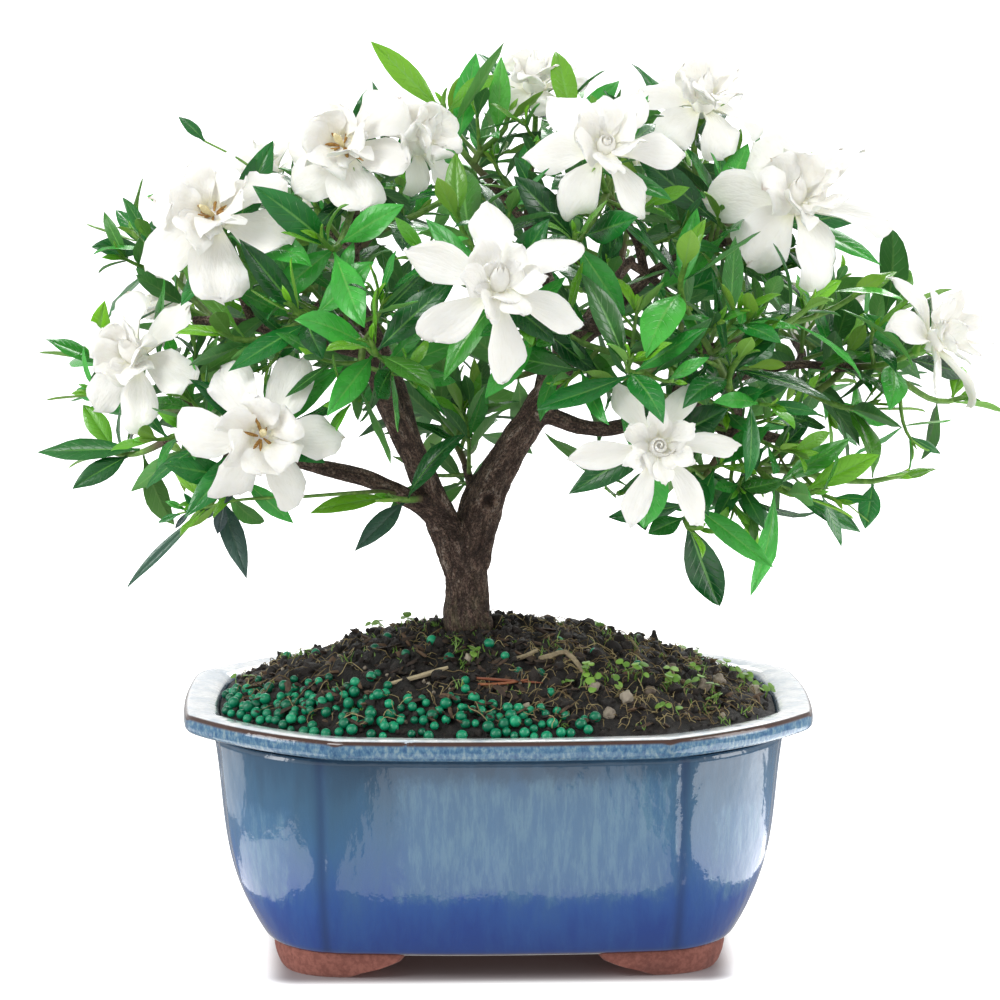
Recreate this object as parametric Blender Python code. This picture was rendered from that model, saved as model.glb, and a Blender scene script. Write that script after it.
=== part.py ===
"""A gardenia bonsai in bloom, planted in a glazed pot on four clay feet.

Lengths are millimetres, turned into metres as each object is made. +Z is up and -Y faces the viewer.
The pot's middle is at x = y = 0 until the last step, which centres the whole plant on the origin.
"""

import math
import random

import bpy
from mathutils import Matrix, Vector
from mathutils.bvhtree import BVHTree

MM = 0.001
GAP = 0.35  # clearance between pieces that rest on each other
UP = Vector((0, 0, 1))

# Pot
POT_HEIGHT = 81.0
BODY_TOP = 73.0  # where the wall meets the rim
BODY_BOTTOM = 8.0  # underside of the floor, above the feet
FLOOR_TOP = 14.0  # the last height of INSIDE
RIM_WIDTH = 10.5
RIM_EDGE_BOTTOM = 75.0
RIM_INNER_Z = 78.8  # below the rim's rounded inner edge
RIM_INNER_INSET = 11.1
INSIDE = ((62.0, 6.0), (30.0, 6.0), (14.0, 8.0))  # height and wall thickness down to the floor
DRAIN_X = 38.0
DRAIN_RADIUS = 7.5

# Plan outline: half length, half depth, front crease x, side crease y
RIM_PLAN = (102.5, 77.0, 52.0, 34.0)
BODY_TOP_PLAN = (93.0, 69.0, 57.0, 34.0)
BODY_FOOT_PLAN = (76.0, 61.5, 55.0, 36.0)
BOW = (3.0, 4.5, 2.0)  # how far the front, corner and side panels swell past their chords
PANEL_STEPS = (4, 4, 2)
CREASE_ANGLE = 16
FEET = ((0.0, 47, 27, 3.4), (1.6, 44, 25, 2.8), (3.6, 37, 19, 2.0), (6.0, 32, 15, 1.5), (10.0, 29, 13, 1.2))
FOOT_THICK = 10.0
WALL_PROFILE = ((0.0, 0.0), (0.15, 0.37), (0.33, 0.64), (0.60, 0.83), (1.0, 1.0))  # height, share of the flare

# Soil
SOIL_EDGE = 78.0
SOIL_PEAK = 103.0
SOIL_CENTRE = (-4.0, 8.0)
SOIL_SHARPNESS = 1.6
SOIL_RINGS = (0.97, 0.82, 0.62, 0.42, 0.22)
SCREEN_SIDE = 24.0
SCREEN_THICK = 1.2
SCREEN_BAR = 2.0

# Fertiliser beads
BEAD_LATTICE = 3.5
BEAD_RISE = 2.9
BEAD_VALLEY = 0.9
AROUND = ((0, 0), (1, 0), (0.5, 0.87), (-0.5, 0.87), (-1, 0), (-0.5, -0.87), (0.5, -0.87))

# Wood: a centre line and a radius at each of its points
WOOD = {
    "trunk": (12, ((-9, 0, 58, 7.4), (-9, 0, 98, 7.9), (-10, 0, 106, 7.6), (-10, 0, 118, 7.0), (-11, 0, 133, 7.4))),
    "right": (
        9,
        ((-9, 0, 124, 6.8), (-4, 0, 144, 6.1), (3, -2, 159, 5.6), (11, -5, 172, 4.9), (19, -8, 185, 4.4),
         (24, -12, 197, 3.9), (35, -18, 206, 3.0)),
    ),
    "left": (
        8,
        ((-12, 0, 122, 6.2), (-18, -2, 138, 5.3), (-27, -8, 160, 4.2), (-35, -14, 177, 3.8), (-40, -19, 191, 3.3),
         (-50, -24, 207, 2.5)),
    ),
    "low_left": (6, ((-17, -2, 138, 3.6), (-38, -14, 152, 2.8), (-58, -22, 159, 2.5), (-80, -26, 166, 2.1), (-98, -24, 172, 1.6))),
    "middle": (6, ((-12, 0, 132, 2.8), (-8, 9, 147, 2.2), (2, 22, 156, 1.9), (13, 38, 170, 1.7), (18, 52, 188, 1.5))),
    "back_left": (6, ((-26, -7, 158, 3.2), (-32, 16, 180, 2.4), (-42, 38, 200, 2.0), (-52, 56, 214, 1.6))),
    "back_right": (6, ((12, -5, 174, 3.2), (24, 18, 190, 2.5), (36, 42, 206, 2.0), (48, 60, 218, 1.6))),
    "right_side": (
        6,
        ((14, -6, 174, 3.0), (32, -3, 168, 2.5), (54, -8, 172, 2.2), (74, -17, 170, 2.0), (94, -21, 166, 1.7),
         (108, -22, 162, 1.5)),
    ),
    "right_front": (6, ((33, -17, 204, 2.5), (46, -30, 199, 1.9), (58, -42, 197, 1.6))),
    "right_top": (6, ((30, -15, 202, 2.8), (48, -10, 218, 2.1), (66, -8, 228, 1.7))),
    "right_out": (6, ((56, -8, 172, 2.0), (78, 2, 184, 1.8), (98, 4, 188, 1.6), (112, 2, 187, 1.4))),
    "top": (6, ((21, -10, 190, 3.0), (17, 0, 214, 2.2), (10, 7, 234, 1.8))),
    "left_top": (6, ((-41, -20, 192, 2.9), (-45, -14, 214, 2.1), (-46, -8, 230, 1.6))),
    "left_out": (6, ((-44, -21, 196, 2.8), (-62, -22, 200, 2.2), (-82, -14, 204, 1.8), (-98, -4, 204, 1.5))),
}

# Blooms: heart of the flower (x, y, z), facing (azimuth from the front, elevation), reach of the outer
# petals, first petal's turn, how far the petals open in degrees from the flower's own axis, and how
# broad an outer petal is for its reach
BLOOMS = {
    "bloom_01": ((-88, -45, 240), (-14, 30), 27, 8, 80, 0.52),
    "bloom_02": ((-48, -42, 261), (-20, 24), 22, 20, 76, 0.56),
    "bloom_03": ((-26, -34, 262), (48, 30), 20, 40, 80, 0.52),
    "bloom_04": ((-2, -88, 222), (2, 16), 30, 4, 78, 0.44),
    "bloom_05": ((31, -60, 261), (4, 32), 27, 30, 84, 0.46),
    "bloom_06": ((66, -2, 273), (14, 52), 22, 12, 80, 0.50),
    "bloom_07": ((13, 24, 278), (-6, 60), 17, 25, 70, 0.50),
    "bloom_08": ((93, -32, 243), (6, 34), 29, 18, 74, 0.50),
    "bloom_09": ((139, -25, 199), (62, 30), 27, 10, 72, 0.46),
    "bloom_10": ((47, -76, 172), (0, 14), 27, 35, 82, 0.40),
    "bloom_11": ((-115, -22, 194), (-26, 14), 23, 15, 72, 0.46),
    "bloom_12": ((-74, -62, 174), (2, 10), 26, 28, 80, 0.46),
    "bloom_13": ((-74, 16, 250), (-50, 48), 16, 5, 66, 0.50),
    "bloom_14": ((-106, 22, 206), (-78, 24), 17, 33, 68, 0.50),
    "bloom_15": ((52, 70, 248), (160, 42), 25, 10, 78, 0.50),
    "bloom_16": ((-66, 74, 226), (202, 26), 25, 22, 78, 0.50),
    "bloom_17": ((112, 56, 202), (128, 18), 23, 0, 76, 0.46),
}

# Leafy stems: the tips that each one carries, as a bloom's name or a point, with the leaf pairs on it
SPRAYS = {
    "spray_01": (("bloom_01", 2),),
    "spray_02": (("bloom_02", 2), ((-55, -56, 234), 3)),
    "spray_03": (("bloom_03", 2),),
    "spray_04": (("bloom_04", 2), ((-14, -62, 243), 3)),
    "spray_05": (("bloom_05", 2), ((22, -66, 236), 3)),
    "spray_06": (("bloom_06", 2), ((48, 20, 258), 2)),
    "spray_07": (("bloom_07", 2), ((26, 2, 268), 2)),
    "spray_08": (("bloom_08", 2), ((70, -30, 240), 3)),
    "spray_09": (("bloom_09", 2), ((150, -6, 178), 2)),
    "spray_10": (("bloom_10", 2),),
    "spray_11": (("bloom_11", 2), ((-134, 26, 190), 2)),
    "spray_12": (("bloom_12", 2),),
    "spray_13": (("bloom_13", 2), ((-94, 22, 256), 1)),
    "spray_14": (("bloom_14", 2), ((-118, 16, 230), 2)),
    "spray_15": (("bloom_15", 2), ((78, 62, 232), 3)),
    "spray_16": (("bloom_16", 2), ((-92, 56, 212), 3)),
    "spray_17": (("bloom_17", 2), ((128, 38, 182), 2)),
    "spray_18": (((-64, -62, 214), 3), ((-86, -44, 204), 2)),
    "spray_19": (((-17, 4, 272), 3), ((4, 16, 268), 2)),
    "spray_20": (((38, -84, 200), 3), ((18, -62, 210), 2)),
    "spray_21": (((-40, -74, 204), 3), ((-48, -56, 184), 2)),
    "spray_22": (((74, -62, 199), 3), ((56, -66, 228), 3)),
    "spray_23": (((96, -46, 212), 3), ((114, -24, 214), 2)),
    "spray_24": (((90, 6, 250), 3), ((66, 26, 250), 2)),
    "spray_25": (((61, -50, 143), 3), ((38, -42, 153), 2)),
    "spray_26": (((98, -38, 152), 3), ((126, -30, 156), 2)),
    "spray_27": (((-126, -6, 162), 3),),
    "spray_28": (((-22, 34, 174), 3), ((-6, 60, 162), 2)),
    "spray_29": (((-94, -42, 150), 2),),
    "spray_30": (((-34, -30, 150), 2),),
    "spray_31": (((122, -2, 176), 3), ((134, 16, 206), 2)),
    "spray_32": (((-88, 70, 184), 3), ((-124, 48, 178), 2)),
    "spray_33": (((-34, 76, 244), 3), ((-4, 70, 256), 3)),
    "spray_34": (((6, 100, 218), 3), ((42, 96, 196), 3)),
    "spray_35": (((-40, 98, 194), 3), ((-16, 92, 166), 2)),
    "spray_36": (((84, 84, 192), 3), ((66, 82, 166), 2)),
    "spray_37": (((2, 40, 184), 3),),
}

# Leaves that reach a known place, by the spray that bears them
AIMED = {
    "spray_19": ((-37, 5, 296), (2, 15, 288), (-6, 20, 290)),
    "spray_02": ((-64, -30, 262),),
    "spray_01": ((-101, -14, 268), (-128, -30, 238)),
    "spray_14": ((-131, 8, 228), (-128, 20, 240)),
    "spray_11": ((-146, 10, 197), (-128, 10, 208)),
    "spray_27": ((-149, -8, 163), (-137, -16, 152), (-135, 0, 176), (-117, -12, 150)),
    "spray_12": ((-98, -62, 150),),
    "spray_29": ((-123, -30, 120), (-99, -44, 146), (-84, -50, 126)),
    "spray_30": ((-46, -34, 134), (-58, -36, 140)),
    "spray_25": ((92, -44, 148), (86, -50, 131), (46, -52, 142)),
    "spray_26": ((117, -30, 139), (127, -44, 160)),
    "spray_31": ((152, -8, 158), (157, -6, 180)),
    "spray_09": ((155, 0, 186), (118, -10, 208)),
    "spray_08": ((121, -8, 240),),
    "spray_24": ((94, 8, 262),),
    "spray_07": ((20, 20, 292),),
}
LEAST_LEAN = 0.42  # how much a leaf at least turns away from its stem, as a sine
BACK = 36  # leaves behind this have a plainer outline
AIM_SLACK = 34  # the farthest a leaf reaches for its place

CROWN_HEART = Vector((0, 0, 150))
STEM_RADIUS = 1.35
TWIG_SIDES = 4
LEAF_THICK = 1.3
PETAL_THICK = 1.3
# Where each kind of blade's sections are, as shares of its length and width
STATIONS = {
    "leaf": ((0.40, 0.92), (0.74, 0.86)),
    "young": ((0.50, 1.0),),
    "outer": ((0.46, 1.0), (0.80, 0.78)),
    "inner": ((0.62, 1.0),),
}
SEED = 11


# Materials

def material(name, colour, roughness, metallic=0.0):
    made = bpy.data.materials.new(name)
    made.use_nodes = True
    shader = made.node_tree.nodes["Principled BSDF"]
    shader.inputs["Base Color"].default_value = (*colour, 1)
    shader.inputs["Roughness"].default_value = roughness
    shader.inputs["Metallic"].default_value = metallic
    made.diffuse_color = (*colour, 1)
    return made


# Meshes

def add_object(name, points, faces, finish, smooth_below=None):
    """An object from points in millimetres."""
    mesh = bpy.data.meshes.new(name)
    mesh.from_pydata([Vector(p) * MM for p in points], [], faces)
    mesh.materials.append(finish)
    if smooth_below:
        mesh.shade_smooth()
        mesh.set_sharp_from_angle(angle=math.radians(smooth_below))
    mesh.validate()
    made = bpy.data.objects.new(name, mesh)
    bpy.context.scene.collection.objects.link(made)
    return made


def combine(body, others, operation):
    """Joins others to body, or cuts them from it, with one Boolean on a collection, and removes them."""
    group = bpy.data.collections.new(body.name + "_tools")
    bpy.context.scene.collection.children.link(group)
    for other in others:
        bpy.context.scene.collection.objects.unlink(other)
        group.objects.link(other)
    step = body.modifiers.new(operation.lower(), "BOOLEAN")
    step.operation = operation
    step.operand_type = "COLLECTION"
    step.collection = group
    step.solver = "EXACT"
    bpy.context.view_layer.update()
    graph = bpy.context.evaluated_depsgraph_get()
    result = bpy.data.meshes.new_from_object(body.evaluated_get(graph))
    body.modifiers.clear()
    body.data = result
    for other in others:
        bpy.data.objects.remove(other)
    bpy.data.collections.remove(group)
    return body


def loft(rings, lean=0):
    """Points and triangles of a tube through rings of equal length, each anticlockwise seen from the last one.

    Lean says which way each side is split in two, so that two walls face to face can be split alike.
    """
    count = len(rings[0])
    points = [p for ring in rings for p in ring]
    faces = []
    for level in range(len(rings) - 1):
        low, high = level * count, (level + 1) * count
        for i in range(count):
            j = (i + 1) % count
            if lean:
                faces += [(low + i, low + j, high + i), (low + j, high + j, high + i)]
            else:
                faces += [(low + i, low + j, high + j), (low + i, high + j, high + i)]
    faces.append(tuple(range(count))[::-1])
    faces.append(tuple(range(len(points) - count, len(points))))
    return points, faces


# Pot

def bowed(start, end, bow, steps):
    """Points from start to just before end on an arc that swells bow to the right of the way."""
    chord = Vector(end) - Vector(start)
    out = Vector((chord.y, -chord.x)).normalized()
    found = []
    for k in range(steps):
        t = k / steps
        found.append(Vector(start) + chord * t + out * bow * 4 * t * (1 - t))
    return found


def outline(plan, inset=0.0, steps=PANEL_STEPS, bow=BOW):
    """The eight-panelled plan outline, anticlockwise from the front left crease."""
    length, depth, crease_x, crease_y = plan
    x, y = length - bow[2] - inset, depth - bow[0] - inset
    cx, cy = crease_x - inset * 0.42, crease_y - inset * 0.42
    corners = [(-cx, -y), (cx, -y), (x, -cy), (x, cy), (cx, y), (-cx, y), (-x, cy), (-x, -cy)]
    panels = (0, 1, 2, 1, 0, 1, 2, 1)
    found = []
    for k, kind in enumerate(panels):
        found += bowed(corners[k], corners[(k + 1) % 8], bow[kind], steps[kind])
    return found


def mixed(low, high, share):
    return tuple(a + (b - a) * share for a, b in zip(low, high))


def level(plan, z, inset=0.0):
    return [Vector((p.x, p.y, z)) for p in outline(plan, inset)]


def wall_plan(z):
    """The wall's plan at a height, from its flare."""
    u = min(max((z - BODY_BOTTOM) / (BODY_TOP - BODY_BOTTOM), 0), 1)
    for (a, share_a), (b, share_b) in zip(WALL_PROFILE, WALL_PROFILE[1:]):
        if u <= b:
            share = share_a + (share_b - share_a) * (u - a) / (b - a)
            return mixed(BODY_FOOT_PLAN, BODY_TOP_PLAN, share)
    return BODY_TOP_PLAN


def foot_solid(sign_x, sign_y, finish):
    """One clay foot that wraps a corner, with scalloped ends, its top sunk into the pot's floor."""
    length, depth, crease_x, crease_y = BODY_FOOT_PLAN
    rings = []
    for z, front_x, side_y, inset in FEET:
        x, y = length - BOW[2] - inset, depth - BOW[0] - inset
        t = (crease_x - front_x) / (2 * crease_x)
        swell = BOW[0] * 4 * t * (1 - t)
        outer = [Vector((front_x, -y - swell))]
        outer += bowed((crease_x, -y), (x, -crease_y), BOW[1], 4)
        outer += [Vector((x, -crease_y)), Vector((x + BOW[2] * 0.6, -side_y))]
        inner = [Vector((x - FOOT_THICK, -side_y)), Vector((x - FOOT_THICK, -crease_y + 2)),
                 Vector((crease_x - 7, -y + FOOT_THICK)), Vector((front_x, -y + FOOT_THICK))]
        ring = [Vector((p.x * sign_x, p.y * -sign_y, z)) for p in outer + inner]
        rings.append(ring if sign_x * sign_y < 0 else ring[::-1])
    return add_object("foot", *loft(rings), finish)


def make_pot(finish):
    rings = []
    for height, _ in WALL_PROFILE:
        z = BODY_BOTTOM + height * (BODY_TOP - BODY_BOTTOM)
        rings.append(level(wall_plan(z), z))
    rim_inset = 1.6
    rings += [
        level(RIM_PLAN, RIM_EDGE_BOTTOM - 0.6, rim_inset),
        level(RIM_PLAN, RIM_EDGE_BOTTOM + 1.4),
        level(RIM_PLAN, POT_HEIGHT - 1.4),
        level(RIM_PLAN, POT_HEIGHT, 1.4),
        level(RIM_PLAN, POT_HEIGHT, RIM_WIDTH - 1),
        level(RIM_PLAN, RIM_INNER_Z, RIM_INNER_INSET),
    ]
    rings += [level(wall_plan(z), z, inset) for z, inset in INSIDE]
    pot = add_object("pot", *loft(rings), finish)
    feet = [foot_solid(sx, sy, finish) for sx in (-1, 1) for sy in (-1, 1)]
    combine(pot, feet, "UNION")
    drains = [
        prism("drain", DRAIN_RADIUS, 12, (sx * DRAIN_X, 0), 0, FLOOR_TOP + 10, finish) for sx in (-1, 1)
    ]
    combine(pot, drains, "DIFFERENCE")
    pot.data.shade_smooth()
    pot.data.set_sharp_from_angle(angle=math.radians(CREASE_ANGLE))
    return pot


def prism(name, radius, sides, centre, bottom, top, finish, turn=0.0):
    rings = []
    for z in (bottom, top):
        ring = []
        for k in range(sides):
            angle = turn + math.tau * k / sides
            ring.append(Vector((centre[0] + radius * math.cos(angle), centre[1] + radius * math.sin(angle), z)))
        rings.append(ring)
    return add_object(name, *loft(rings), finish)


def make_screen(name, x, finish):
    """A square of drainage mesh over one hole, under the soil."""
    bottom = FLOOR_TOP + GAP
    top = bottom + SCREEN_THICK
    corner = math.sqrt(0.5)
    screen = prism(name, SCREEN_SIDE * corner, 4, (x, 0), bottom, top, finish, math.pi / 4)
    hole = (SCREEN_SIDE - 3 * SCREEN_BAR) / 2
    step = (hole + SCREEN_BAR) / 2
    cutters = [
        prism("mesh_hole", hole * corner, 4, (x + i * step, j * step), bottom - 1, top + 1, finish, math.pi / 4)
        for i in (-1, 1) for j in (-1, 1)
    ]
    return combine(screen, cutters, "DIFFERENCE")


# Soil and the beads on it

def mouth(z, clearance):
    """The soil's outline inside the pot's mouth, a clearance away from its slanted inner face."""
    low_z, inset = INSIDE[0]
    low = outline(wall_plan(low_z), inset + clearance)
    high = outline(RIM_PLAN, RIM_INNER_INSET + clearance)
    share = (z - low_z) / (RIM_INNER_Z - low_z)
    return [Vector((*a.lerp(b, share), z)) for a, b in zip(low, high)]


def soil_height(x, y, share):
    """Height of the mound, where share is 0 at its middle and 1 at the pot's wall."""
    mound = SOIL_EDGE + (SOIL_PEAK - SOIL_EDGE) * (1 - share ** SOIL_SHARPNESS)
    clods = math.sin(x * 0.31 + 1.3) * math.sin(y * 0.37 + 0.4) + 0.7 * math.sin(x * 0.83 + y * 0.61)
    return mound + clods * (1 - share ** 6)


def make_soil(finish, trunk_hole):
    edge = mouth(SOIL_EDGE, 1.3 * GAP)
    rings = [level(wall_plan(z), z + (GAP if z == FLOOR_TOP else 0), inset + 1.3 * GAP) for z, inset in INSIDE[::-1]]
    rings.append(edge)
    centre = Vector((*SOIL_CENTRE, 0))
    for share in SOIL_RINGS:
        ring = []
        for p in edge:
            spot = centre + (Vector((p.x, p.y, 0)) - centre) * share
            ring.append(Vector((spot.x, spot.y, soil_height(spot.x, spot.y, share))))
        rings.append(ring)
    soil = add_object("soil", *loft(rings, 1), finish)
    pocket = SCREEN_SIDE * math.sqrt(0.5) + GAP * 1.5
    top = FLOOR_TOP + SCREEN_THICK + 2 * GAP
    pockets = [prism("pocket", pocket, 4, (sx * DRAIN_X, 0), 5, top, finish, math.pi / 4) for sx in (-1, 1)]
    return combine(soil, [trunk_hole, *pockets], "DIFFERENCE")


def bead_zone(x, y):
    """True where the beads lie: a band along the pot's front, widest at the left."""
    wall = mouth(SOIL_EDGE, 2.2)
    inside = False
    for a, b in zip(wall, wall[1:] + wall[:1]):
        if (a.y > y) != (b.y > y) and x < a.x + (b.x - a.x) * (y - a.y) / (b.y - a.y):
            inside = not inside
    return inside and x < 31 and y < -9 - (x + 85) * 0.42 + 3 * math.sin(x * 0.21)


def ground_under(tree, x, y):
    return tree.ray_cast(Vector((x, y, 200)) * MM, Vector((0, 0, -1)))[0].z / MM


def make_beads(finish, soil):
    """One sheet of beads, pressed together, that lies on the soil. Every third lattice point is a bead's top."""
    step = BEAD_LATTICE
    row_height = step * math.sqrt(3) / 2
    tree = BVHTree.FromObject(soil, bpy.context.evaluated_depsgraph_get())
    tops, index, cells = [], {}, []
    rows = range(int(-76 / row_height), int(10 / row_height))
    columns = range(int(-100 / step), int(40 / step))
    for r in rows:
        for c in columns:
            corners = [(r, c), (r, c + 1), (r + 1, c), (r + 1, c + 1)]
            flat = [((col + (row % 2) / 2) * step, row * row_height) for row, col in corners]
            if not all(bead_zone(x, y) for x, y in flat):
                continue
            low_left, low_right, high_left, high_right = corners
            if r % 2:
                cells += [(low_left, low_right, high_right), (low_left, high_right, high_left)]
            else:
                cells += [(low_left, low_right, high_left), (low_right, high_right, high_left)]
            for key, spot in zip(corners, flat):
                index.setdefault(key, spot)
    cells = largest_patch(cells)
    used = sorted({key for cell in cells for key in cell})
    order = {key: k for k, key in enumerate(used)}
    bottoms = []
    for row, col in used:
        x, y = index[row, col]
        ground = max(ground_under(tree, x + dx * step / 2, y + dy * step / 2) for dx, dy in AROUND) + GAP
        bead = (col - row // 2 - row) % 3 == 0
        jitter = 0.5 * math.sin(row * 7.1 + col * 3.7)
        bottoms.append(Vector((x, y, ground)))
        tops.append(Vector((x, y, ground + (BEAD_RISE + jitter if bead else BEAD_VALLEY))))
    faces = [tuple(order[key] for key in cell) for cell in cells]
    edges = {}
    for a, b, c in faces:
        for edge in ((a, b), (b, c), (c, a)):
            edges[edge] = True
    count = len(used)
    whole = list(faces) + [(c + count, b + count, a + count) for a, b, c in faces]
    whole += [(b, a, a + count, b + count) for a, b in edges if (b, a) not in edges]
    return add_object("fertiliser_beads", tops + bottoms, whole, finish, 60)


def largest_patch(cells):
    """The cells that join edge to edge into the largest patch, with pinched corners dropped."""
    by_edge = {}
    for cell in cells:
        for k in range(3):
            by_edge.setdefault(frozenset((cell[k], cell[(k + 1) % 3])), []).append(cell)
    left, best = set(cells), []
    while left:
        patch, queue = [], [min(left)]
        left.discard(queue[0])
        while queue:
            cell = queue.pop()
            patch.append(cell)
            for k in range(3):
                for other in by_edge[frozenset((cell[k], cell[(k + 1) % 3]))]:
                    if other in left:
                        left.discard(other)
                        queue.append(other)
        best = max(best, patch, key=len)
    border = {}
    for cell in best:
        for k in range(3):
            edge = frozenset((cell[k], cell[(k + 1) % 3]))
            border[edge] = border.get(edge, 0) + 1
    ends = {}
    for edge, times in border.items():
        if times == 1:
            for key in edge:
                ends[key] = ends.get(key, 0) + 1
    pinched = {key for key, times in ends.items() if times > 2}
    if pinched:
        return largest_patch([cell for cell in best if not pinched & set(cell)])
    return sorted(best)


# Growth: where every stem, leaf and petal is

def facing(azimuth, elevation):
    a, e = math.radians(azimuth), math.radians(elevation)
    return Vector((math.sin(a) * math.cos(e), -math.cos(a) * math.cos(e), math.sin(e)))


def bend_curve(start, start_way, end, end_way, steps, slack=0.36):
    """A smooth line from start to end that leaves along start_way and arrives along end_way."""
    reach = (end - start).length * slack
    a, b = start + start_way * reach, end - end_way * reach
    found = []
    for k in range(steps + 1):
        t = k / steps
        s = 1 - t
        found.append(start * s ** 3 + a * 3 * s * s * t + b * 3 * s * t * t + end * t ** 3)
    return found


def along(path, distance):
    """The point and the direction at a distance along a path."""
    for p, q in zip(path, path[1:]):
        step = (q - p).length
        if distance <= step or q is path[-1]:
            way = (q - p).normalized()
            return p + way * min(distance, step), way
        distance -= step
    return path[-1], (path[-1] - path[-2]).normalized()


def path_length(path):
    return sum((q - p).length for p, q in zip(path, path[1:]))


def side_of(way, hint):
    """A direction square to way, as near as can be to hint."""
    side = hint - way * hint.dot(way)
    if side.length < 1e-4:
        side = way.orthogonal()
    return side.normalized()


def tube(path, radii, sides):
    """Rings round a path, without a twist between them."""
    rings = []
    side = side_of((path[1] - path[0]).normalized(), Vector((1, 0.2, 0)))
    for k, (point, radius) in enumerate(zip(path, radii)):
        before, after = path[max(k - 1, 0)], path[min(k + 1, len(path) - 1)]
        way = (after - before).normalized()
        side = side_of(way, side)
        other = way.cross(side)
        ring = []
        for n in range(sides):
            angle = math.tau * n / sides
            ring.append(point + (side * math.cos(angle) + other * math.sin(angle)) * radius)
        rings.append(ring)
    return rings


def blade_frames(root, way, up, length, bend, stations):
    """Centre, direction and upward normal of a blade at each station, on a circular arc."""
    up = side_of(way, up)
    found = []
    for share in stations:
        turn = bend * share
        if abs(bend) < 1e-4:
            centre = root + way * length * share
        else:
            centre = root + (way * math.sin(turn) - up * (1 - math.cos(turn))) * (length / bend)
        heading = way * math.cos(turn) - up * math.sin(turn)
        found.append((centre, heading, up * math.cos(turn) + way * math.sin(turn)))
    return found


def blade_sections(blade, spread=0.0):
    """Four-cornered sections of a blade (bottom, right, top, left) and its tip."""
    stations = STATIONS[blade["kind"]]
    thick = LEAF_THICK if blade["kind"] in ("leaf", "young") else PETAL_THICK
    shares = [s for s, _ in stations] + [1.0]
    frames = blade_frames(blade["root"], blade["way"], blade["up"], blade["length"], blade["bend"], shares)
    sections = []
    for (centre, heading, up), (_, wide) in zip(frames, stations):
        side = up.cross(heading).normalized()
        up, side = (
            up * math.cos(blade["roll"]) + side * math.sin(blade["roll"]),
            side * math.cos(blade["roll"]) - up * math.sin(blade["roll"]),
        )
        half = blade["width"] * wide / 2 + spread
        lift = up * blade["fold"] * half
        sections.append([
            centre - up * (thick / 2 + spread),
            centre + side * half + lift,
            centre + up * (thick / 2 + spread),
            centre - side * half + lift,
        ])
    tip, heading, _ = frames[-1]
    return sections, tip + heading * spread


def best_shift(quad, section):
    """How far to turn a quad's corners so that it meets a section with the least twist."""
    return min(range(4), key=lambda turn: sum((quad[(i + turn) % 4] - section[i]).length for i in range(4)))


def blade_shape(blade, spread, inner=0.35):
    """A closed test mesh of a blade past its root, swollen by spread."""
    sections, tip = blade_sections(blade, spread)
    quad = blade["quad"]
    turn = best_shift(quad, sections[0])
    rings = [[quad[(i + turn) % 4].lerp(sections[0][i], inner) for i in range(4)]] + sections
    points = [p for ring in rings for p in ring] + [tip]
    faces = []
    for n in range(len(rings) - 1):
        for i in range(4):
            j = (i + 1) % 4
            a, b, c, d = n * 4 + i, n * 4 + j, n * 4 + 4 + j, n * 4 + 4 + i
            faces += [(a, b, d), (b, c, d)] if i % 2 == 0 else [(a, b, c), (a, c, d)]
    last = len(points) - 5
    faces += [(last + i, last + (i + 1) % 4, len(points) - 1) for i in range(4)]
    return Shape(points, faces)


class Shape:
    """A mesh kept for clearance tests, with a sphere round it."""

    def __init__(self, points, faces):
        self.tree = BVHTree.FromPolygons(points, faces)
        self.centre = sum(points, Vector()) / len(points)
        self.radius = max((p - self.centre).length for p in points)

    def meets(self, other):
        if (self.centre - other.centre).length > self.radius + other.radius:
            return False
        return bool(self.tree.overlap(other.tree))


def tube_shape(path, radii, sides):
    points, faces = loft(tube(path, radii, sides))
    return Shape(points, faces)


class Garden:
    """Everything placed so far, by owner, so that later pieces keep clear of it."""

    def __init__(self):
        self.shapes = []

    def add(self, owner, shape):
        self.shapes.append((owner, shape))

    def is_clear(self, shape, skip=()):
        return not any(owner not in skip and shape.meets(other) for owner, other in self.shapes)


def wood_points():
    """Sample points of the hand-drawn wood, as (point, direction, radius)."""
    found = []
    for name, (_, line) in WOOD.items():
        path = [Vector(p[:3]) for p in line]
        total, done = path_length(path), 0.0
        start = 50 if name == "trunk" else 8
        while done < total:
            point, way = along(path, done)
            if done > start:
                share = done / total
                found.append((point, way, line[0][3] + (line[-1][3] - line[0][3]) * share))
            done += 6
    return found


def bloom_facts(name):
    heart, *rest = BLOOMS[name]
    return Vector(heart), *rest


BLOOM_STAGES = ((-8, 1.6, 0), (-3.4, 3.2, 0), (0.2, 4.4, 0), (1.6, 4.2, 30), (4.8, 3.8, 30))  # height, radius, turn


def bloom_rings(name):
    """Six-cornered rings up the heart of a bloom, from the calyx to the furled middle."""
    heart, turned, _, first, *_ = bloom_facts(name)
    axis = facing(*turned)
    across = side_of(axis, UP)
    other = axis.cross(across)
    rings = []
    for height, radius, turn in BLOOM_STAGES:
        ring = []
        for k in range(6):
            angle = math.radians(first - 30 + turn + 60 * k)
            out = across * math.cos(angle) + other * math.sin(angle)
            ring.append(heart + axis * height + out * radius)
        rings.append(ring)
    return rings


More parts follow.
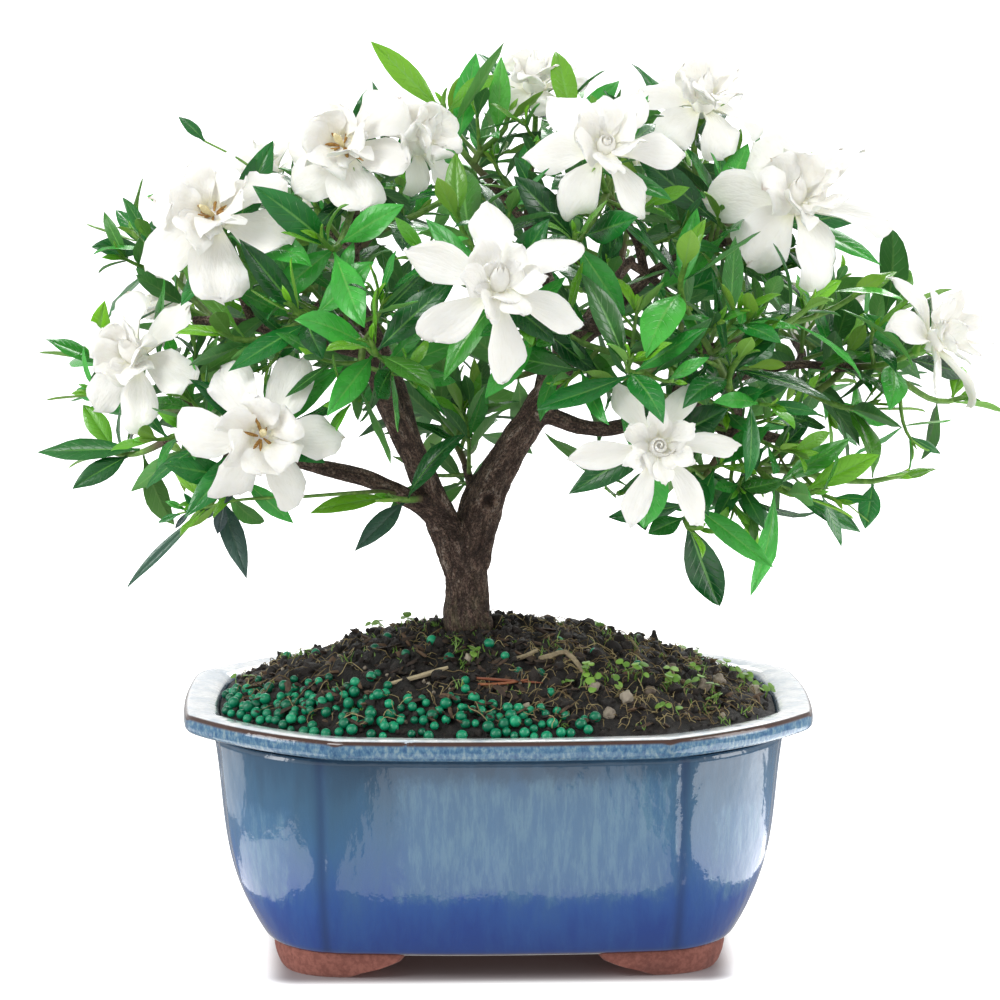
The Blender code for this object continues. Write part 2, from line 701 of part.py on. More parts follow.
def bloom_blades(name, rng):
    """The petals of a bloom: a spread outer whorl and a cupped inner one, each lapping over the next."""
    heart, turned, reach, first, opening, breadth = bloom_facts(name)
    axis = facing(*turned)
    across = side_of(axis, UP)
    other = axis.cross(across)
    rings = bloom_rings(name)
    whorls = (
        ("outer", 1, first, opening, reach, breadth, 0.5, 0.30),
        ("inner", 3, first + 30, opening * 0.5, reach * 0.62, breadth * 0.8, -0.25, 0.5),
    )
    found = []
    for whorl, stage, turn, spread, length, wide, bend, roll in whorls:
        for k in range(6):
            angle = math.radians(turn + 60 * k)
            out = across * math.cos(angle) + other * math.sin(angle)
            tilt = math.radians(spread + rng.uniform(-7, 7))
            low, high = rings[stage], rings[stage + 1]
            quad = [low[k], low[(k + 1) % 6], high[(k + 1) % 6], high[k]]
            found.append({
                "kind": whorl, "slot": k, "quad": quad,
                "root": sum(quad, Vector()) / 4,
                "way": axis * math.cos(tilt) + out * math.sin(tilt), "up": axis,
                "length": (length - 3) * rng.uniform(0.9, 1.06), "width": reach * wide * rng.uniform(0.92, 1.08),
                "bend": bend * rng.uniform(0.6, 1.3), "roll": roll,
                "fold": 0.25 if whorl == "inner" else rng.uniform(0.0, 0.15),
            })
    return found


def grow():
    """Every stem, leaf and petal, placed in one seeded order so that no two nodes cross."""
    rng = random.Random(SEED)
    garden = Garden()
    for name, (sides, line) in WOOD.items():
        garden.add("wood", tube_shape([Vector(p[:3]) for p in line], [p[3] + GAP for p in line], sides))
    blooms = {}
    for name in BLOOMS:
        garden.add(name + "_core", Shape(*loft(bloom_rings(name))))
    for name in BLOOMS:
        kept = []
        for blade in bloom_blades(name, rng):
            for attempt in range(12):
                if garden.is_clear(blade_shape(blade, 0.25), (name + "_core", name + "_roots")):
                    garden.add(name, blade_shape(blade, 0.1))
                    garden.add(name + "_roots", blade_shape(blade, 0.1, 0.02))
                    kept.append(blade)
                    break
                blade["way"] = (blade["way"] + blade["up"] * rng.uniform(-0.08, 0.22)).normalized()
                blade["length"] *= 0.97
                blade["width"] *= 0.95
        blooms[name] = kept
    sprays, twigs = grow_stems(garden, rng)
    for name, stems in sprays.items():
        for stem in stems:
            grow_leaves(garden, rng, name, stem, stems)
    return blooms, sprays, twigs


def tip_of(tip):
    """Where a stem ends and which way it points there."""
    if isinstance(tip, str):
        heart, turned, *_ = bloom_facts(tip)
        axis = facing(*turned)
        return heart - axis * (8 + GAP + 0.3), axis
    point = Vector(tip)
    out = point - CROWN_HEART
    out.z *= 0.9
    return point, (out.normalized() + UP * 0.35).normalized()


def resampled(path, spacing):
    """Points along a path about spacing apart, with both its ends."""
    total = path_length(path)
    count = max(1, round(total / spacing))
    return [along(path, total * k / count)[0] for k in range(count)] + [path[-1]]


def part_of(path, start, end):
    """The stretch of a path between two distances."""
    found, done = [along(path, start)[0]], 0.0
    for p, q in zip(path, path[1:]):
        done += (q - p).length
        if start + 1 < done < end - 1:
            found.append(q)
    return found + [along(path, end)[0]]


def grow_stems(garden, rng):
    """A brown twig from the wood to each spray, and the spray's green stem with its side stems."""
    wood = wood_points()
    sprays, twigs = {}, []

    def nearness(name):
        end = tip_of(SPRAYS[name][0][0])[0]
        return min((end - sample[0]).length for sample in wood)

    for name in sorted(SPRAYS, key=nearness):
        main_tip = SPRAYS[name][0][0]
        blooming = isinstance(main_tip, str)
        end, end_way = tip_of(main_tip)
        green = leaf_zone(SPRAYS[name][0][1], blooming) + (7 if len(SPRAYS[name]) == 1 else 13)

        def cost(sample):
            gap = end - sample[0]
            back = max(0.0, -gap.normalized().dot(sample[1]))
            return gap.length + 60 * (gap.length < green + sample[2] + 5) + 25 * back

        starts = sorted(wood, key=cost)[:10]
        for attempt in range(60):
            start, start_way, start_radius = starts[attempt // 6]
            loose = 0.08 * (attempt % 6)
            wobble = Vector([rng.uniform(-1, 1) for _ in range(3)]) * loose
            towards = (end - start).normalized()
            leave = (towards + start_way * 0.4 + wobble).normalized()
            arrive = end_way
            if not blooming:
                arrive = (end_way + Vector([rng.uniform(-1, 1) for _ in range(3)]) * loose).normalized()
            path = bend_curve(start, leave, end, arrive, 12)
            total = path_length(path)
            brown = max(total - green, start_radius + 2.5)
            if total - brown < green - 6:
                continue
            green_path = part_of(path, brown + GAP, total)
            brown_path = resampled(part_of(path, 0, brown), 16)
            base = max(1.5, min(2.4, start_radius * 0.6))
            radii = [base + (1.45 - base) * k / (len(brown_path) - 1) for k in range(len(brown_path))]
            own = (str(main_tip) + "_core",)
            green_shape = tube_shape(green_path, [STEM_RADIUS + 0.4] * len(green_path), 4)
            brown_shape = tube_shape(brown_path, [r + 0.3 for r in radii], TWIG_SIDES)
            if garden.is_clear(green_shape, own) and garden.is_clear(brown_shape, ("wood",)):
                break
        else:
            print("no room for", name)
            continue
        twigs.append((brown_path, radii))
        garden.add("wood", brown_shape)
        for k in range(1, len(brown_path) - 1):
            wood.append((brown_path[k], (brown_path[k] - brown_path[k - 1]).normalized(), radii[k]))
        main = {"path": green_path, "pairs": SPRAYS[name][0][1], "bloom": blooming, "sides": []}
        main["owner"] = name + "_stem"
        stems = [main]
        garden.add(name + "_stem", tube_shape(green_path, [STEM_RADIUS + 0.2] * len(green_path), 4))
        for tip, pairs in SPRAYS[name][1:]:
            side = side_stem(garden, rng, name, main, Vector(tip), pairs)
            if side:
                main["sides"].append(side)
                stems.append(side)
        sprays[name] = stems
    return sprays, twigs


def side_stem(garden, rng, name, main, tip, pairs):
    """A stem that leaves another's side, or None where it can't keep clear."""
    total = path_length(main["path"])
    highest = total - leaf_zone(main["pairs"], main["bloom"]) - 2
    _, end_way = tip_of(tip)
    taken = leaf_spots(main) + [stem["at"] for stem in main["sides"]]
    for attempt in range(60):
        at = rng.uniform(3.0, max(3.5, highest))
        if any(abs(at - other) < 4 for other in taken):
            continue
        start, way = along(main["path"], at)
        towards = (tip - start).normalized()
        wobble = Vector([rng.uniform(-1, 1) for _ in range(3)]) * 0.03 * attempt
        leave = (side_of(way, towards) + way * 0.5 + wobble).normalized()
        path = bend_curve(start, leave, tip, (end_way + wobble).normalized(), 6)
        clear_path = part_of(path, 4.2, path_length(path))
        shape = tube_shape(clear_path, [STEM_RADIUS + 0.4] * len(clear_path), 4)
        root_shape = tube_shape(path, [STEM_RADIUS + 0.3] * len(path), 4)
        if garden.is_clear(shape) and garden.is_clear(root_shape, (main["owner"],)):
            owner = name + "_stem" + str(len(main["sides"]) + 1)
            garden.add(owner, root_shape)
            return {"path": path, "pairs": pairs, "bloom": False, "at": at, "sides": [], "owner": owner}
    print("no room for a side stem", name, tuple(tip))
    return None


def leaf_zone(pairs, bloom):
    return (3.0 if bloom else 1.6) + 5.2 * pairs


def leaf_spots(stem):
    """Distances along a stem of its leaf pairs, from the lowest to the youngest."""
    total = path_length(stem["path"])
    first = 3.2 if stem["bloom"] else 2.0
    spots = [total - first - 5.2 * k for k in range(stem["pairs"])]
    return [s for s in reversed(spots) if s > 5]


def grow_leaves(garden, rng, name, stem, stems):
    """Opposite pairs, each a quarter turn from the next, swung clear of what is there or left out."""
    spots = leaf_spots(stem)
    stem["spots"] = spots
    stem["leaves"] = []
    rings, stations = stem_rings(stem)
    aimed = aim_leaves(name, stem, rings, stations)
    for n, spot in enumerate(spots):
        age = len(spots) - 1 - n
        young = age == 0 and not stem["bloom"] and len(spots) > 1
        for side in ((0, 2), (1, 3))[n % 2]:
            quad, out = leaf_quad(rings, stations, n, side)
            root = sum(quad, Vector()) / 4
            way = along(stem["path"], spot)[1]
            spread = rng.uniform(20, 36) if young else rng.uniform(42, 70)
            length = rng.uniform(16, 22) if young else rng.uniform(25, 36)
            width = length * rng.uniform(0.27, 0.37)
            bend = rng.uniform(-0.25, 0.75)
            target = aimed.get((n, side))
            if target:
                length = (target - root).length
                width = max(7.5, length * 0.27)
                bend = 0.15
            for attempt in range(14):
                lean = math.radians(max(12, spread + rng.uniform(-1, 1) * 5 * attempt))
                swing = rng.uniform(-1, 1) * 0.08 * attempt
                across = way.cross(out)
                heading = (way * math.cos(lean) + out * math.sin(lean) + across * swing + UP * 0.12).normalized()
                if target:
                    heading = ((target - root).normalized() + across * swing * 0.4).normalized()
                heading = (heading + out * max(0.0, LEAST_LEAN - heading.dot(out))).normalized()
                blade = {
                    "root": root, "way": heading, "up": way + UP * 0.6, "length": length, "width": width,
                    "bend": bend, "fold": 0.22, "roll": 0.0, "quad": quad,
                    "kind": "young" if young or root.y > BACK else "leaf", "spot": n, "side": side,
                }
                whole = blade_shape(blade, 0.25, 0.03)
                base = blade_shape(blade, 0.1, 0.15)
                own = stem["owner"]
                clear = garden.is_clear(blade_shape(blade, 0.25)) and garden.is_clear(whole, (own, name + "_root"))
                if clear and garden.is_clear(base, (own,)):
                    garden.add(name, blade_shape(blade, 0.1))
                    garden.add(name + "_root", blade_shape(blade, 0.1, 0.1))
                    stem["leaves"].append(blade)
                    break
                length *= 0.97


def leaf_quad(rings, stations, n, side):
    """The four corners on the stem's skin that a leaf is drawn out of, and the way they face."""
    low, high = rings[stations.index(("leaf", n, 0))], rings[stations.index(("leaf", n, 1))]
    quad = [low[side], low[(side + 1) % 4], high[(side + 1) % 4], high[side]]
    return quad, (quad[1] - quad[0]).cross(quad[3] - quad[0]).normalized()


def aim_leaves(name, stem, rings, stations):
    """Which of a stem's leaves reaches for which of its spray's places: {(pair, side): place}."""
    chosen = {}
    for place in AIMED.get(name, ()):
        target = Vector(place)
        best, best_score = None, 0.25
        for n in range(len(stem["spots"])):
            for side in ((0, 2), (1, 3))[n % 2]:
                quad, out = leaf_quad(rings, stations, n, side)
                gap = target - sum(quad, Vector()) / 4
                if (n, side) in chosen or not 12 < gap.length < AIM_SLACK:
                    continue
                way = along(stem["path"], stem["spots"][n])[1]
                score = gap.normalized().dot((out + way * 0.8).normalized())
                if score > best_score:
                    best, best_score = (n, side), score
        if best:
            chosen[best] = target
    return chosen


def stem_rings(stem):
    """Square rings along a stem, two close together at each leaf pair, with a name for each."""
    path = stem["path"]
    total = path_length(path)
    marks = [(0.0, ("base",))]
    spots = stem.get("spots") or leaf_spots(stem)
    for at in [side["at"] for side in stem["sides"]]:
        marks += [(at - 1.2, ("fork", at, 0)), (at + 1.2, ("fork", at, 1))]
    for n, spot in enumerate(spots):
        marks += [(spot - 1.1, ("leaf", n, 0)), (spot + 1.1, ("leaf", n, 1))]
    marks.append((total, ("tip",)))
    marks.sort(key=lambda mark: mark[0])
    filled = []
    for (a, label), (b, _) in zip(marks, marks[1:]):
        filled.append((a, label))
        pieces = int((b - a) / 17)
        filled += [(a + (b - a) * k / (pieces + 1), ("mid", a, k)) for k in range(1, pieces + 1)]
    filled.append(marks[-1])
    centres = [along(path, max(0.0, at))[0] for at, _ in filled]
    radii = [STEM_RADIUS * (1.1 if label[0] in ("leaf", "fork") else 1.0) for _, label in filled]
    rings = tube(centres, radii, 4)
    return rings, [label for _, label in filled]


# Solids of the grown pieces

class Skin:
    """A closed mesh that blades and side stems are drawn out of, face by face."""

    def __init__(self):
        self.points = []
        self.faces = []

    def ring(self, points):
        start = len(self.points)
        self.points += points
        return list(range(start, start + len(points)))

    def side(self, low, high, i):
        """Two triangles of a tube's side, whose diagonal starts at an odd corner of the lower ring."""
        j = (i + 1) % len(low)
        if i % 2 == 0:
            self.faces += [(low[i], low[j], high[i]), (low[j], high[j], high[i])]
        else:
            self.faces += [(low[i], low[j], high[j]), (low[i], high[j], high[i])]

    def draw_blade(self, quad, sections, tip):
        """Draws a blade out of a four-cornered hole, turned the way that twists it least."""
        shift = best_shift([self.points[k] for k in quad], sections[0])
        low = [quad[(i + shift) % 4] for i in range(4)]
        for section in sections:
            high = self.ring(section)
            for i in range(4):
                self.side(low, high, i)
            low = high
        end = self.ring([tip])[0]
        self.faces += [(low[i], low[(i + 1) % 4], end) for i in range(4)]


def spray_solid(name, stems, finish):
    """A green stem with its side stems and leaves, in one closed mesh."""
    skin = Skin()
    main = stems[0]
    draw_stem(skin, main, None)
    for stem in stems[1:]:
        draw_stem(skin, stem, main)
    return add_object(name, skin.points, skin.faces, finish)


def draw_stem(skin, stem, parent):
    rings, labels = stem_rings(stem)
    holes = {(blade["spot"], blade["side"]): blade for blade in stem["leaves"]}
    stem["fork_faces"] = {}
    if parent is None:
        low = skin.ring(rings[0])
        skin.faces += [(low[0], low[2], low[1]), (low[0], low[3], low[2])]
    else:
        quads = parent["fork_faces"][stem["at"]]
        start = stem["path"][1] - stem["path"][0]
        best = max(quads, key=lambda quad: quad_normal(skin, quad).dot(start))
        quads.remove(best)
        target = rings[1]
        shift = best_shift([skin.points[k] for k in best], target)
        low = [best[(i + shift) % 4] for i in range(4)]
        for quad in quads:
            skin.faces += [(quad[0], quad[1], quad[2]), (quad[0], quad[2], quad[3])]
        rings, labels = rings[1:], labels[1:]
        first = skin.ring(rings[0])
        for i in range(4):
            skin.side(low, first, i)
        low = first
    for n in range(1, len(rings)):
        high = skin.ring(rings[n])
        label = labels[n - 1]
        for i in range(4):
            quad = [low[i], low[(i + 1) % 4], high[(i + 1) % 4], high[i]]
            if label[0] == "leaf" and label[2] == 0 and (label[1], i) in holes:
                sections, tip = blade_sections(holes[label[1], i])
                skin.draw_blade(quad, sections, tip)
            elif label[0] == "fork" and label[2] == 0:
                stem["fork_faces"].setdefault(label[1], []).append(quad)
            else:
                skin.side(low, high, i)
        low = high
    skin.faces += [(low[0], low[1], low[2]), (low[0], low[2], low[3])]


def quad_normal(skin, quad):
    a, b, _, d = (skin.points[k] for k in quad)
    return (b - a).cross(d - a).normalized()


def bloom_solid(name, blades, finish):
    """A flower: a tapered tube, two whorls of petals drawn out of it and a furled middle."""
    heart, turned, *_ = bloom_facts(name)
    skin = Skin()
    rings = [skin.ring(ring) for ring in bloom_rings(name)]
    holes = {(blade["kind"], blade["slot"]): blade for blade in blades}
    for stage, whorl in enumerate((None, "outer", None, "inner")):
        low, high = rings[stage], rings[stage + 1]
        for i in range(6):
            j = (i + 1) % 6
            blade = holes.get((whorl, i))
            if blade is None:
                skin.faces += [(low[i], low[j], high[j]), (low[i], high[j], high[i])]
                continue
            sections, tip = blade_sections(blade)
            skin.draw_blade([low[i], low[j], high[j], high[i]], sections, tip)
    low = rings[0]
    skin.faces += [(low[0], low[k + 1], low[k]) for k in range(1, 5)]
    end = skin.ring([heart + facing(*turned) * 9.5])[0]
    low = rings[-1]
    skin.faces += [(low[i], low[(i + 1) % 6], end) for i in range(6)]
    return add_object(name, skin.points, skin.faces, finish)


def make_trunk(twigs, finish):
    tubes = []
    for name, (sides, line) in WOOD.items():
        path = [Vector(p[:3]) for p in line]
        points, faces = loft(tube(path, [p[3] for p in line], sides))
        tubes.append(add_object("trunk" if name == "trunk" else "limb", points, faces, finish))
    for path, radii in twigs:
        tubes.append(add_object("twig", *loft(tube(path, radii, TWIG_SIDES)), finish))
    trunk = combine(tubes[0], tubes[1:], "UNION")
    trunk.data.shade_smooth()
    trunk.data.set_sharp_from_angle(angle=math.radians(60))
    return trunk


def clear_scene():
    for old in list(bpy.data.objects):
        bpy.data.objects.remove(old)


def centre_on_origin():
    """Moves every object so that the plant's box stands on the origin."""
    bpy.context.view_layer.update()
    corners = [o.matrix_world @ Vector(c) for o in bpy.context.scene.objects for c in o.bound_box]
    low = Vector([min(c[k] for c in corners) for k in range(3)])
    high = Vector([max(c[k] for c in corners) for k in range(3)])
    shift = Vector((-(low.x + high.x) / 2, -(low.y + high.y) / 2, -low.z))
    print("box", [round(v / MM, 1) for v in (*low, *high)], "shift", [round(v / MM, 3) for v in shift])
    for made in bpy.context.scene.objects:
        made.location = shift


def main():
    clear_scene()
    glaze = material("blue_glaze", (0.08, 0.22, 0.50), 0.12)
    plastic = material("black_plastic", (0.02, 0.02, 0.02), 0.5)
    earth = material("potting_soil", (0.05, 0.035, 0.025), 0.95)
    prills = material("green_prills", (0.0, 0.22, 0.12), 0.25)
    bark = material("bark", (0.12, 0.075, 0.055), 0.9)
    leaf = material("leaf", (0.04, 0.24, 0.04), 0.35)
    petal = material("petal", (0.90, 0.88, 0.80), 0.55)

    make_pot(glaze)
    make_screen("drain_screen_left", -DRAIN_X, plastic)
    make_screen("drain_screen_right", DRAIN_X, plastic)
    hole_sides, line = WOOD["trunk"]
    hole_path = [Vector(line[0][:3]) - UP * 2] + [Vector(p[:3]) for p in line[1:]]
    hole = add_object("hole", *loft(tube(hole_path, [p[3] + GAP for p in line], hole_sides)), bark)
    soil = make_soil(earth, hole)
    make_beads(prills, soil)
    blooms, sprays, twigs = grow()
    make_trunk(twigs, bark)
    for name, blades in blooms.items():
        bloom_solid(name, blades, petal)
    for name in SPRAYS:
        spray_solid(name, sprays[name], leaf)
    centre_on_origin()
    print("leaves", sum(len(s["leaves"]) for stems in sprays.values() for s in stems),
          "petals", sum(len(b) for b in blooms.values()))


main()
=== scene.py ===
"""The looks of a gardenia bonsai in bloom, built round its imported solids.

Lengths are millimetres from the pot's middle, +Z up and -Y facing the viewer, until a Model is built: that
turns them into metres in the frame. The growth below repeats that of the solids, stem by stem, leaf by leaf
and petal by petal, so that each fine blade lies where its solid lies.
"""

import math
import random
from functools import lru_cache

import bpy
import numpy as np
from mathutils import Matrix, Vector, noise
from mathutils.bvhtree import BVHTree
from mathutils.kdtree import KDTree


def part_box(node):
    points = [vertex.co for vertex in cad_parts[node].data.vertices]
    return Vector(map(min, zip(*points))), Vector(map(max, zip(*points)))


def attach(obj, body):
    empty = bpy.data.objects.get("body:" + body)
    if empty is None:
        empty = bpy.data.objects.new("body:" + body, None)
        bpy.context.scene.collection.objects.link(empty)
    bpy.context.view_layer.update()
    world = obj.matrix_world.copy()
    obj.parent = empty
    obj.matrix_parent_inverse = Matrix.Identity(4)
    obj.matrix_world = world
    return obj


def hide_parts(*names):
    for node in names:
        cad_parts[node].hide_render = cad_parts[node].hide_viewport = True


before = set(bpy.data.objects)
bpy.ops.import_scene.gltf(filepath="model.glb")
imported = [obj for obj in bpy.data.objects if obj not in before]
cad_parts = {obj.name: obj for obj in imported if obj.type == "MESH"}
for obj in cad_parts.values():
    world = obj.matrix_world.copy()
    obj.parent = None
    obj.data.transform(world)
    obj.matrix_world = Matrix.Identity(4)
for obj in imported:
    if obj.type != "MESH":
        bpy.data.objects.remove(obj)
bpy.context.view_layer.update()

MM = 0.001
GAP = 0.35  # clearance between pieces that rest on each other
UP = Vector((0, 0, 1))

# Pot

BODY_TOP = 73.0  # where the wall meets the rim
BODY_BOTTOM = 8.0  # underside of the floor, above the feet
FLOOR_TOP = 14.0  # the last height of INSIDE
RIM_INNER_Z = 78.8  # below the rim's rounded inner edge
RIM_INNER_INSET = 11.1
INSIDE = ((62.0, 6.0), (30.0, 6.0), (14.0, 8.0))  # height and wall thickness down to the floor
DRAIN_X = 38.0
DRAIN_RADIUS = 7.5

# Plan outline: half length, half depth, front crease x, side crease y
RIM_PLAN = (102.5, 77.0, 52.0, 34.0)
BODY_TOP_PLAN = (93.0, 69.0, 57.0, 34.0)
BODY_FOOT_PLAN = (76.0, 61.5, 55.0, 36.0)
BOW = (3.0, 4.5, 2.0)  # how far the front, corner and side panels swell past their chords
# How far the wall has opened, from its foot plan at 0 to its top plan at 1, by its height as a share
WALL_PROFILE = ((0.0, 0.0), (0.15, 0.37), (0.33, 0.64), (0.60, 0.83), (1.0, 1.0))
# Each foot: height, how near the middle it reaches along the front and the side, and its inset
FEET = ((0.0, 47, 27, 3.4), (1.6, 44, 25, 2.8), (3.6, 37, 19, 2.0), (6.0, 32, 15, 1.5), (10.0, 29, 13, 1.2))
FOOT_THICK = 10.0

# Soil

SOIL_EDGE = 78.0
SOIL_PEAK = 103.0
SOIL_CENTRE = (-4.0, 8.0)
SOIL_SHARPNESS = 1.6

# Wood: the sides of each limb in the solids, and its centre line with a radius at each point

WOOD = {
    "trunk": (
        12,
        ((-9, 0, 58, 7.4), (-9, 0, 98, 7.9), (-10, 0, 106, 7.6), (-10, 0, 118, 7.0), (-11, 0, 133, 7.4)),
    ),
    "right": (
        9,
        ((-9, 0, 124, 6.8), (-4, 0, 144, 6.1), (3, -2, 159, 5.6), (11, -5, 172, 4.9), (19, -8, 185, 4.4),
         (24, -12, 197, 3.9), (35, -18, 206, 3.0)),
    ),
    "left": (
        8,
        ((-12, 0, 122, 6.2), (-18, -2, 138, 5.3), (-27, -8, 160, 4.2), (-35, -14, 177, 3.8),
         (-40, -19, 191, 3.3), (-50, -24, 207, 2.5)),
    ),
    "low_left": (
        6,
        ((-17, -2, 138, 3.6), (-38, -14, 152, 2.8), (-58, -22, 159, 2.5), (-80, -26, 166, 2.1),
         (-98, -24, 172, 1.6)),
    ),
    "middle": (
        6,
        ((-12, 0, 132, 2.8), (-8, 9, 147, 2.2), (2, 22, 156, 1.9), (13, 38, 170, 1.7), (18, 52, 188, 1.5)),
    ),
    "back_left": (6, ((-26, -7, 158, 3.2), (-32, 16, 180, 2.4), (-42, 38, 200, 2.0), (-52, 56, 214, 1.6))),
    "back_right": (6, ((12, -5, 174, 3.2), (24, 18, 190, 2.5), (36, 42, 206, 2.0), (48, 60, 218, 1.6))),
    "right_side": (
        6,
        ((14, -6, 174, 3.0), (32, -3, 168, 2.5), (54, -8, 172, 2.2), (74, -17, 170, 2.0), (94, -21, 166, 1.7),
         (108, -22, 162, 1.5)),
    ),
    "right_front": (6, ((33, -17, 204, 2.5), (46, -30, 199, 1.9), (58, -42, 197, 1.6))),
    "right_top": (6, ((30, -15, 202, 2.8), (48, -10, 218, 2.1), (66, -8, 228, 1.7))),
    "right_out": (6, ((56, -8, 172, 2.0), (78, 2, 184, 1.8), (98, 4, 188, 1.6), (112, 2, 187, 1.4))),
    "top": (6, ((21, -10, 190, 3.0), (17, 0, 214, 2.2), (10, 7, 234, 1.8))),
    "left_top": (6, ((-41, -20, 192, 2.9), (-45, -14, 214, 2.1), (-46, -8, 230, 1.6))),
    "left_out": (6, ((-44, -21, 196, 2.8), (-62, -22, 200, 2.2), (-82, -14, 204, 1.8), (-98, -4, 204, 1.5))),
}
TRUNK_FOOT = WOOD["trunk"][1][1]

# Growth: what bears what, and where

# Blooms: heart of the flower (x, y, z), facing (azimuth from the front, elevation), reach of the outer
# petals, first petal's turn, how far the petals open in degrees from the flower's own axis, and how
# broad an outer petal is for its reach
BLOOMS = {
    "bloom_01": ((-88, -45, 240), (-14, 30), 27, 8, 80, 0.52),
    "bloom_02": ((-48, -42, 261), (-20, 24), 22, 20, 76, 0.56),
    "bloom_03": ((-26, -34, 262), (48, 30), 20, 40, 80, 0.52),
    "bloom_04": ((-2, -88, 222), (2, 16), 30, 4, 78, 0.44),
    "bloom_05": ((31, -60, 261), (4, 32), 27, 30, 84, 0.46),
    "bloom_06": ((66, -2, 273), (14, 52), 22, 12, 80, 0.50),
    "bloom_07": ((13, 24, 278), (-6, 60), 17, 25, 70, 0.50),
    "bloom_08": ((93, -32, 243), (6, 34), 29, 18, 74, 0.50),
    "bloom_09": ((139, -25, 199), (62, 30), 27, 10, 72, 0.46),
    "bloom_10": ((47, -76, 172), (0, 14), 27, 35, 82, 0.40),
    "bloom_11": ((-115, -22, 194), (-26, 14), 23, 15, 72, 0.46),
    "bloom_12": ((-74, -62, 174), (2, 10), 26, 28, 80, 0.46),
    "bloom_13": ((-74, 16, 250), (-50, 48), 16, 5, 66, 0.50),
    "bloom_14": ((-106, 22, 206), (-78, 24), 17, 33, 68, 0.50),
    "bloom_15": ((52, 70, 248), (160, 42), 25, 10, 78, 0.50),
    "bloom_16": ((-66, 74, 226), (202, 26), 25, 22, 78, 0.50),
    "bloom_17": ((112, 56, 202), (128, 18), 23, 0, 76, 0.46),
}

# Leafy stems: the tips that each one carries, as a bloom's name or a point, with the leaf pairs on it
SPRAYS = {
    "spray_01": (("bloom_01", 2),),
    "spray_02": (("bloom_02", 2), ((-55, -56, 234), 3)),
    "spray_03": (("bloom_03", 2),),
    "spray_04": (("bloom_04", 2), ((-14, -62, 243), 3)),
    "spray_05": (("bloom_05", 2), ((22, -66, 236), 3)),
    "spray_06": (("bloom_06", 2), ((48, 20, 258), 2)),
    "spray_07": (("bloom_07", 2), ((26, 2, 268), 2)),
    "spray_08": (("bloom_08", 2), ((70, -30, 240), 3)),
    "spray_09": (("bloom_09", 2), ((150, -6, 178), 2)),
    "spray_10": (("bloom_10", 2),),
    "spray_11": (("bloom_11", 2), ((-134, 26, 190), 2)),
    "spray_12": (("bloom_12", 2),),
    "spray_13": (("bloom_13", 2), ((-94, 22, 256), 1)),
    "spray_14": (("bloom_14", 2), ((-118, 16, 230), 2)),
    "spray_15": (("bloom_15", 2), ((78, 62, 232), 3)),
    "spray_16": (("bloom_16", 2), ((-92, 56, 212), 3)),
    "spray_17": (("bloom_17", 2), ((128, 38, 182), 2)),
    "spray_18": (((-64, -62, 214), 3), ((-86, -44, 204), 2)),
    "spray_19": (((-17, 4, 272), 3), ((4, 16, 268), 2)),
    "spray_20": (((38, -84, 200), 3), ((18, -62, 210), 2)),
    "spray_21": (((-40, -74, 204), 3), ((-48, -56, 184), 2)),
    "spray_22": (((74, -62, 199), 3), ((56, -66, 228), 3)),
    "spray_23": (((96, -46, 212), 3), ((114, -24, 214), 2)),
    "spray_24": (((90, 6, 250), 3), ((66, 26, 250), 2)),
    "spray_25": (((61, -50, 143), 3), ((38, -42, 153), 2)),
    "spray_26": (((98, -38, 152), 3), ((126, -30, 156), 2)),
    "spray_27": (((-126, -6, 162), 3),),
    "spray_28": (((-22, 34, 174), 3), ((-6, 60, 162), 2)),
    "spray_29": (((-94, -42, 150), 2),),
    "spray_30": (((-34, -30, 150), 2),),
    "spray_31": (((122, -2, 176), 3), ((134, 16, 206), 2)),
    "spray_32": (((-88, 70, 184), 3), ((-124, 48, 178), 2)),
    "spray_33": (((-34, 76, 244), 3), ((-4, 70, 256), 3)),
    "spray_34": (((6, 100, 218), 3), ((42, 96, 196), 3)),
    "spray_35": (((-40, 98, 194), 3), ((-16, 92, 166), 2)),
    "spray_36": (((84, 84, 192), 3), ((66, 82, 166), 2)),
    "spray_37": (((2, 40, 184), 3),),
}

# Leaves that reach a known place, by the spray that bears them
AIMED = {
    "spray_19": ((-37, 5, 296), (2, 15, 288), (-6, 20, 290)),
    "spray_02": ((-64, -30, 262),),
    "spray_01": ((-101, -14, 268), (-128, -30, 238)),
    "spray_14": ((-131, 8, 228), (-128, 20, 240)),
    "spray_11": ((-146, 10, 197), (-128, 10, 208)),
    "spray_27": ((-149, -8, 163), (-137, -16, 152), (-135, 0, 176), (-117, -12, 150)),
    "spray_12": ((-98, -62, 150),),
    "spray_29": ((-123, -30, 120), (-99, -44, 146), (-84, -50, 126)),
    "spray_30": ((-46, -34, 134), (-58, -36, 140)),
    "spray_25": ((92, -44, 148), (86, -50, 131), (46, -52, 142)),
    "spray_26": ((117, -30, 139), (127, -44, 160)),
    "spray_31": ((152, -8, 158), (157, -6, 180)),
    "spray_09": ((155, 0, 186), (118, -10, 208)),
    "spray_08": ((121, -8, 240),),
    "spray_24": ((94, 8, 262),),
    "spray_07": ((20, 20, 292),),
}
LEAST_LEAN = 0.42  # how much a leaf at least turns away from its stem, as a sine
BACK = 36  # leaves behind this have a plainer outline
AIM_NEAREST = 12  # the least and the farthest that a leaf reaches for its place
AIM_FARTHEST = 34

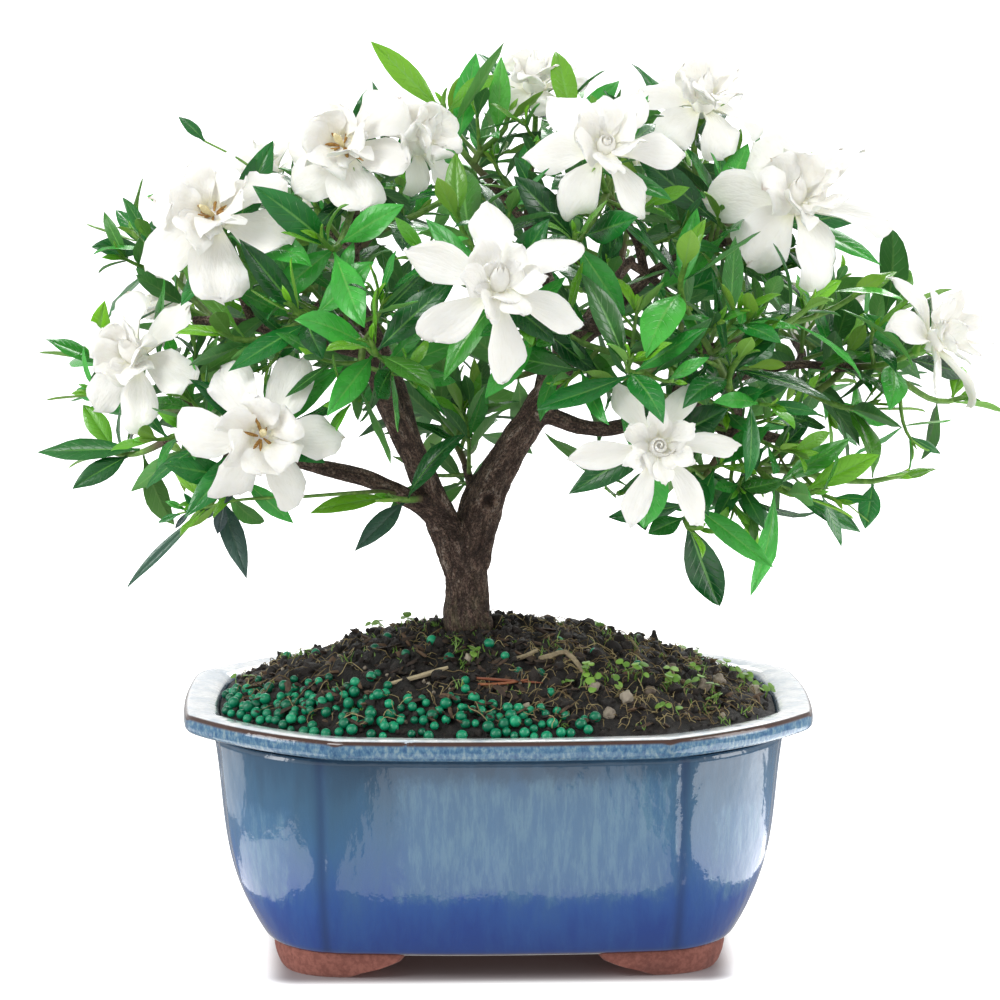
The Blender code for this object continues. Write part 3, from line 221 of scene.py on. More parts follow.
CROWN_HEART = Vector((0, 0, 150))
WOOD_STEP = 6  # spacing of the places on the wood where a twig may start
BARE_TRUNK = 50  # lengths of wood that bear none
BARE_LIMB = 8
STEM_RADIUS = 1.35
BARE_STEM = 7  # green stem below the leaves, without and with a side stem
BARE_FORKED_STEM = 13
NECK = 8  # from the heart of a bloom down to the foot of its calyx
FORK_SPACING = 4
FORK_CLEAR = 4.2  # how much of a side stem may touch the stem it leaves
FORK_HALF = 1.2  # half the length of stem that a fork or a leaf pair takes up
PAIR_HALF = 1.1
SWOLLEN = 1.1  # how much broader the stem is there
RING_SPACING = 17
TWIG_SIDES = 4
TWIG_TIP = 1.45
TWIG_SPACING = 16
LEAF_THICK = 1.3
PETAL_THICK = 1.3
PAIR_SPACING = 5.2
PAIR_SIDES = ((0, 2), (1, 3))  # the sides of a stem that one pair and the next one leave from
PETAL_TRIES = 12
STEM_TRIES = 60
START_TRIES = 6  # how many of them leave from the same place
LEAF_TRIES = 14
CLEARANCE = 0.25  # how clear of all else a blade has to be
SKIN = 0.1  # how far a kept blade is swollen for later tests
# Where each kind of blade's sections are, as shares of its length and width
STATIONS = {
    "leaf": ((0.40, 0.92), (0.74, 0.86)),
    "young": ((0.50, 1.0),),
    "outer": ((0.46, 1.0), (0.80, 0.78)),
    "inner": ((0.62, 1.0),),
}
SEED = 11

# Lines and lofts


def mixed(low, high, share):
    """Values a share of the way from low to high."""
    return tuple(a + (b - a) * share for a, b in zip(low, high))


def loft(rings):
    """Points and faces of a closed tube through rings, each anticlockwise seen from the last one."""
    count = len(rings[0])
    points = [p for ring in rings for p in ring]
    faces = []
    for low in range(0, len(points) - count, count):
        high = low + count
        for i in range(count):
            j = (i + 1) % count
            faces += [(low + i, low + j, high + j), (low + i, high + j, high + i)]
    faces.append(tuple(range(count))[::-1])
    faces.append(tuple(range(len(points) - count, len(points))))
    return points, faces


def bend_curve(start, start_way, end, end_way, steps, slack=0.36):
    """A smooth line from start to end that leaves along start_way and arrives along end_way."""
    reach = (end - start).length * slack
    a, b = start + start_way * reach, end - end_way * reach
    found = []
    for k in range(steps + 1):
        t = k / steps
        s = 1 - t
        found.append(start * s ** 3 + a * 3 * s * s * t + b * 3 * s * t * t + end * t ** 3)
    return found


def along(path, distance):
    """The point and the direction at a distance along a path."""
    for p, q in zip(path, path[1:]):
        step = (q - p).length
        if distance <= step or q is path[-1]:
            way = (q - p).normalized()
            return p + way * min(distance, step), way
        distance -= step
    return path[-1], (path[-1] - path[-2]).normalized()


def path_length(path):
    """The length of a line through its points."""
    return sum((q - p).length for p, q in zip(path, path[1:]))


def resampled(path, spacing):
    """Points along a path about spacing apart, with both its ends."""
    total = path_length(path)
    count = max(1, round(total / spacing))
    return [along(path, total * k / count)[0] for k in range(count)] + [path[-1]]


def part_of(path, start, end):
    """The stretch of a path between two distances."""
    found, done = [along(path, start)[0]], 0.0
    for p, q in zip(path, path[1:]):
        done += (q - p).length
        if start + 1 < done < end - 1:
            found.append(q)
    return found + [along(path, end)[0]]


def side_of(way, hint):
    """A direction square to way, as near as can be to hint."""
    side = hint - way * hint.dot(way)
    if side.length < 1e-4:
        side = way.orthogonal()
    return side.normalized()


def around(axis, across, angle):
    """The direction square to an axis that lies at an angle from across."""
    return across * math.cos(angle) + axis.cross(across) * math.sin(angle)


def jitter(rng):
    """A random push within a cube of half side 1."""
    return Vector([rng.uniform(-1, 1) for _ in range(3)])


def unit(rng):
    """A random direction."""
    return Vector((rng.gauss(0, 1), rng.gauss(0, 1), rng.gauss(0, 1))).normalized()


def tube(path, radii, sides):
    """Rings round a path, without a twist between them."""
    rings = []
    side = side_of((path[1] - path[0]).normalized(), Vector((1, 0.2, 0)))
    for k, (point, radius) in enumerate(zip(path, radii)):
        before, after = path[max(k - 1, 0)], path[min(k + 1, len(path) - 1)]
        way = (after - before).normalized()
        side = side_of(way, side)
        other = way.cross(side)
        ring = []
        for n in range(sides):
            angle = math.tau * n / sides
            ring.append(point + (side * math.cos(angle) + other * math.sin(angle)) * radius)
        rings.append(ring)
    return rings


# Blades and the room they need


def facing(azimuth, elevation):
    """A direction, from its turn from the front and its rise, in degrees."""
    a, e = math.radians(azimuth), math.radians(elevation)
    return Vector((math.sin(a) * math.cos(e), -math.cos(a) * math.cos(e), math.sin(e)))


def blade_frames(root, way, up, length, bend, stations):
    """Centre, direction and upward normal of a blade at each station, on a circular arc."""
    up = side_of(way, up)
    found = []
    for share in stations:
        turn = bend * share
        if abs(bend) < 1e-4:
            centre = root + way * length * share
        else:
            centre = root + (way * math.sin(turn) - up * (1 - math.cos(turn))) * (length / bend)
        heading = way * math.cos(turn) - up * math.sin(turn)
        found.append((centre, heading, up * math.cos(turn) + way * math.sin(turn)))
    return found


def blade_sections(blade, spread=0.0):
    """Four-cornered sections of a blade (bottom, right, top, left) and its tip."""
    stations = STATIONS[blade["kind"]]
    thick = LEAF_THICK if blade["kind"] in ("leaf", "young") else PETAL_THICK
    shares = [s for s, _ in stations] + [1.0]
    frames = blade_frames(blade["root"], blade["way"], blade["up"], blade["length"], blade["bend"], shares)
    sections = []
    for (centre, heading, up), (_, wide) in zip(frames, stations):
        side = up.cross(heading).normalized()
        up, side = (
            up * math.cos(blade["roll"]) + side * math.sin(blade["roll"]),
            side * math.cos(blade["roll"]) - up * math.sin(blade["roll"]),
        )
        half = blade["width"] * wide / 2 + spread
        lift = up * blade["fold"] * half
        sections.append([
            centre - up * (thick / 2 + spread),
            centre + side * half + lift,
            centre + up * (thick / 2 + spread),
            centre - side * half + lift,
        ])
    tip, heading, _ = frames[-1]
    return sections, tip + heading * spread


def best_shift(quad, section):
    """How far to turn a quad's corners so that it meets a section with the least twist."""
    return min(range(4), key=lambda turn: sum((quad[(i + turn) % 4] - section[i]).length for i in range(4)))


def blade_shape(blade, spread, inner=0.35):
    """A closed test mesh of a blade past its root, swollen by spread."""
    sections, tip = blade_sections(blade, spread)
    quad = blade["quad"]
    turn = best_shift(quad, sections[0])
    rings = [[quad[(i + turn) % 4].lerp(sections[0][i], inner) for i in range(4)]] + sections
    points = [p for ring in rings for p in ring] + [tip]
    faces = []
    for n in range(len(rings) - 1):
        for i in range(4):
            j = (i + 1) % 4
            a, b, c, d = n * 4 + i, n * 4 + j, n * 4 + 4 + j, n * 4 + 4 + i
            faces += [(a, b, d), (b, c, d)] if i % 2 == 0 else [(a, b, c), (a, c, d)]
    last = len(points) - 5
    faces += [(last + i, last + (i + 1) % 4, len(points) - 1) for i in range(4)]
    return Shape(points, faces)


class Shape:
    """A mesh kept for clearance tests, with a sphere round it."""

    def __init__(self, points, faces):
        self.tree = BVHTree.FromPolygons(points, faces)
        self.centre = sum(points, Vector()) / len(points)
        self.radius = max((p - self.centre).length for p in points)

    def meets(self, other):
        """True where the two surfaces cross."""
        if (self.centre - other.centre).length > self.radius + other.radius:
            return False
        return bool(self.tree.overlap(other.tree))


def tube_shape(path, radii, sides):
    """A closed test mesh of a tube."""
    points, faces = loft(tube(path, radii, sides))
    return Shape(points, faces)


class Garden:
    """Everything placed so far, by owner, so that later pieces keep clear of it."""

    def __init__(self):
        self.shapes = []

    def add(self, owner, shape):
        """Places a shape."""
        self.shapes.append((owner, shape))

    def is_clear(self, shape, skip=()):
        """True where a shape meets nothing, apart from what the owners in skip have placed."""
        return not any(owner not in skip and shape.meets(other) for owner, other in self.shapes)


# How the plant grows


def wood_points():
    """Sample points of the listed wood, as (point, direction, radius)."""
    found = []
    for name, (_, line) in WOOD.items():
        path = [Vector(p[:3]) for p in line]
        total, done = path_length(path), 0.0
        start = BARE_TRUNK if name == "trunk" else BARE_LIMB
        while done < total:
            point, way = along(path, done)
            if done > start:
                share = done / total
                found.append((point, way, line[0][3] + (line[-1][3] - line[0][3]) * share))
            done += WOOD_STEP
    return found


def bloom_facts(name):
    """A bloom's row, with its heart as a vector."""
    heart, *rest = BLOOMS[name]
    return Vector(heart), *rest


# Height, radius and turn of each ring up a bloom's heart
BLOOM_STAGES = ((-8, 1.6, 0), (-3.4, 3.2, 0), (0.2, 4.4, 0), (1.6, 4.2, 30), (4.8, 3.8, 30))


def bloom_rings(name):
    """Six-cornered rings up the heart of a bloom, from the calyx to the furled middle."""
    heart, turned, _, first, *_ = bloom_facts(name)
    axis = facing(*turned)
    across = side_of(axis, UP)
    rings = []
    for height, radius, turn in BLOOM_STAGES:
        ring = []
        for k in range(6):
            out = around(axis, across, math.radians(first - 30 + turn + 60 * k))
            ring.append(heart + axis * height + out * radius)
        rings.append(ring)
    return rings


def bloom_blades(name, rng):
    """The petals of a bloom: a spread outer whorl and a cupped inner one, each lapping over the next."""
    _, turned, reach, first, opening, breadth = bloom_facts(name)
    axis = facing(*turned)
    across = side_of(axis, UP)
    rings = bloom_rings(name)
    whorls = (  # kind, stage it grows from, first turn, opening, length, breadth, bend, roll
        ("outer", 1, first, opening, reach, breadth, 0.5, 0.30),
        ("inner", 3, first + 30, opening * 0.5, reach * 0.62, breadth * 0.8, -0.25, 0.5),
    )
    found = []
    for whorl, stage, turn, spread, length, wide, bend, roll in whorls:
        for k in range(6):
            out = around(axis, across, math.radians(turn + 60 * k))
            tilt = math.radians(spread + rng.uniform(-7, 7))
            low, high = rings[stage], rings[stage + 1]
            quad = [low[k], low[(k + 1) % 6], high[(k + 1) % 6], high[k]]
            found.append({
                "kind": whorl, "quad": quad, "root": sum(quad, Vector()) / 4,
                "way": axis * math.cos(tilt) + out * math.sin(tilt), "up": axis,
                "length": (length - 3) * rng.uniform(0.9, 1.06),
                "width": reach * wide * rng.uniform(0.92, 1.08),
                "bend": bend * rng.uniform(0.6, 1.3), "roll": roll,
                "fold": 0.25 if whorl == "inner" else rng.uniform(0.0, 0.15),
            })
    return found


def grow():
    """Every stem, leaf and petal, placed in one seeded order so that no two nodes cross."""
    rng = random.Random(SEED)
    garden = Garden()
    for sides, line in WOOD.values():
        garden.add("wood", tube_shape([Vector(p[:3]) for p in line], [p[3] + GAP for p in line], sides))
    for name in BLOOMS:
        garden.add(name + "_core", Shape(*loft(bloom_rings(name))))
    blooms = {name: grow_petals(garden, rng, name) for name in BLOOMS}
    sprays, twigs = grow_stems(garden, rng)
    for name, stems in sprays.items():
        for stem in stems:
            grow_leaves(garden, rng, name, stem)
    return garden, blooms, sprays, twigs


def grow_petals(garden, rng, name):
    """A bloom's petals, each closed and shrunk until it is clear of the ones before it."""
    kept = []
    for blade in bloom_blades(name, rng):
        for _ in range(PETAL_TRIES):
            if garden.is_clear(blade_shape(blade, CLEARANCE), (name + "_core", name + "_roots")):
                garden.add(name, blade_shape(blade, SKIN))
                garden.add(name + "_roots", blade_shape(blade, SKIN, 0.02))
                kept.append(blade)
                break
            blade["way"] = (blade["way"] + blade["up"] * rng.uniform(-0.08, 0.22)).normalized()
            blade["length"] *= 0.97
            blade["width"] *= 0.95
    return kept


def tip_of(tip):
    """Where a stem ends and which way it points there."""
    if isinstance(tip, str):
        heart, turned, *_ = bloom_facts(tip)
        axis = facing(*turned)
        return heart - axis * (NECK + GAP + 0.3), axis
    point = Vector(tip)
    out = point - CROWN_HEART
    out.z *= 0.9
    return point, (out.normalized() + UP * 0.35).normalized()


def grow_stems(garden, rng):
    """A brown twig from the wood to each spray, and the spray's green stem with its side stems."""
    wood = wood_points()
    sprays, twigs = {}, []

    def nearness(name):
        end = tip_of(SPRAYS[name][0][0])[0]
        return min((end - sample[0]).length for sample in wood)

    for name in sorted(SPRAYS, key=nearness):
        (main_tip, pairs), *side_tips = SPRAYS[name]
        blooming = isinstance(main_tip, str)
        bare = BARE_FORKED_STEM if side_tips else BARE_STEM
        found = main_stem(garden, rng, wood, main_tip, leaf_zone(pairs, blooming) + bare)
        if not found:
            continue
        green_path, brown_path, radii, brown_shape = found
        twigs.append((brown_path, radii))
        garden.add("wood", brown_shape)
        for k in range(1, len(brown_path) - 1):
            wood.append((brown_path[k], (brown_path[k] - brown_path[k - 1]).normalized(), radii[k]))
        main = {"path": green_path, "pairs": pairs, "bloom": blooming, "sides": [], "owner": name + "_stem"}
        garden.add(main["owner"], tube_shape(green_path, [STEM_RADIUS + 0.2] * len(green_path), 4))
        for tip, side_pairs in side_tips:
            side = side_stem(garden, rng, name, main, Vector(tip), side_pairs)
            if side:
                main["sides"].append(side)
        sprays[name] = [main, *main["sides"]]
    return sprays, twigs


def main_stem(garden, rng, wood, main_tip, green):
    """A way from the wood to a tip: its green and brown paths, the twig's radii and its test shape."""
    blooming = isinstance(main_tip, str)
    end, end_way = tip_of(main_tip)

    def cost(sample):
        gap = end - sample[0]
        back = max(0.0, -gap.normalized().dot(sample[1]))
        return gap.length + 60 * (gap.length < green + sample[2] + 5) + 25 * back

    starts = sorted(wood, key=cost)[:STEM_TRIES // START_TRIES]
    for attempt in range(STEM_TRIES):
        start, start_way, start_radius = starts[attempt // START_TRIES]
        loose = 0.08 * (attempt % START_TRIES)
        wobble = jitter(rng) * loose
        towards = (end - start).normalized()
        leave = (towards + start_way * 0.4 + wobble).normalized()
        arrive = end_way if blooming else (end_way + jitter(rng) * loose).normalized()
        path = bend_curve(start, leave, end, arrive, 12)
        total = path_length(path)
        brown = max(total - green, start_radius + 2.5)
        if total - brown < green - 6:
            continue
        green_path = part_of(path, brown + GAP, total)
        brown_path = resampled(part_of(path, 0, brown), TWIG_SPACING)
        base = max(1.5, min(2.4, start_radius * 0.6))
        radii = [base + (TWIG_TIP - base) * k / (len(brown_path) - 1) for k in range(len(brown_path))]
        green_shape = tube_shape(green_path, [STEM_RADIUS + 0.4] * len(green_path), 4)
        brown_shape = tube_shape(brown_path, [r + 0.3 for r in radii], TWIG_SIDES)
        clear = garden.is_clear(green_shape, (str(main_tip) + "_core",))
        if clear and garden.is_clear(brown_shape, ("wood",)):
            return green_path, brown_path, radii, brown_shape
    return None


def side_stem(garden, rng, name, main, tip, pairs):
    """A stem that leaves another's side, or None where it can't keep clear."""
    total = path_length(main["path"])
    highest = total - leaf_zone(main["pairs"], main["bloom"]) - 2
    _, end_way = tip_of(tip)
    taken = leaf_spots(main) + [stem["at"] for stem in main["sides"]]
    for attempt in range(STEM_TRIES):
        at = rng.uniform(3.0, max(3.5, highest))
        if any(abs(at - other) < FORK_SPACING for other in taken):
            continue
        start, way = along(main["path"], at)
        towards = (tip - start).normalized()
        wobble = jitter(rng) * 0.03 * attempt
        leave = (side_of(way, towards) + way * 0.5 + wobble).normalized()
        path = bend_curve(start, leave, tip, (end_way + wobble).normalized(), 6)
        clear_path = part_of(path, FORK_CLEAR, path_length(path))
        shape = tube_shape(clear_path, [STEM_RADIUS + 0.4] * len(clear_path), 4)
        root_shape = tube_shape(path, [STEM_RADIUS + 0.3] * len(path), 4)
        if garden.is_clear(shape) and garden.is_clear(root_shape, (main["owner"],)):
            owner = name + "_stem" + str(len(main["sides"]) + 1)
            garden.add(owner, root_shape)
            return {"path": path, "pairs": pairs, "bloom": False, "at": at, "sides": [], "owner": owner}
    return None


def leaf_zone(pairs, bloom):
    """The length at the end of a stem that its leaf pairs take up."""
    return (3.0 if bloom else 1.6) + PAIR_SPACING * pairs


def leaf_spots(stem):
    """Distances along a stem of its leaf pairs, from the lowest to the youngest."""
    total = path_length(stem["path"])
    first = 3.2 if stem["bloom"] else 2.0
    spots = [total - first - PAIR_SPACING * k for k in range(stem["pairs"])]
    return [s for s in reversed(spots) if s > 5]


def grow_leaves(garden, rng, name, stem):
    """Opposite pairs, each a quarter turn from the next, swung clear of what is there or left out."""
    spots = leaf_spots(stem)
    stem["spots"] = spots
    stem["leaves"] = []
    rings, stations = stem_rings(stem)
    aimed = aim_leaves(name, stem, rings, stations)
    own = stem["owner"]
    for n, spot in enumerate(spots):
        age = len(spots) - 1 - n
        young = age == 0 and not stem["bloom"] and len(spots) > 1
        for side in PAIR_SIDES[n % 2]:
            quad, out = leaf_quad(rings, stations, n, side)
            root = sum(quad, Vector()) / 4
            way = along(stem["path"], spot)[1]
            spread = rng.uniform(20, 36) if young else rng.uniform(42, 70)
            length = rng.uniform(16, 22) if young else rng.uniform(25, 36)
            width = length * rng.uniform(0.27, 0.37)
            bend = rng.uniform(-0.25, 0.75)
            target = aimed.get((n, side))
            if target:
                length = (target - root).length
                width = max(7.5, length * 0.27)
                bend = 0.15
            for attempt in range(LEAF_TRIES):
                lean = math.radians(max(12, spread + rng.uniform(-1, 1) * 5 * attempt))
                swing = rng.uniform(-1, 1) * 0.08 * attempt
                across = way.cross(out)
                heading = way * math.cos(lean) + out * math.sin(lean) + across * swing + UP * 0.12
                if target:
                    heading = (target - root).normalized() + across * swing * 0.4
                heading = heading.normalized()
                heading = (heading + out * max(0.0, LEAST_LEAN - heading.dot(out))).normalized()
                blade = {
                    "root": root, "way": heading, "up": way + UP * 0.6, "length": length, "width": width,
                    "bend": bend, "fold": 0.22, "roll": 0.0, "quad": quad,
                    "kind": "young" if young or root.y > BACK else "leaf",
                }
                clear = garden.is_clear(blade_shape(blade, CLEARANCE))
                clear = clear and garden.is_clear(blade_shape(blade, CLEARANCE, 0.03), (own, name + "_root"))
                if clear and garden.is_clear(blade_shape(blade, SKIN, 0.15), (own,)):
                    garden.add(name, blade_shape(blade, SKIN))
                    garden.add(name + "_root", blade_shape(blade, SKIN, 0.1))
                    stem["leaves"].append(blade)
                    break
                length *= 0.97


def leaf_quad(rings, stations, n, side):
    """The four corners on the stem's skin that a leaf is drawn out of, and the way they face."""
    low, high = rings[stations.index(("leaf", n, 0))], rings[stations.index(("leaf", n, 1))]
    quad = [low[side], low[(side + 1) % 4], high[(side + 1) % 4], high[side]]
    return quad, (quad[1] - quad[0]).cross(quad[3] - quad[0]).normalized()


def aim_leaves(name, stem, rings, stations):
    """Which of a stem's leaves reaches for which of its spray's places: {(pair, side): place}."""
    chosen = {}
    for place in AIMED.get(name, ()):
        target = Vector(place)
        best, best_score = None, 0.25
        for n in range(len(stem["spots"])):
            for side in PAIR_SIDES[n % 2]:
                quad, out = leaf_quad(rings, stations, n, side)
                gap = target - sum(quad, Vector()) / 4
                if (n, side) in chosen or not AIM_NEAREST < gap.length < AIM_FARTHEST:
                    continue
                way = along(stem["path"], stem["spots"][n])[1]
                score = gap.normalized().dot((out + way * 0.8).normalized())
                if score > best_score:
                    best, best_score = (n, side), score
        if best:
            chosen[best] = target
    return chosen


def stem_rings(stem):
    """Square rings along a stem, two close together at each leaf pair, with a name for each."""
    path = stem["path"]
    total = path_length(path)
    marks = [(0.0, ("base",))]
    spots = stem.get("spots") or leaf_spots(stem)
    for at in [side["at"] for side in stem["sides"]]:
        marks += [(at - FORK_HALF, ("fork", at, 0)), (at + FORK_HALF, ("fork", at, 1))]
    for n, spot in enumerate(spots):
        marks += [(spot - PAIR_HALF, ("leaf", n, 0)), (spot + PAIR_HALF, ("leaf", n, 1))]
    marks.append((total, ("tip",)))
    marks.sort(key=lambda mark: mark[0])
    filled = []
    for (a, label), (b, _) in zip(marks, marks[1:]):
        filled.append((a, label))
        pieces = int((b - a) / RING_SPACING)
        filled += [(a + (b - a) * k / (pieces + 1), ("mid", a, k)) for k in range(1, pieces + 1)]
    filled.append(marks[-1])
    centres = [along(path, max(0.0, at))[0] for at, _ in filled]
    radii = [STEM_RADIUS * (SWOLLEN if label[0] in ("leaf", "fork") else 1.0) for _, label in filled]
    rings = tube(centres, radii, 4)
    return rings, [label for _, label in filled]


# Pieces

POT_LOW, POT_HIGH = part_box("pot")
SHIFT = np.array((*((POT_LOW + POT_HIGH) / 2).xy, POT_LOW.z))


def new_object(name, points, faces):
    """An object in the scene with a mesh of points in metres."""
    mesh = bpy.data.meshes.new(name)
    mesh.from_pydata(points, [], faces)
    made = bpy.data.objects.new(name, mesh)
    bpy.context.scene.collection.objects.link(made)
    return made


def modified_mesh(body):
    """An object's points in millimetres, its normals and its faces, after its modifiers."""
    bpy.context.view_layer.update()
    graph = bpy.context.evaluated_depsgraph_get()
    mesh = bpy.data.meshes.new_from_object(body.evaluated_get(graph))
    places, normals = (np.zeros(len(mesh.vertices) * 3, np.float32) for _ in range(2))
    mesh.vertices.foreach_get("co", places)
    mesh.vertices.foreach_get("normal", normals)
    faces = [tuple(face.vertices) for face in mesh.polygons]
    return places.reshape(-1, 3) / MM, normals.reshape(-1, 3), faces


class Model:
    """Closed shapes gathered into one piece, with three form values and a kind at each point."""

    def __init__(self):
        self.points = []
        self.values = []
        self.faces = []
        self.slots = []
        self.count = 0

    def add(self, points, faces, slot=0, values=(0, 0, 0, 0)):
        """A shape in millimetres. Its slot is one material for all faces, or a list with one for each."""
        points = np.array([tuple(p) for p in points], float)
        self.points.append(points)
        self.values.append(np.broadcast_to(np.array(values, float), (len(points), 4)))
        self.faces += [tuple(k + self.count for k in face) for face in faces]
        self.slots += slot if isinstance(slot, list) else [slot] * len(faces)
        self.count += len(points)

    def add_sheet(self, grid, thick, slots, across, tint=0.0, kind=0.0):
        """A thin blade: its points know how far along and across it they are, and share a tint and a kind."""
        rows, columns = grid.shape[:2]
        faces, sides = sheet_faces(rows, columns)
        u, v = np.meshgrid(np.linspace(0, 1, rows), across, indexing="ij")
        whole = np.stack((u, v, np.full_like(u, tint), np.full_like(u, kind)), axis=2)
        values = np.concatenate((whole.reshape(-1, 4), whole[1:-1, 1:-1].reshape(-1, 4)))
        self.add(sheet_points(grid, thick), faces, [slots[side] for side in sides], values)

    def add_folded(self, blade, half, across, thick, slot, tint=0.0):
        """A small thin blade with the given half widths along it, folded up along its middle."""
        centre, heading, normal = spine(blade, np.linspace(0, 1, len(half)))
        side = np.cross(normal, heading)
        lift = half[:, None] * blade["fold"] * np.abs(across)
        self.add_sheet(surface(centre, side, normal, half, across, lift), thick, (slot, slot), across, tint)

    def add_tube(self, path, radii, sides, slot=0, tint=0.0):
        """A closed tube: its points know how far along it they are, and share a tint."""
        rings = tube(path, radii, sides)
        shares = np.repeat(np.linspace(0, 1, len(rings)), sides)
        values = np.stack((shares, 0 * shares, 0 * shares + tint, 0 * shares), axis=1)
        self.add(*loft(rings), slot, values)

    def build(self, name, slot, finishes, *nodes, sharp=60):
        """Makes the piece, which rides on the root body and stands for the named solids."""
        points = np.concatenate(self.points) * MM + SHIFT
        piece = new_object(name, points.tolist(), self.faces)
        mesh = piece.data
        for finish in finishes:
            mesh.materials.append(finish)
        mesh.polygons.foreach_set("material_index", self.slots)
        values = np.concatenate(self.values)
        form = mesh.attributes.new("form", "FLOAT_VECTOR", "POINT")
        form.data.foreach_set("vector", values[:, :3].astype(np.float32).ravel())
        kind = mesh.attributes.new("kind", "FLOAT", "POINT")
        kind.data.foreach_set("value", values[:, 3].astype(np.float32))
        mesh.shade_smooth()
        mesh.set_sharp_from_angle(angle=math.radians(sharp))
        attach(piece, "root")
        if nodes:
            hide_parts(*nodes)


@lru_cache(maxsize=None)
def sheet_faces(rows, columns):
    """Faces of a thin blade whose two skins meet along its border, and the side that each one is on."""
    upper = np.arange(rows * columns).reshape(rows, columns)
    lower = upper.copy()
    inner = (rows - 2) * (columns - 2)
    lower[1:-1, 1:-1] = rows * columns + np.arange(inner).reshape(rows - 2, columns - 2)
    cells = [(i, j) for i in range(rows - 1) for j in range(columns - 1)]
    faces = [(upper[i, j], upper[i + 1, j], upper[i + 1, j + 1], upper[i, j + 1]) for i, j in cells]
    faces += [(lower[i, j], lower[i, j + 1], lower[i + 1, j + 1], lower[i + 1, j]) for i, j in cells]
    return [tuple(int(k) for k in face) for face in faces], [0] * len(cells) + [1] * len(cells)


def sheet_points(grid, thick):
    normal = np.cross(np.gradient(grid, axis=0), np.gradient(grid, axis=1))
    normal /= np.linalg.norm(normal, axis=2, keepdims=True) + 1e-9
    lift = (normal * thick / 2)[1:-1, 1:-1]
    top = grid.copy()
    top[1:-1, 1:-1] += lift
    return np.concatenate((top.reshape(-1, 3), (grid[1:-1, 1:-1] - lift).reshape(-1, 3)))


def smooth(share):
    share = np.clip(share, 0, 1)
    return share * share * (3 - 2 * share)


# Materials


class Paint:
    """A material, or the world, and short calls that build its nodes."""

    def __init__(self, name, blocks=None, shader="Principled BSDF"):
        self.block = (bpy.data.materials if blocks is None else blocks).new(name)
        self.block.use_nodes = True
        self.tree = self.block.node_tree
        self.shader = self.tree.nodes[shader]

    def node(self, kind, sockets=(), **settings):
        """A new node with these settings, its sockets fed."""
        made = self.tree.nodes.new(kind)
        for name, value in settings.items():
            setattr(made, name, value)
        for socket, value in dict(sockets).items():
            self.feed(made.inputs[socket], value)
        return made

    def feed(self, socket, value):
        """Links a socket to another, or sets its value."""
        if isinstance(value, bpy.types.NodeSocket):
            self.tree.links.new(value, socket)
        elif socket.type == "RGBA":
            socket.default_value = (*value, 1)
        else:
            socket.default_value = value

    def form_vector(self):
        """The three form values in one socket."""
        return self.node("ShaderNodeAttribute", attribute_name="form").outputs["Vector"]

    def form(self):
        """The three form values, each as a socket."""
        return self.parts(self.form_vector())

    def kind(self):
        """The kind at each point."""
        return self.node("ShaderNodeAttribute", attribute_name="kind").outputs["Fac"]

    def parts(self, vector):
        """A vector's three values, each as a socket."""
        return self.node("ShaderNodeSeparateXYZ", {0: vector}).outputs[:]

    def stretched(self, vector, stretch):
        return self.node("ShaderNodeVectorMath", {0: vector, 1: stretch}, operation="MULTIPLY").outputs[0]

    def place(self, x=1.0, y=1.0, z=1.0):
        """The point on the object in metres, stretched."""
        return self.stretched(self.node("ShaderNodeTexCoord").outputs["Object"], (x, y, z))

    def joined(self, x, y, z):
        return self.node("ShaderNodeCombineXYZ", {0: x, 1: y, 2: z}).outputs[0]

    def maths(self, operation, *values):
        return self.node("ShaderNodeMath", dict(enumerate(values)), operation=operation).outputs[0]

    def plus(self, a, b):
        return self.maths("ADD", a, b)

    def minus(self, a, b):
        return self.maths("SUBTRACT", a, b)

    def times(self, a, b):
        return self.maths("MULTIPLY", a, b)

    def swayed(self, value, wave, amount):
        """A value pushed up and down by a noise."""
        return self.plus(value, self.times(self.minus(wave, 0.5), amount))

    def span(self, value, low, high, to_low=0.0, to_high=1.0):
        """Eases from to_low to to_high as a value goes from low to high."""
        sockets = {0: value, 1: low, 2: high, 3: to_low, 4: to_high}
        return self.node("ShaderNodeMapRange", sockets, interpolation_type="SMOOTHSTEP").outputs[0]

    def mix(self, share, low, high):
        """A colour that share of the way from low to high."""
        return self.node("ShaderNodeMix", {0: share, 6: low, 7: high}, data_type="RGBA").outputs[2]

    def noise(self, where, scale, detail=3.0, rough=0.55, twist=0.0):
        sockets = {"Vector": where, "Scale": scale, "Detail": detail, "Roughness": rough, "Distortion": twist}
        return self.node("ShaderNodeTexNoise", sockets).outputs[0]

    def grain(self, scale, detail=3.0, rough=0.55):
        """An even noise through the object."""
        return self.noise(self.place(), scale, detail, rough)

    def cells(self, where, scale):
        """How far the nearest of many scattered points is."""
        return self.node("ShaderNodeTexVoronoi", {"Vector": where, "Scale": scale}).outputs[0]

    def ramp(self, value, *stops):
        """A colour for each value from 0 to 1, by stops of a value and its colour."""
        made = self.node("ShaderNodeValToRGB", {0: value})
        marks = made.color_ramp.elements
        while len(marks) < len(stops):
            marks.new(0.5)
        for mark, (at, colour) in zip(marks, stops):
            mark.position = at
            mark.color = (*colour, 1)
        return made.outputs[0]

    def bump(self, height, distance, under=None):
        """A normal that height bends, over the normal under it."""
        sockets = {"Height": height, "Distance": distance}
        if under:
            sockets["Normal"] = under
        return self.node("ShaderNodeBump", sockets).outputs[0]

    def finish(self, **sockets):
        """Feeds the shader's sockets and gives the material."""
        for name, value in sockets.items():
            self.feed(self.shader.inputs[name.replace("_", " ")], value)
        return self.block
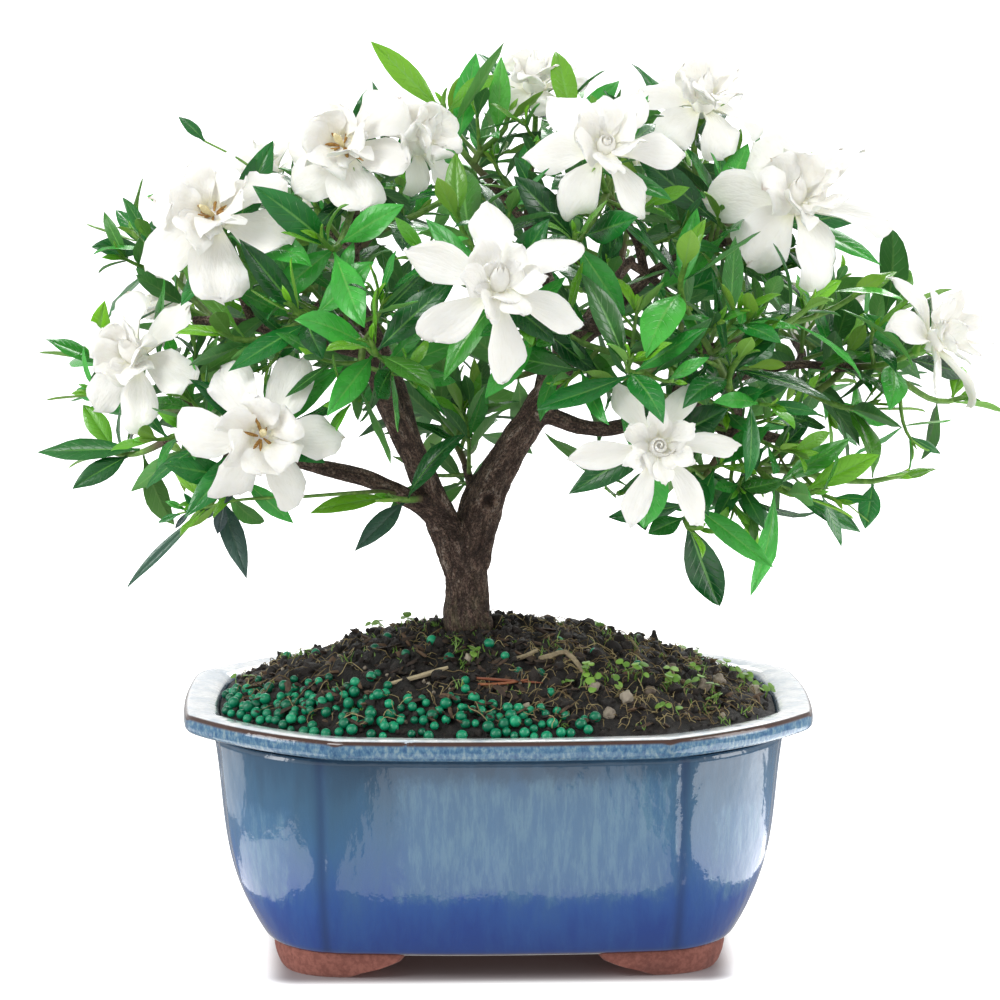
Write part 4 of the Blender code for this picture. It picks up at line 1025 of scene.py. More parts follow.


# Each side of a leaf: colours from dark to bright, of youth, of the veins and of age, the last partly a
# painted pale sheen; how much the side veins show, and the roughness from its smooth patches to its dull ones
LEAF_SIDES = {
    "leaf_face": (
        ((0.004, 0.052, 0.011), (0.012, 0.180, 0.026), (0.060, 0.45, 0.050)),
        (0.22, 0.56, 0.02), (0.20, 0.50, 0.10), (0.045, 0.066, 0.082), 0.14, (0.17, 0.36),
    ),
    "leaf_back": (
        ((0.034, 0.145, 0.038), (0.075, 0.270, 0.058), (0.17, 0.46, 0.10)),
        (0.32, 0.58, 0.06), (0.26, 0.48, 0.14), (0.12, 0.15, 0.17), 0.3, (0.45, 0.6),
    ),
}


def paint_leaf(name):
    """A glossy leaf with a pale midrib and side veins. Tint goes from dark to bright, and kind is youth."""
    paint = Paint(name)
    greens, fresh, pale, old_grey_sheen, vein_share, roughness = LEAF_SIDES[name]
    along, across, tint = paint.form()
    youth = paint.kind()
    off = paint.maths("ABSOLUTE", across)
    rib = paint.times(paint.span(off, 0.03, 0.11, 1.0, 0.0), paint.span(along, 0.1, 1.0, 1.0, 0.25))
    ladder = paint.minus(paint.times(along, 11.0), paint.times(off, 1.9))
    wave = paint.maths("ABSOLUTE", paint.maths("SINE", paint.times(ladder, math.pi)))
    vein = paint.times(paint.span(wave, 0.0, 0.30, 1.0, 0.0), paint.span(off, 0.55, 0.95, 1.0, 0.0))
    blotch = paint.grain(160.0)
    colour = paint.ramp(paint.swayed(tint, blotch, 0.5), *zip((0.0, 0.5, 1.0), greens))
    colour = paint.mix(youth, colour, fresh)
    colour = paint.mix(paint.times(vein, vein_share), colour, pale)
    colour = paint.mix(paint.times(rib, 0.7), colour, pale)
    # Old hanging leaves: dull, and blue-grey as a painted pale sheen
    colour = paint.mix(paint.span(youth, -0.9, -0.4, 0.85, 0.0), colour, old_grey_sheen)
    height = paint.minus(paint.times(paint.grain(900.0, 2.0), 0.25), paint.times(vein, 0.45))
    return paint.finish(
        Base_Color=colour, Roughness=paint.span(blotch, 0.35, 0.7, *roughness),
        Normal=paint.bump(height, 0.00018), Specular_IOR_Level=0.5,
    )


def paint_stem():
    """A green stem, browner towards its foot. Its tint is how woody it is."""
    paint = Paint("green_stem")
    along, _, tint = paint.form()
    fleck = paint.grain(500.0)
    green = paint.mix(paint.span(fleck, 0.4, 0.7), (0.10, 0.24, 0.03), (0.20, 0.38, 0.06))
    age = paint.times(paint.span(along, 0.05, 0.5, 1.0, 0.0), tint)
    colour = paint.mix(age, green, (0.11, 0.075, 0.04))
    return paint.finish(Base_Color=colour, Roughness=0.5, Normal=paint.bump(fleck, 0.0002))


def paint_petal():
    """A thick white petal with faint veins, warmer at its foot: its own cream, and partly a painted warm glow
    in the flower's crevices. It is spotted with brown where kind is 1, and glows faintly as painted light.
    """
    paint = Paint("petal")
    along, across, tint = paint.form()
    lines = paint.noise(paint.joined(paint.times(along, 1.2), across, tint), 7.0, 2.0)
    soft = paint.grain(90.0, 2.0)
    white = paint.mix(paint.span(soft, 0.35, 0.65), (0.80, 0.79, 0.745), (0.85, 0.845, 0.805))
    white = paint.mix(paint.span(lines, 0.30, 0.50, 0.35, 0.0), white, (0.76, 0.75, 0.68))
    # Warmer at the foot: the petal's own cream, and partly a painted warm glow where the petals meet in the
    # flower's crevices
    colour = paint.mix(paint.span(along, 0.0, 0.30, 0.9, 0.0), white, (0.84, 0.84, 0.64))
    spot = paint.times(paint.span(paint.cells(paint.place(), 60.0), 0.0, 0.045, 0.6, 0.0), paint.kind())
    tip = paint.times(paint.span(along, 0.95, 1.0), paint.kind())
    colour = paint.mix(paint.maths("MAXIMUM", spot, paint.times(tip, 0.5)), colour, (0.35, 0.18, 0.07))
    height = paint.plus(lines, paint.times(soft, 0.6))
    return paint.finish(
        Base_Color=colour, Roughness=0.5, Subsurface_Weight=0.25, Subsurface_Radius=(1.0, 0.85, 0.6),
        Subsurface_Scale=0.0015, Normal=paint.bump(height, 0.00026),
        # Painted light: a faint glow that stands in for the light passing through the petal
        Emission_Color=(1.0, 0.98, 0.92), Emission_Strength=0.075,
    )


def paint_sepal():
    """A fresh green sepal, paler towards its tip."""
    paint = Paint("sepal")
    along, _, _ = paint.form()
    fleck = paint.grain(400.0, 2.0)
    colour = paint.mix(paint.span(fleck, 0.35, 0.7), (0.10, 0.30, 0.03), (0.26, 0.46, 0.08))
    colour = paint.mix(paint.span(along, 0.75, 1.0, 0.0, 0.5), colour, (0.55, 0.62, 0.20))
    return paint.finish(Base_Color=colour, Roughness=0.42, Normal=paint.bump(fleck, 0.0002))


def paint_anther():
    """Brown anthers, and a cream style where the tint is 1."""
    paint = Paint("anther")
    _, _, tint = paint.form()
    fleck = paint.grain(1500.0)
    brown = paint.mix(paint.span(fleck, 0.35, 0.65), (0.30, 0.13, 0.03), (0.55, 0.33, 0.09))
    cream = paint.mix(paint.span(fleck, 0.3, 0.7), (0.72, 0.60, 0.30), (0.82, 0.74, 0.46))
    colour = paint.mix(tint, brown, cream)
    return paint.finish(Base_Color=colour, Roughness=0.7, Normal=paint.bump(fleck, 0.0002))


def paint_bark():
    """Furrowed bark. Form is the point's place in the wood's own grain, and kind how high it stands."""
    paint = Paint("bark")
    read = paint.form_vector()
    coarse = paint.noise(read, 0.38, 5.0, 0.68, 0.6)
    weave = paint.noise(paint.stretched(read, (1.0, 1.0, 0.8)), 0.8, 4.0, 0.65, 1.3)
    crack = paint.span(paint.maths("ABSOLUTE", paint.minus(weave, 0.5)), 0.0, 0.055, 1.0, 0.0)
    flake = paint.noise(paint.stretched(read, (1.0, 1.0, 2.6)), 1.7, 5.0, 0.75)
    speck = paint.grain(1300.0, 3.0, 0.7)
    tone = paint.plus(paint.times(coarse, 0.5), paint.times(flake, 0.5))
    tone = paint.plus(tone, paint.times(paint.kind(), 0.10))
    colour = paint.ramp(
        tone, (0.36, (0.050, 0.026, 0.020)), (0.46, (0.150, 0.086, 0.064)), (0.55, (0.32, 0.205, 0.155)),
        (0.66, (0.62, 0.50, 0.42)),
    )
    colour = paint.mix(paint.times(crack, 0.75), colour, (0.022, 0.011, 0.009))
    colour = paint.mix(paint.span(speck, 0.40, 0.50, 0.65, 0.0), colour, (0.030, 0.015, 0.012))
    colour = paint.mix(paint.span(speck, 0.60, 0.70, 0.0, 0.5), colour, (0.58, 0.47, 0.38))
    lowness = paint.span(paint.parts(paint.place())[2], 0.095, 0.125, 1.0, 0.0)
    moss = paint.times(lowness, paint.span(coarse, 0.42, 0.6))
    colour = paint.mix(paint.times(moss, 0.6), colour, (0.105, 0.125, 0.04))
    height = paint.minus(paint.plus(coarse, paint.times(flake, 0.6)), paint.times(crack, 0.6))
    height = paint.plus(height, paint.times(speck, 0.25))
    return paint.finish(Base_Color=colour, Roughness=0.75, Normal=paint.bump(height, 0.0018))


def paint_rim(paint, speck, worn):
    """The rim's colour: speckled round its edge, and nearly white on top."""
    edge = paint.ramp(
        speck, (0.32, (0.026, 0.085, 0.19)), (0.5, (0.070, 0.165, 0.265)), (0.68, (0.19, 0.28, 0.33)),
    )
    top = paint.mix(paint.span(worn, 0.36, 0.62), (0.64, 0.71, 0.80), (0.93, 0.94, 0.97))
    up = paint.parts(paint.node("ShaderNodeNewGeometry").outputs["Normal"])[2]
    return paint.mix(paint.span(up, 0.45, 0.85), edge, top)


def paint_glaze():
    """Poured glaze, pale at the rim and cobalt at the foot, with painted shade under the rim and along the
    creases and a painted reflection on each panel. Form holds the crease shade, rust line and reflection
    field.
    """
    paint = Paint("blue_glaze")
    crease_shade, edge, reflection_field = paint.form()
    z = paint.parts(paint.place())[2]
    drips = paint.noise(paint.place(1.0, 1.0, 0.13), 190.0, 4.0, 0.6, 0.3)
    pools = paint.noise(paint.place(1.0, 1.0, 0.5), 42.0, 2.0)
    level = paint.swayed(paint.swayed(paint.span(z, 0.006, 0.078), drips, 0.40), pools, 0.30)
    # By height; the stops near the top are darker as painted shade under the rim
    colour = paint.ramp(
        level, (0.0, (0.013, 0.050, 0.24)), (0.16, (0.020, 0.075, 0.27)), (0.36, (0.033, 0.100, 0.255)),
        (0.58, (0.038, 0.112, 0.225)), (0.85, (0.038, 0.102, 0.18)), (1.0, (0.030, 0.076, 0.135)),
    )
    # Painted reflection: a pale ragged field on each panel, mottled, standing in for the reflection of a soft
    # light
    ragged = paint.noise(paint.place(1.0, 1.0, 0.5), 210.0, 6.0, 0.7, 0.4)
    painted_reflection = paint.span(paint.swayed(reflection_field, ragged, 1.1), 0.42, 0.85)
    reflection_mottle = paint.noise(paint.place(1.0, 1.0, 0.16), 420.0, 5.0, 0.7)
    reflection_colour = paint.mix(paint.span(reflection_mottle, 0.40, 0.66), (0.052, 0.138, 0.255), (0.115, 0.225, 0.31))
    colour = paint.mix(paint.times(painted_reflection, 0.62), colour, reflection_colour)
    speck = paint.noise(paint.place(1.0, 1.0, 0.6), 800.0, 3.0, 0.6)
    worn = paint.grain(130.0, 4.0, 0.65)
    colour = paint.mix(paint.span(z, 0.0738, 0.0752), colour, paint_rim(paint, speck, worn))
    # Painted shade: the glaze darkened along the creases
    colour = paint.mix(paint.times(crease_shade, 0.6), colour, (0.008, 0.026, 0.10))
    rust = paint.times(edge, paint.span(worn, 0.20, 0.38))
    colour = paint.mix(paint.span(rust, 0.25, 0.7), colour, (0.050, 0.018, 0.011))
    pit = paint.span(paint.cells(paint.place(), 420.0), 0.0, 0.05, 1.0, 0.0)
    colour = paint.mix(paint.times(pit, 0.6), colour, (0.02, 0.03, 0.05))
    bare = paint.span(z, 0.0084, 0.0096, 1.0, 0.0)
    colour = paint.mix(bare, colour, (0.10, 0.035, 0.025))
    runs = paint.noise(paint.place(1.0, 1.0, 0.45), 75.0, 3.0, 0.5)
    ripples = paint.noise(paint.place(1.0, 1.0, 0.7), 330.0, 3.0, 0.6)
    swell = paint.bump(ripples, 0.00010, paint.bump(runs, 0.0008))
    return paint.finish(
        Base_Color=colour, Roughness=paint.span(worn, 0.3, 0.7, 0.12, 0.26), IOR=1.5,
        Normal=paint.bump(paint.minus(speck, pit), 0.00006, swell), Specular_IOR_Level=0.12,
        Coat_Weight=1.0, Coat_Roughness=0.03, Coat_IOR=1.5, Coat_Normal=swell,
    )


def paint_clay():
    """Unglazed red-brown clay, darker in patches."""
    paint = Paint("fired_clay")
    grain = paint.grain(600.0, 4.0, 0.6)
    colour = paint.mix(paint.span(grain, 0.35, 0.65), (0.19, 0.060, 0.045), (0.28, 0.10, 0.075))
    colour = paint.mix(paint.span(paint.grain(60.0), 0.5, 0.7, 0.0, 0.45), colour, (0.10, 0.035, 0.03))
    return paint.finish(Base_Color=colour, Roughness=0.8, Normal=paint.bump(grain, 0.0003))


def paint_peat():
    """Dark damp peat with paler crumbs. The tint of the form brightens a crumb."""
    paint = Paint("peat")
    _, _, tint = paint.form()
    clod = paint.grain(330.0, 6.0, 0.7)
    grit = paint.grain(1700.0, 3.0, 0.65)
    colour = paint.ramp(
        clod, (0.36, (0.0030, 0.0024, 0.0026)), (0.52, (0.010, 0.0075, 0.0068)),
        (0.68, (0.027, 0.019, 0.015)),
    )
    colour = paint.mix(paint.times(tint, 0.5), colour, (0.034, 0.022, 0.017))
    colour = paint.mix(paint.span(grit, 0.61, 0.73, 0.0, 0.6), colour, (0.11, 0.08, 0.055))
    height = paint.plus(clod, paint.times(grit, 0.4))
    return paint.finish(Base_Color=colour, Roughness=0.65, Normal=paint.bump(height, 0.0016))


def paint_grit(name, dark, pale, roughness=0.8):
    """Chips, pebbles, needles and roots: two browns mixed by the grain and by each bit's own tint."""
    paint = Paint(name)
    _, _, tint = paint.form()
    grain = paint.noise(paint.place(1.0, 0.4, 1.0), 700.0, 4.0, 0.65)
    share = paint.plus(paint.times(grain, 0.7), paint.times(tint, 0.6))
    colour = paint.mix(paint.span(share, 0.25, 0.95), dark, pale)
    return paint.finish(Base_Color=colour, Roughness=roughness, Normal=paint.bump(grain, 0.0005))


def paint_bead():
    """A smooth green coating, darker or brighter by the bead's tint."""
    paint = Paint("green_coating")
    _, _, tint = paint.form()
    mottle = paint.grain(700.0, 3.0, 0.6)
    colour = paint.ramp(
        paint.swayed(tint, mottle, 0.7), (0.0, (0.0, 0.080, 0.040)), (0.5, (0.001, 0.205, 0.098)),
        (1.0, (0.012, 0.36, 0.17)),
    )
    return paint.finish(Base_Color=colour, Roughness=0.28, Normal=paint.bump(mottle, 0.0002))


def paint_weed():
    """Seedlings and moss, darker or brighter by their tint."""
    paint = Paint("seedling")
    _, _, tint = paint.form()
    fleck = paint.grain(500.0, 2.0)
    share = paint.plus(paint.times(tint, 0.7), paint.times(fleck, 0.4))
    colour = paint.mix(share, (0.035, 0.12, 0.016), (0.22, 0.40, 0.06))
    return paint.finish(Base_Color=colour, Roughness=0.45, Normal=paint.bump(fleck, 0.0002))


def paint_mesh_plastic():
    """The drain screens' black plastic, a little scuffed."""
    paint = Paint("black_moulded_plastic")
    scuff = paint.span(paint.grain(150.0), 0.45, 0.7)
    colour = paint.mix(scuff, (0.014, 0.014, 0.015), (0.04, 0.038, 0.036))
    height = paint.grain(1800.0, 2.0)
    return paint.finish(Base_Color=colour, Roughness=0.48, Normal=paint.bump(height, 0.00012))


# Leaves and stems

LEAF_ALONG = np.array((0, 0.06, 0.14, 0.24, 0.35, 0.47, 0.59, 0.71, 0.82, 0.92, 1.0))
LEAF_ACROSS = np.array((-1, -0.58, -0.13, 0, 0.13, 0.58, 1.0))
FILL_ALONG = np.array((0, 0.08, 0.20, 0.34, 0.50, 0.66, 0.80, 0.92, 1.0))
FILL_ACROSS = np.array((-1, -0.5, 0, 0.5, 1.0))
PETIOLE = 0.07
PETIOLE_WIDTH = 1.0
LEAF_FINE_THICK = 0.45
STEM_STEP = 3.5
DROOP = -0.55  # leaves that point further down than this, low on the left, are old and dull, drawn blue-grey partly as a painted pale sheen
OLD_SHEEN_LEFT_OF = -30.0
OLD_SHEEN_BELOW = 160.0
TOWARDS_VIEW = Vector((0.1, -0.8, 0.6))
NEAR_ITS_PLACE = 9  # a leaf whose tip is this near an aimed place shows its face to the view
AIMED_PLACES = [Vector(place) for places in AIMED.values() for place in places]
FILL_SEED = 23
FILL_LEAVES = 900  # how many leaves the added shoots bear together
FILL_TRIES = 3
SHOOT_RADIUS = 0.8
FACE_SHARE = 0.8  # how much of a flower's face stays free of added leaves, and how far before it
FACE_DEPTH = 32.0

# Thin shoots: the places along each one, its radius, and its leaves as foot, tip and width
THIN_SHOOTS = (
    (
        ((-32, -11, 148), (-38, -24, 151), (-48, -37, 152.5), (-63, -44, 152.5), (-81, -46, 152),
         (-93, -44, 149), (-101, -42, 147)),
        0.8,
        (
            ((-92, -44, 149), (-121.5, -38, 122.5), 3.6), ((-86.5, -46, 151), (-88.5, -50, 142), 4.4),
            ((-100.5, -42, 147), (-108, -42, 144.5), 2.6), ((-98.5, -42, 148), (-105, -42, 151.5), 2.4),
            ((-95.5, -43, 148.5), (-99, -44, 154), 2.2), ((-97, -42, 148), (-103, -41, 142), 2.2),
        ),
    ),
    (
        ((-64, -26, 236), (-70, -21, 246), (-76, -18, 252), (-83, -16, 257), (-93, -14, 262)),
        0.55,
        (((-93, -14, 262), (-101, -12, 270.5), 4.6),),
    ),
    (
        ((88, -24, 165), (92, -32, 158), (97, -36, 153.5), (102, -34, 151.5), (110, -32, 148),
         (118, -30, 141.5)),
        0.45,
        (),
    ),
)


def spine(blade, shares, curl=0.0, start=0.6):
    """Centres, headings and normals along a blade's arc. Past start its tip curls on by curl."""
    fine = np.linspace(0, 1, 61)
    turn = blade["bend"] * fine + curl * np.clip((fine - start) / (1 - start), 0, 1) ** 2
    way, up = np.array(blade["way"]), np.array(side_of(blade["way"], blade["up"]))
    heading = way * np.cos(turn)[:, None] - up * np.sin(turn)[:, None]
    steps = (heading[1:] + heading[:-1]) / 2 * blade["length"] / 60
    path = np.vstack((np.zeros(3), np.cumsum(steps, axis=0))) + np.array(blade["root"])
    centre = np.stack([np.interp(shares, fine, path[:, k]) for k in range(3)], axis=1)
    at = np.interp(shares, fine, turn)[:, None]
    return centre, way * np.cos(at) - up * np.sin(at), up * np.cos(at) + way * np.sin(at)


def rolled(heading, normal, roll):
    """The side and normal of a blade turned about its heading by an angle for each station."""
    side = np.cross(normal, heading)
    roll = np.broadcast_to(roll, len(heading))[:, None]
    return side * np.cos(roll) - normal * np.sin(roll), normal * np.cos(roll) + side * np.sin(roll)


def surface(centre, side, normal, half, across, lift):
    """A grid of points, from the centre line, the half widths and each point's lift off the blade's plane."""
    return (
        centre[:, None, :]
        + side[:, None, :] * (half[:, None] * across)[:, :, None]
        + normal[:, None, :] * lift[:, :, None]
    )


def leaf_grid(blade, rng, u, v):
    """A leaf on its blade's arc: stalked, ripple-edged, with its halves folded up from a sunk midrib."""
    centre, heading, normal = spine(blade, u, rng.uniform(-0.15, 0.55), 0.65)
    side, normal = rolled(heading, normal, blade["roll"] + rng.uniform(-0.35, 0.35) * u)
    x = np.clip((u - PETIOLE) / (1 - PETIOLE), 0, 1)
    broad = np.sin(np.pi * x ** rng.uniform(0.85, 1.15)) ** 0.85 * (1 - 0.25 * x ** 5)
    half = np.maximum(blade["width"] / 2 * broad, PETIOLE_WIDTH / 2 * (1 - u) + 0.03)
    phase = rng.uniform(0, math.tau)
    ripple = np.sin(math.tau * (rng.uniform(1.6, 2.8) * u[:, None] + 0.12 * v) + phase)
    depth = np.abs(v)
    lift = half[:, None] * (blade["fold"] * 1.15 * depth - 0.16 * depth ** 2)
    lift = lift + 0.11 * half[:, None] * ripple * depth ** 2 * smooth(x)[:, None]
    lift[:, len(v) // 2] -= 0.14 * smooth(x * 4)
    return surface(centre, side, normal, half, v, lift)


def add_leaf(model, blade, rng, filler=False):
    """A leaf. Its kind is its youth, or -1 where it is old, hanging low on the left, which paints it
    blue-grey, partly a painted pale sheen.
    """
    young = blade.get("young", blade["kind"] == "young" and blade["root"].y <= BACK)
    tint = rng.uniform(0.05, 0.95)
    youth = rng.uniform(0.35, 0.9) if young else max(0.0, rng.gauss(-0.05, 0.12))
    hangs = blade["way"].z < DROOP and blade["root"].z < OLD_SHEEN_BELOW and blade["root"].x < OLD_SHEEN_LEFT_OF
    if hangs and not filler:
        youth = -1.0
    tip = blade["root"] + blade["way"] * blade["length"]
    if not filler and min((tip - place).length for place in AIMED_PLACES) < NEAR_ITS_PLACE:
        blade = dict(blade, up=side_of(blade["way"], TOWARDS_VIEW), roll=0.0)
    u, v = (FILL_ALONG, FILL_ACROSS) if filler else (LEAF_ALONG, LEAF_ACROSS)
    model.add_sheet(leaf_grid(blade, rng, u, v), LEAF_FINE_THICK, (0, 1), v, tint, youth)


def add_stem(model, path, radius, rng, woody):
    """A green stem with a pointed bud between two tiny leaves at its end."""
    path = resampled(path, STEM_STEP)
    count = len(path) - 1
    model.add_tube(path, [radius * (1.0 - 0.3 * k / count) for k in range(count + 1)], 8, 2, woody)
    way = (path[-1] - path[-2]).normalized()
    bud = [path[-1] + way * step for step in (-0.6, 0.8, 2.2, 3.6)]
    model.add_tube(bud, [radius * 0.72, radius * 0.75, radius * 0.45, 0.08], 6, 2)
    out = side_of(way, unit(rng))
    for sign in (-1, 1):
        length = rng.uniform(5, 8)
        blade = {
            "root": path[-1] + out * sign * 0.4, "way": (way + out * sign * 0.3).normalized(), "up": way,
            "length": length, "width": length * 0.3, "bend": 0.3, "fold": 0.5, "roll": 0.0, "kind": "young",
            "young": True,
        }
        add_leaf(model, blade, rng)


def grow_fillers(garden, sprays, twigs):
    """Short leafy shoots along the twigs and stems, wherever they find room."""
    rng = random.Random(FILL_SEED)
    lines = []
    for (name, stems), (path, _) in zip(sprays.items(), twigs):
        lines.append((name, path, 0.0))
        lines += [(name, stem["path"], leaf_zone(stem["pairs"], stem["bloom"])) for stem in stems]
    shoots = {name: [] for name in sprays}
    borne = 0
    while borne < FILL_LEAVES and lines:
        name, path, taken = rng.choice(lines)
        free = path_length(path) - taken
        if free < 8:
            lines.remove((name, path, taken))
            continue
        start, way = along(path, rng.uniform(3, free - 2))
        outward = (start - CROWN_HEART).normalized()
        leave = (side_of(way, unit(rng)) + way * 0.35 + outward * 0.35 + UP * 0.15).normalized()
        arrive = (leave + outward * 0.4 + UP * 0.25).normalized()
        line = bend_curve(start, leave, start + leave * rng.uniform(9, 19) + arrive * 3, arrive, 5)
        tested = tube_shape(part_of(line, 3.5, path_length(line)), [SHOOT_RADIUS + SKIN] * 5, 4)
        if not garden.is_clear(tested):
            continue
        leaves = shoot_leaves(garden, rng, name, line)
        if len(leaves) < 2:
            continue
        garden.add(name, tested)
        shoots[name].append((line, leaves))
        borne += len(leaves)
    return shoots


def hides_flower(blade):
    """True where a leaf would hang over a flower's face."""
    middle = blade["root"] + blade["way"] * blade["length"] * 0.55
    for heart, turned, reach, *_ in BLOOMS.values():
        gap = middle - Vector(heart)
        axis = facing(*turned)
        ahead = gap.dot(axis)
        if 0 < ahead < FACE_DEPTH and (gap - axis * ahead).length < reach * FACE_SHARE:
            return True
    return False


def shoot_leaves(garden, rng, name, line):
    """Opposite pairs along a short shoot, each a quarter turn from the next."""
    total = path_length(line)
    first = side_of((line[-1] - line[-2]).normalized(), unit(rng))
    found = []
    for n in range(rng.choice((2, 3, 3))):
        root, way = along(line, total - 1.0 - 4.4 * n)
        out = side_of(way, first)
        if n % 2:
            out = way.cross(out)
        for sign in (-1, 1):
            lean = math.radians(rng.uniform(22, 40) if n == 0 else rng.uniform(42, 78))
            length = rng.uniform(12, 18) if n == 0 else rng.uniform(17, 28)
            heading = (way * math.cos(lean) + out * sign * math.sin(lean) + UP * 0.12).normalized()
            across = way.cross(out) * 0.7
            base = root + out * sign * 0.5
            corners = [base - across, base - way * 0.7, base + across, base + way * 0.7]
            blade = {
                "root": base, "way": heading, "up": way + UP * 0.7, "length": length,
                "width": length * rng.uniform(0.24, 0.36), "bend": rng.uniform(-0.2, 0.8), "fold": 0.22,
                "roll": 0.0, "kind": "young" if n == 0 else "leaf", "quad": corners,
                "young": n == 0 and rng.random() < 0.45,
            }
            for _ in range(FILL_TRIES):
                shape = blade_shape(blade, -SKIN, 0.8)
                if garden.is_clear(shape) and not hides_flower(blade):
                    found.append(blade)
                    garden.add(name, shape)
                    break
                blade["way"] = (blade["way"] + unit(rng) * 0.35).normalized()
                blade["length"] *= 0.9
    return found


def make_foliage(name, stems, shoots, finishes):
    """A spray's stems and leaves, and the added shoots that grow from them."""
    rng = random.Random(name)
    model = Model()
    for stem in stems:
        add_stem(model, stem["path"], STEM_RADIUS * 0.92, rng, 1.0 if stem is stems[0] else 0.4)
        for blade in stem["leaves"]:
            add_leaf(model, blade, rng)
    for line, leaves in shoots:
        add_stem(model, line, SHOOT_RADIUS, rng, 0.3)
        for blade in leaves:
            add_leaf(model, blade, rng, True)
    model.build(name.replace("spray", "foliage"), "leaf", finishes, name)


def make_thin_shoots(finishes):
    """The thin shoots that stand out below and beside the crown, with their few narrow leaves."""
    rng = random.Random("thin_shoots")
    model = Model()
    for places, radius, leaves in THIN_SHOOTS:
        path, radii = smoothed([(*place, radius * (1 - 0.1 * k)) for k, place in enumerate(places)])
        model.add_tube(path, radii, 7, 2, 0.8)
        for foot, tip, width in leaves:
            foot, tip = Vector(foot), Vector(tip)
            blade = {
                "root": foot, "way": (tip - foot).normalized(), "up": TOWARDS_VIEW, "kind": "leaf",
                "length": (tip - foot).length, "width": width, "bend": 0.25, "fold": 0.22, "roll": 0.0,
            }
            add_leaf(model, blade, rng)
    model.build("thin_shoots", "leaf", finishes)


# Flowers

PETAL_ALONG = np.array((0, 0.08, 0.18, 0.29, 0.41, 0.52, 0.63, 0.73, 0.82, 0.89, 0.95, 1.0))
PETAL_ACROSS = np.linspace(-1, 1, 9)
PETAL_FINE_THICK = 0.75
WIDEST = 0.58
FURL_ROWS = 9
FURL_COLUMNS = 44
FURL_TURNS = 2.3  # how often the furled petals go round
FURL_TALL = 14.5  # height of a closed heart, and of one that opens
FURL_SQUAT = 9.0
FURL_THICK = 0.55
SEPAL_WIDTH = 1.4
SEPAL_LENGTHS = (6, 9)
ANTHERS = 7
OPEN_HEARTED = ("bloom_01", "bloom_02", "bloom_12", "bloom_16")
HEAD_ON = ("bloom_05", "bloom_10", "bloom_14")  # their furled hearts face as they do
BLOOM_HABITS = {
    "bloom_01": "torn", "bloom_02": "ruffled", "bloom_03": "ruffled", "bloom_04": "star",
    "bloom_05": "pointed", "bloom_06": "torn", "bloom_07": "ruffled", "bloom_08": "torn",
    "bloom_09": "slim", "bloom_10": "slim", "bloom_11": "torn", "bloom_12": "torn", "bloom_13": "pointed",
    "bloom_14": "pointed", "bloom_15": "torn", "bloom_16": "pointed", "bloom_17": "star",
}
# Breadth, how square and how steep the tip is, ruffle, how deep it cups, chance of a rolled tip
PETAL_HABITS = {
    "star": (1.00, 2.0, 0.62, 0.06, 0.75, 0.30),
    "pointed": (1.15, 1.5, 0.80, 0.06, 0.45, 0.35),
    "ruffled": (1.42, 3.6, 0.50, 0.13, 0.35, 0.25),
    "torn": (1.22, 6.0, 0.42, 0.18, 0.60, 0.35),
    "slim": (0.90, 2.1, 0.70, 0.07, 1.0, 0.45),
}


def petal_halves(blade, rng, breadth, square, steep):
    """A petal's half width at each place along and across it. Each side is widest at its own place."""
    u = PETAL_ALONG
    halves = []
    for peak in (WIDEST + rng.uniform(-0.13, 0.02), WIDEST + rng.uniform(-0.02, 0.13)):
        rise = 0.34 + 0.66 * smooth(u / peak)
        fall = np.clip(1 - np.clip((u - peak) / (1 - peak), 0, 1) ** square, 0, 1) ** steep
        halves.append(np.maximum(blade["width"] / 2 * breadth * rise * fall, 0.05))
    if rng.random() < 0.5:
        halves.reverse()
    return np.where(PETAL_ACROSS < 0, halves[0][:, None], halves[1][:, None])


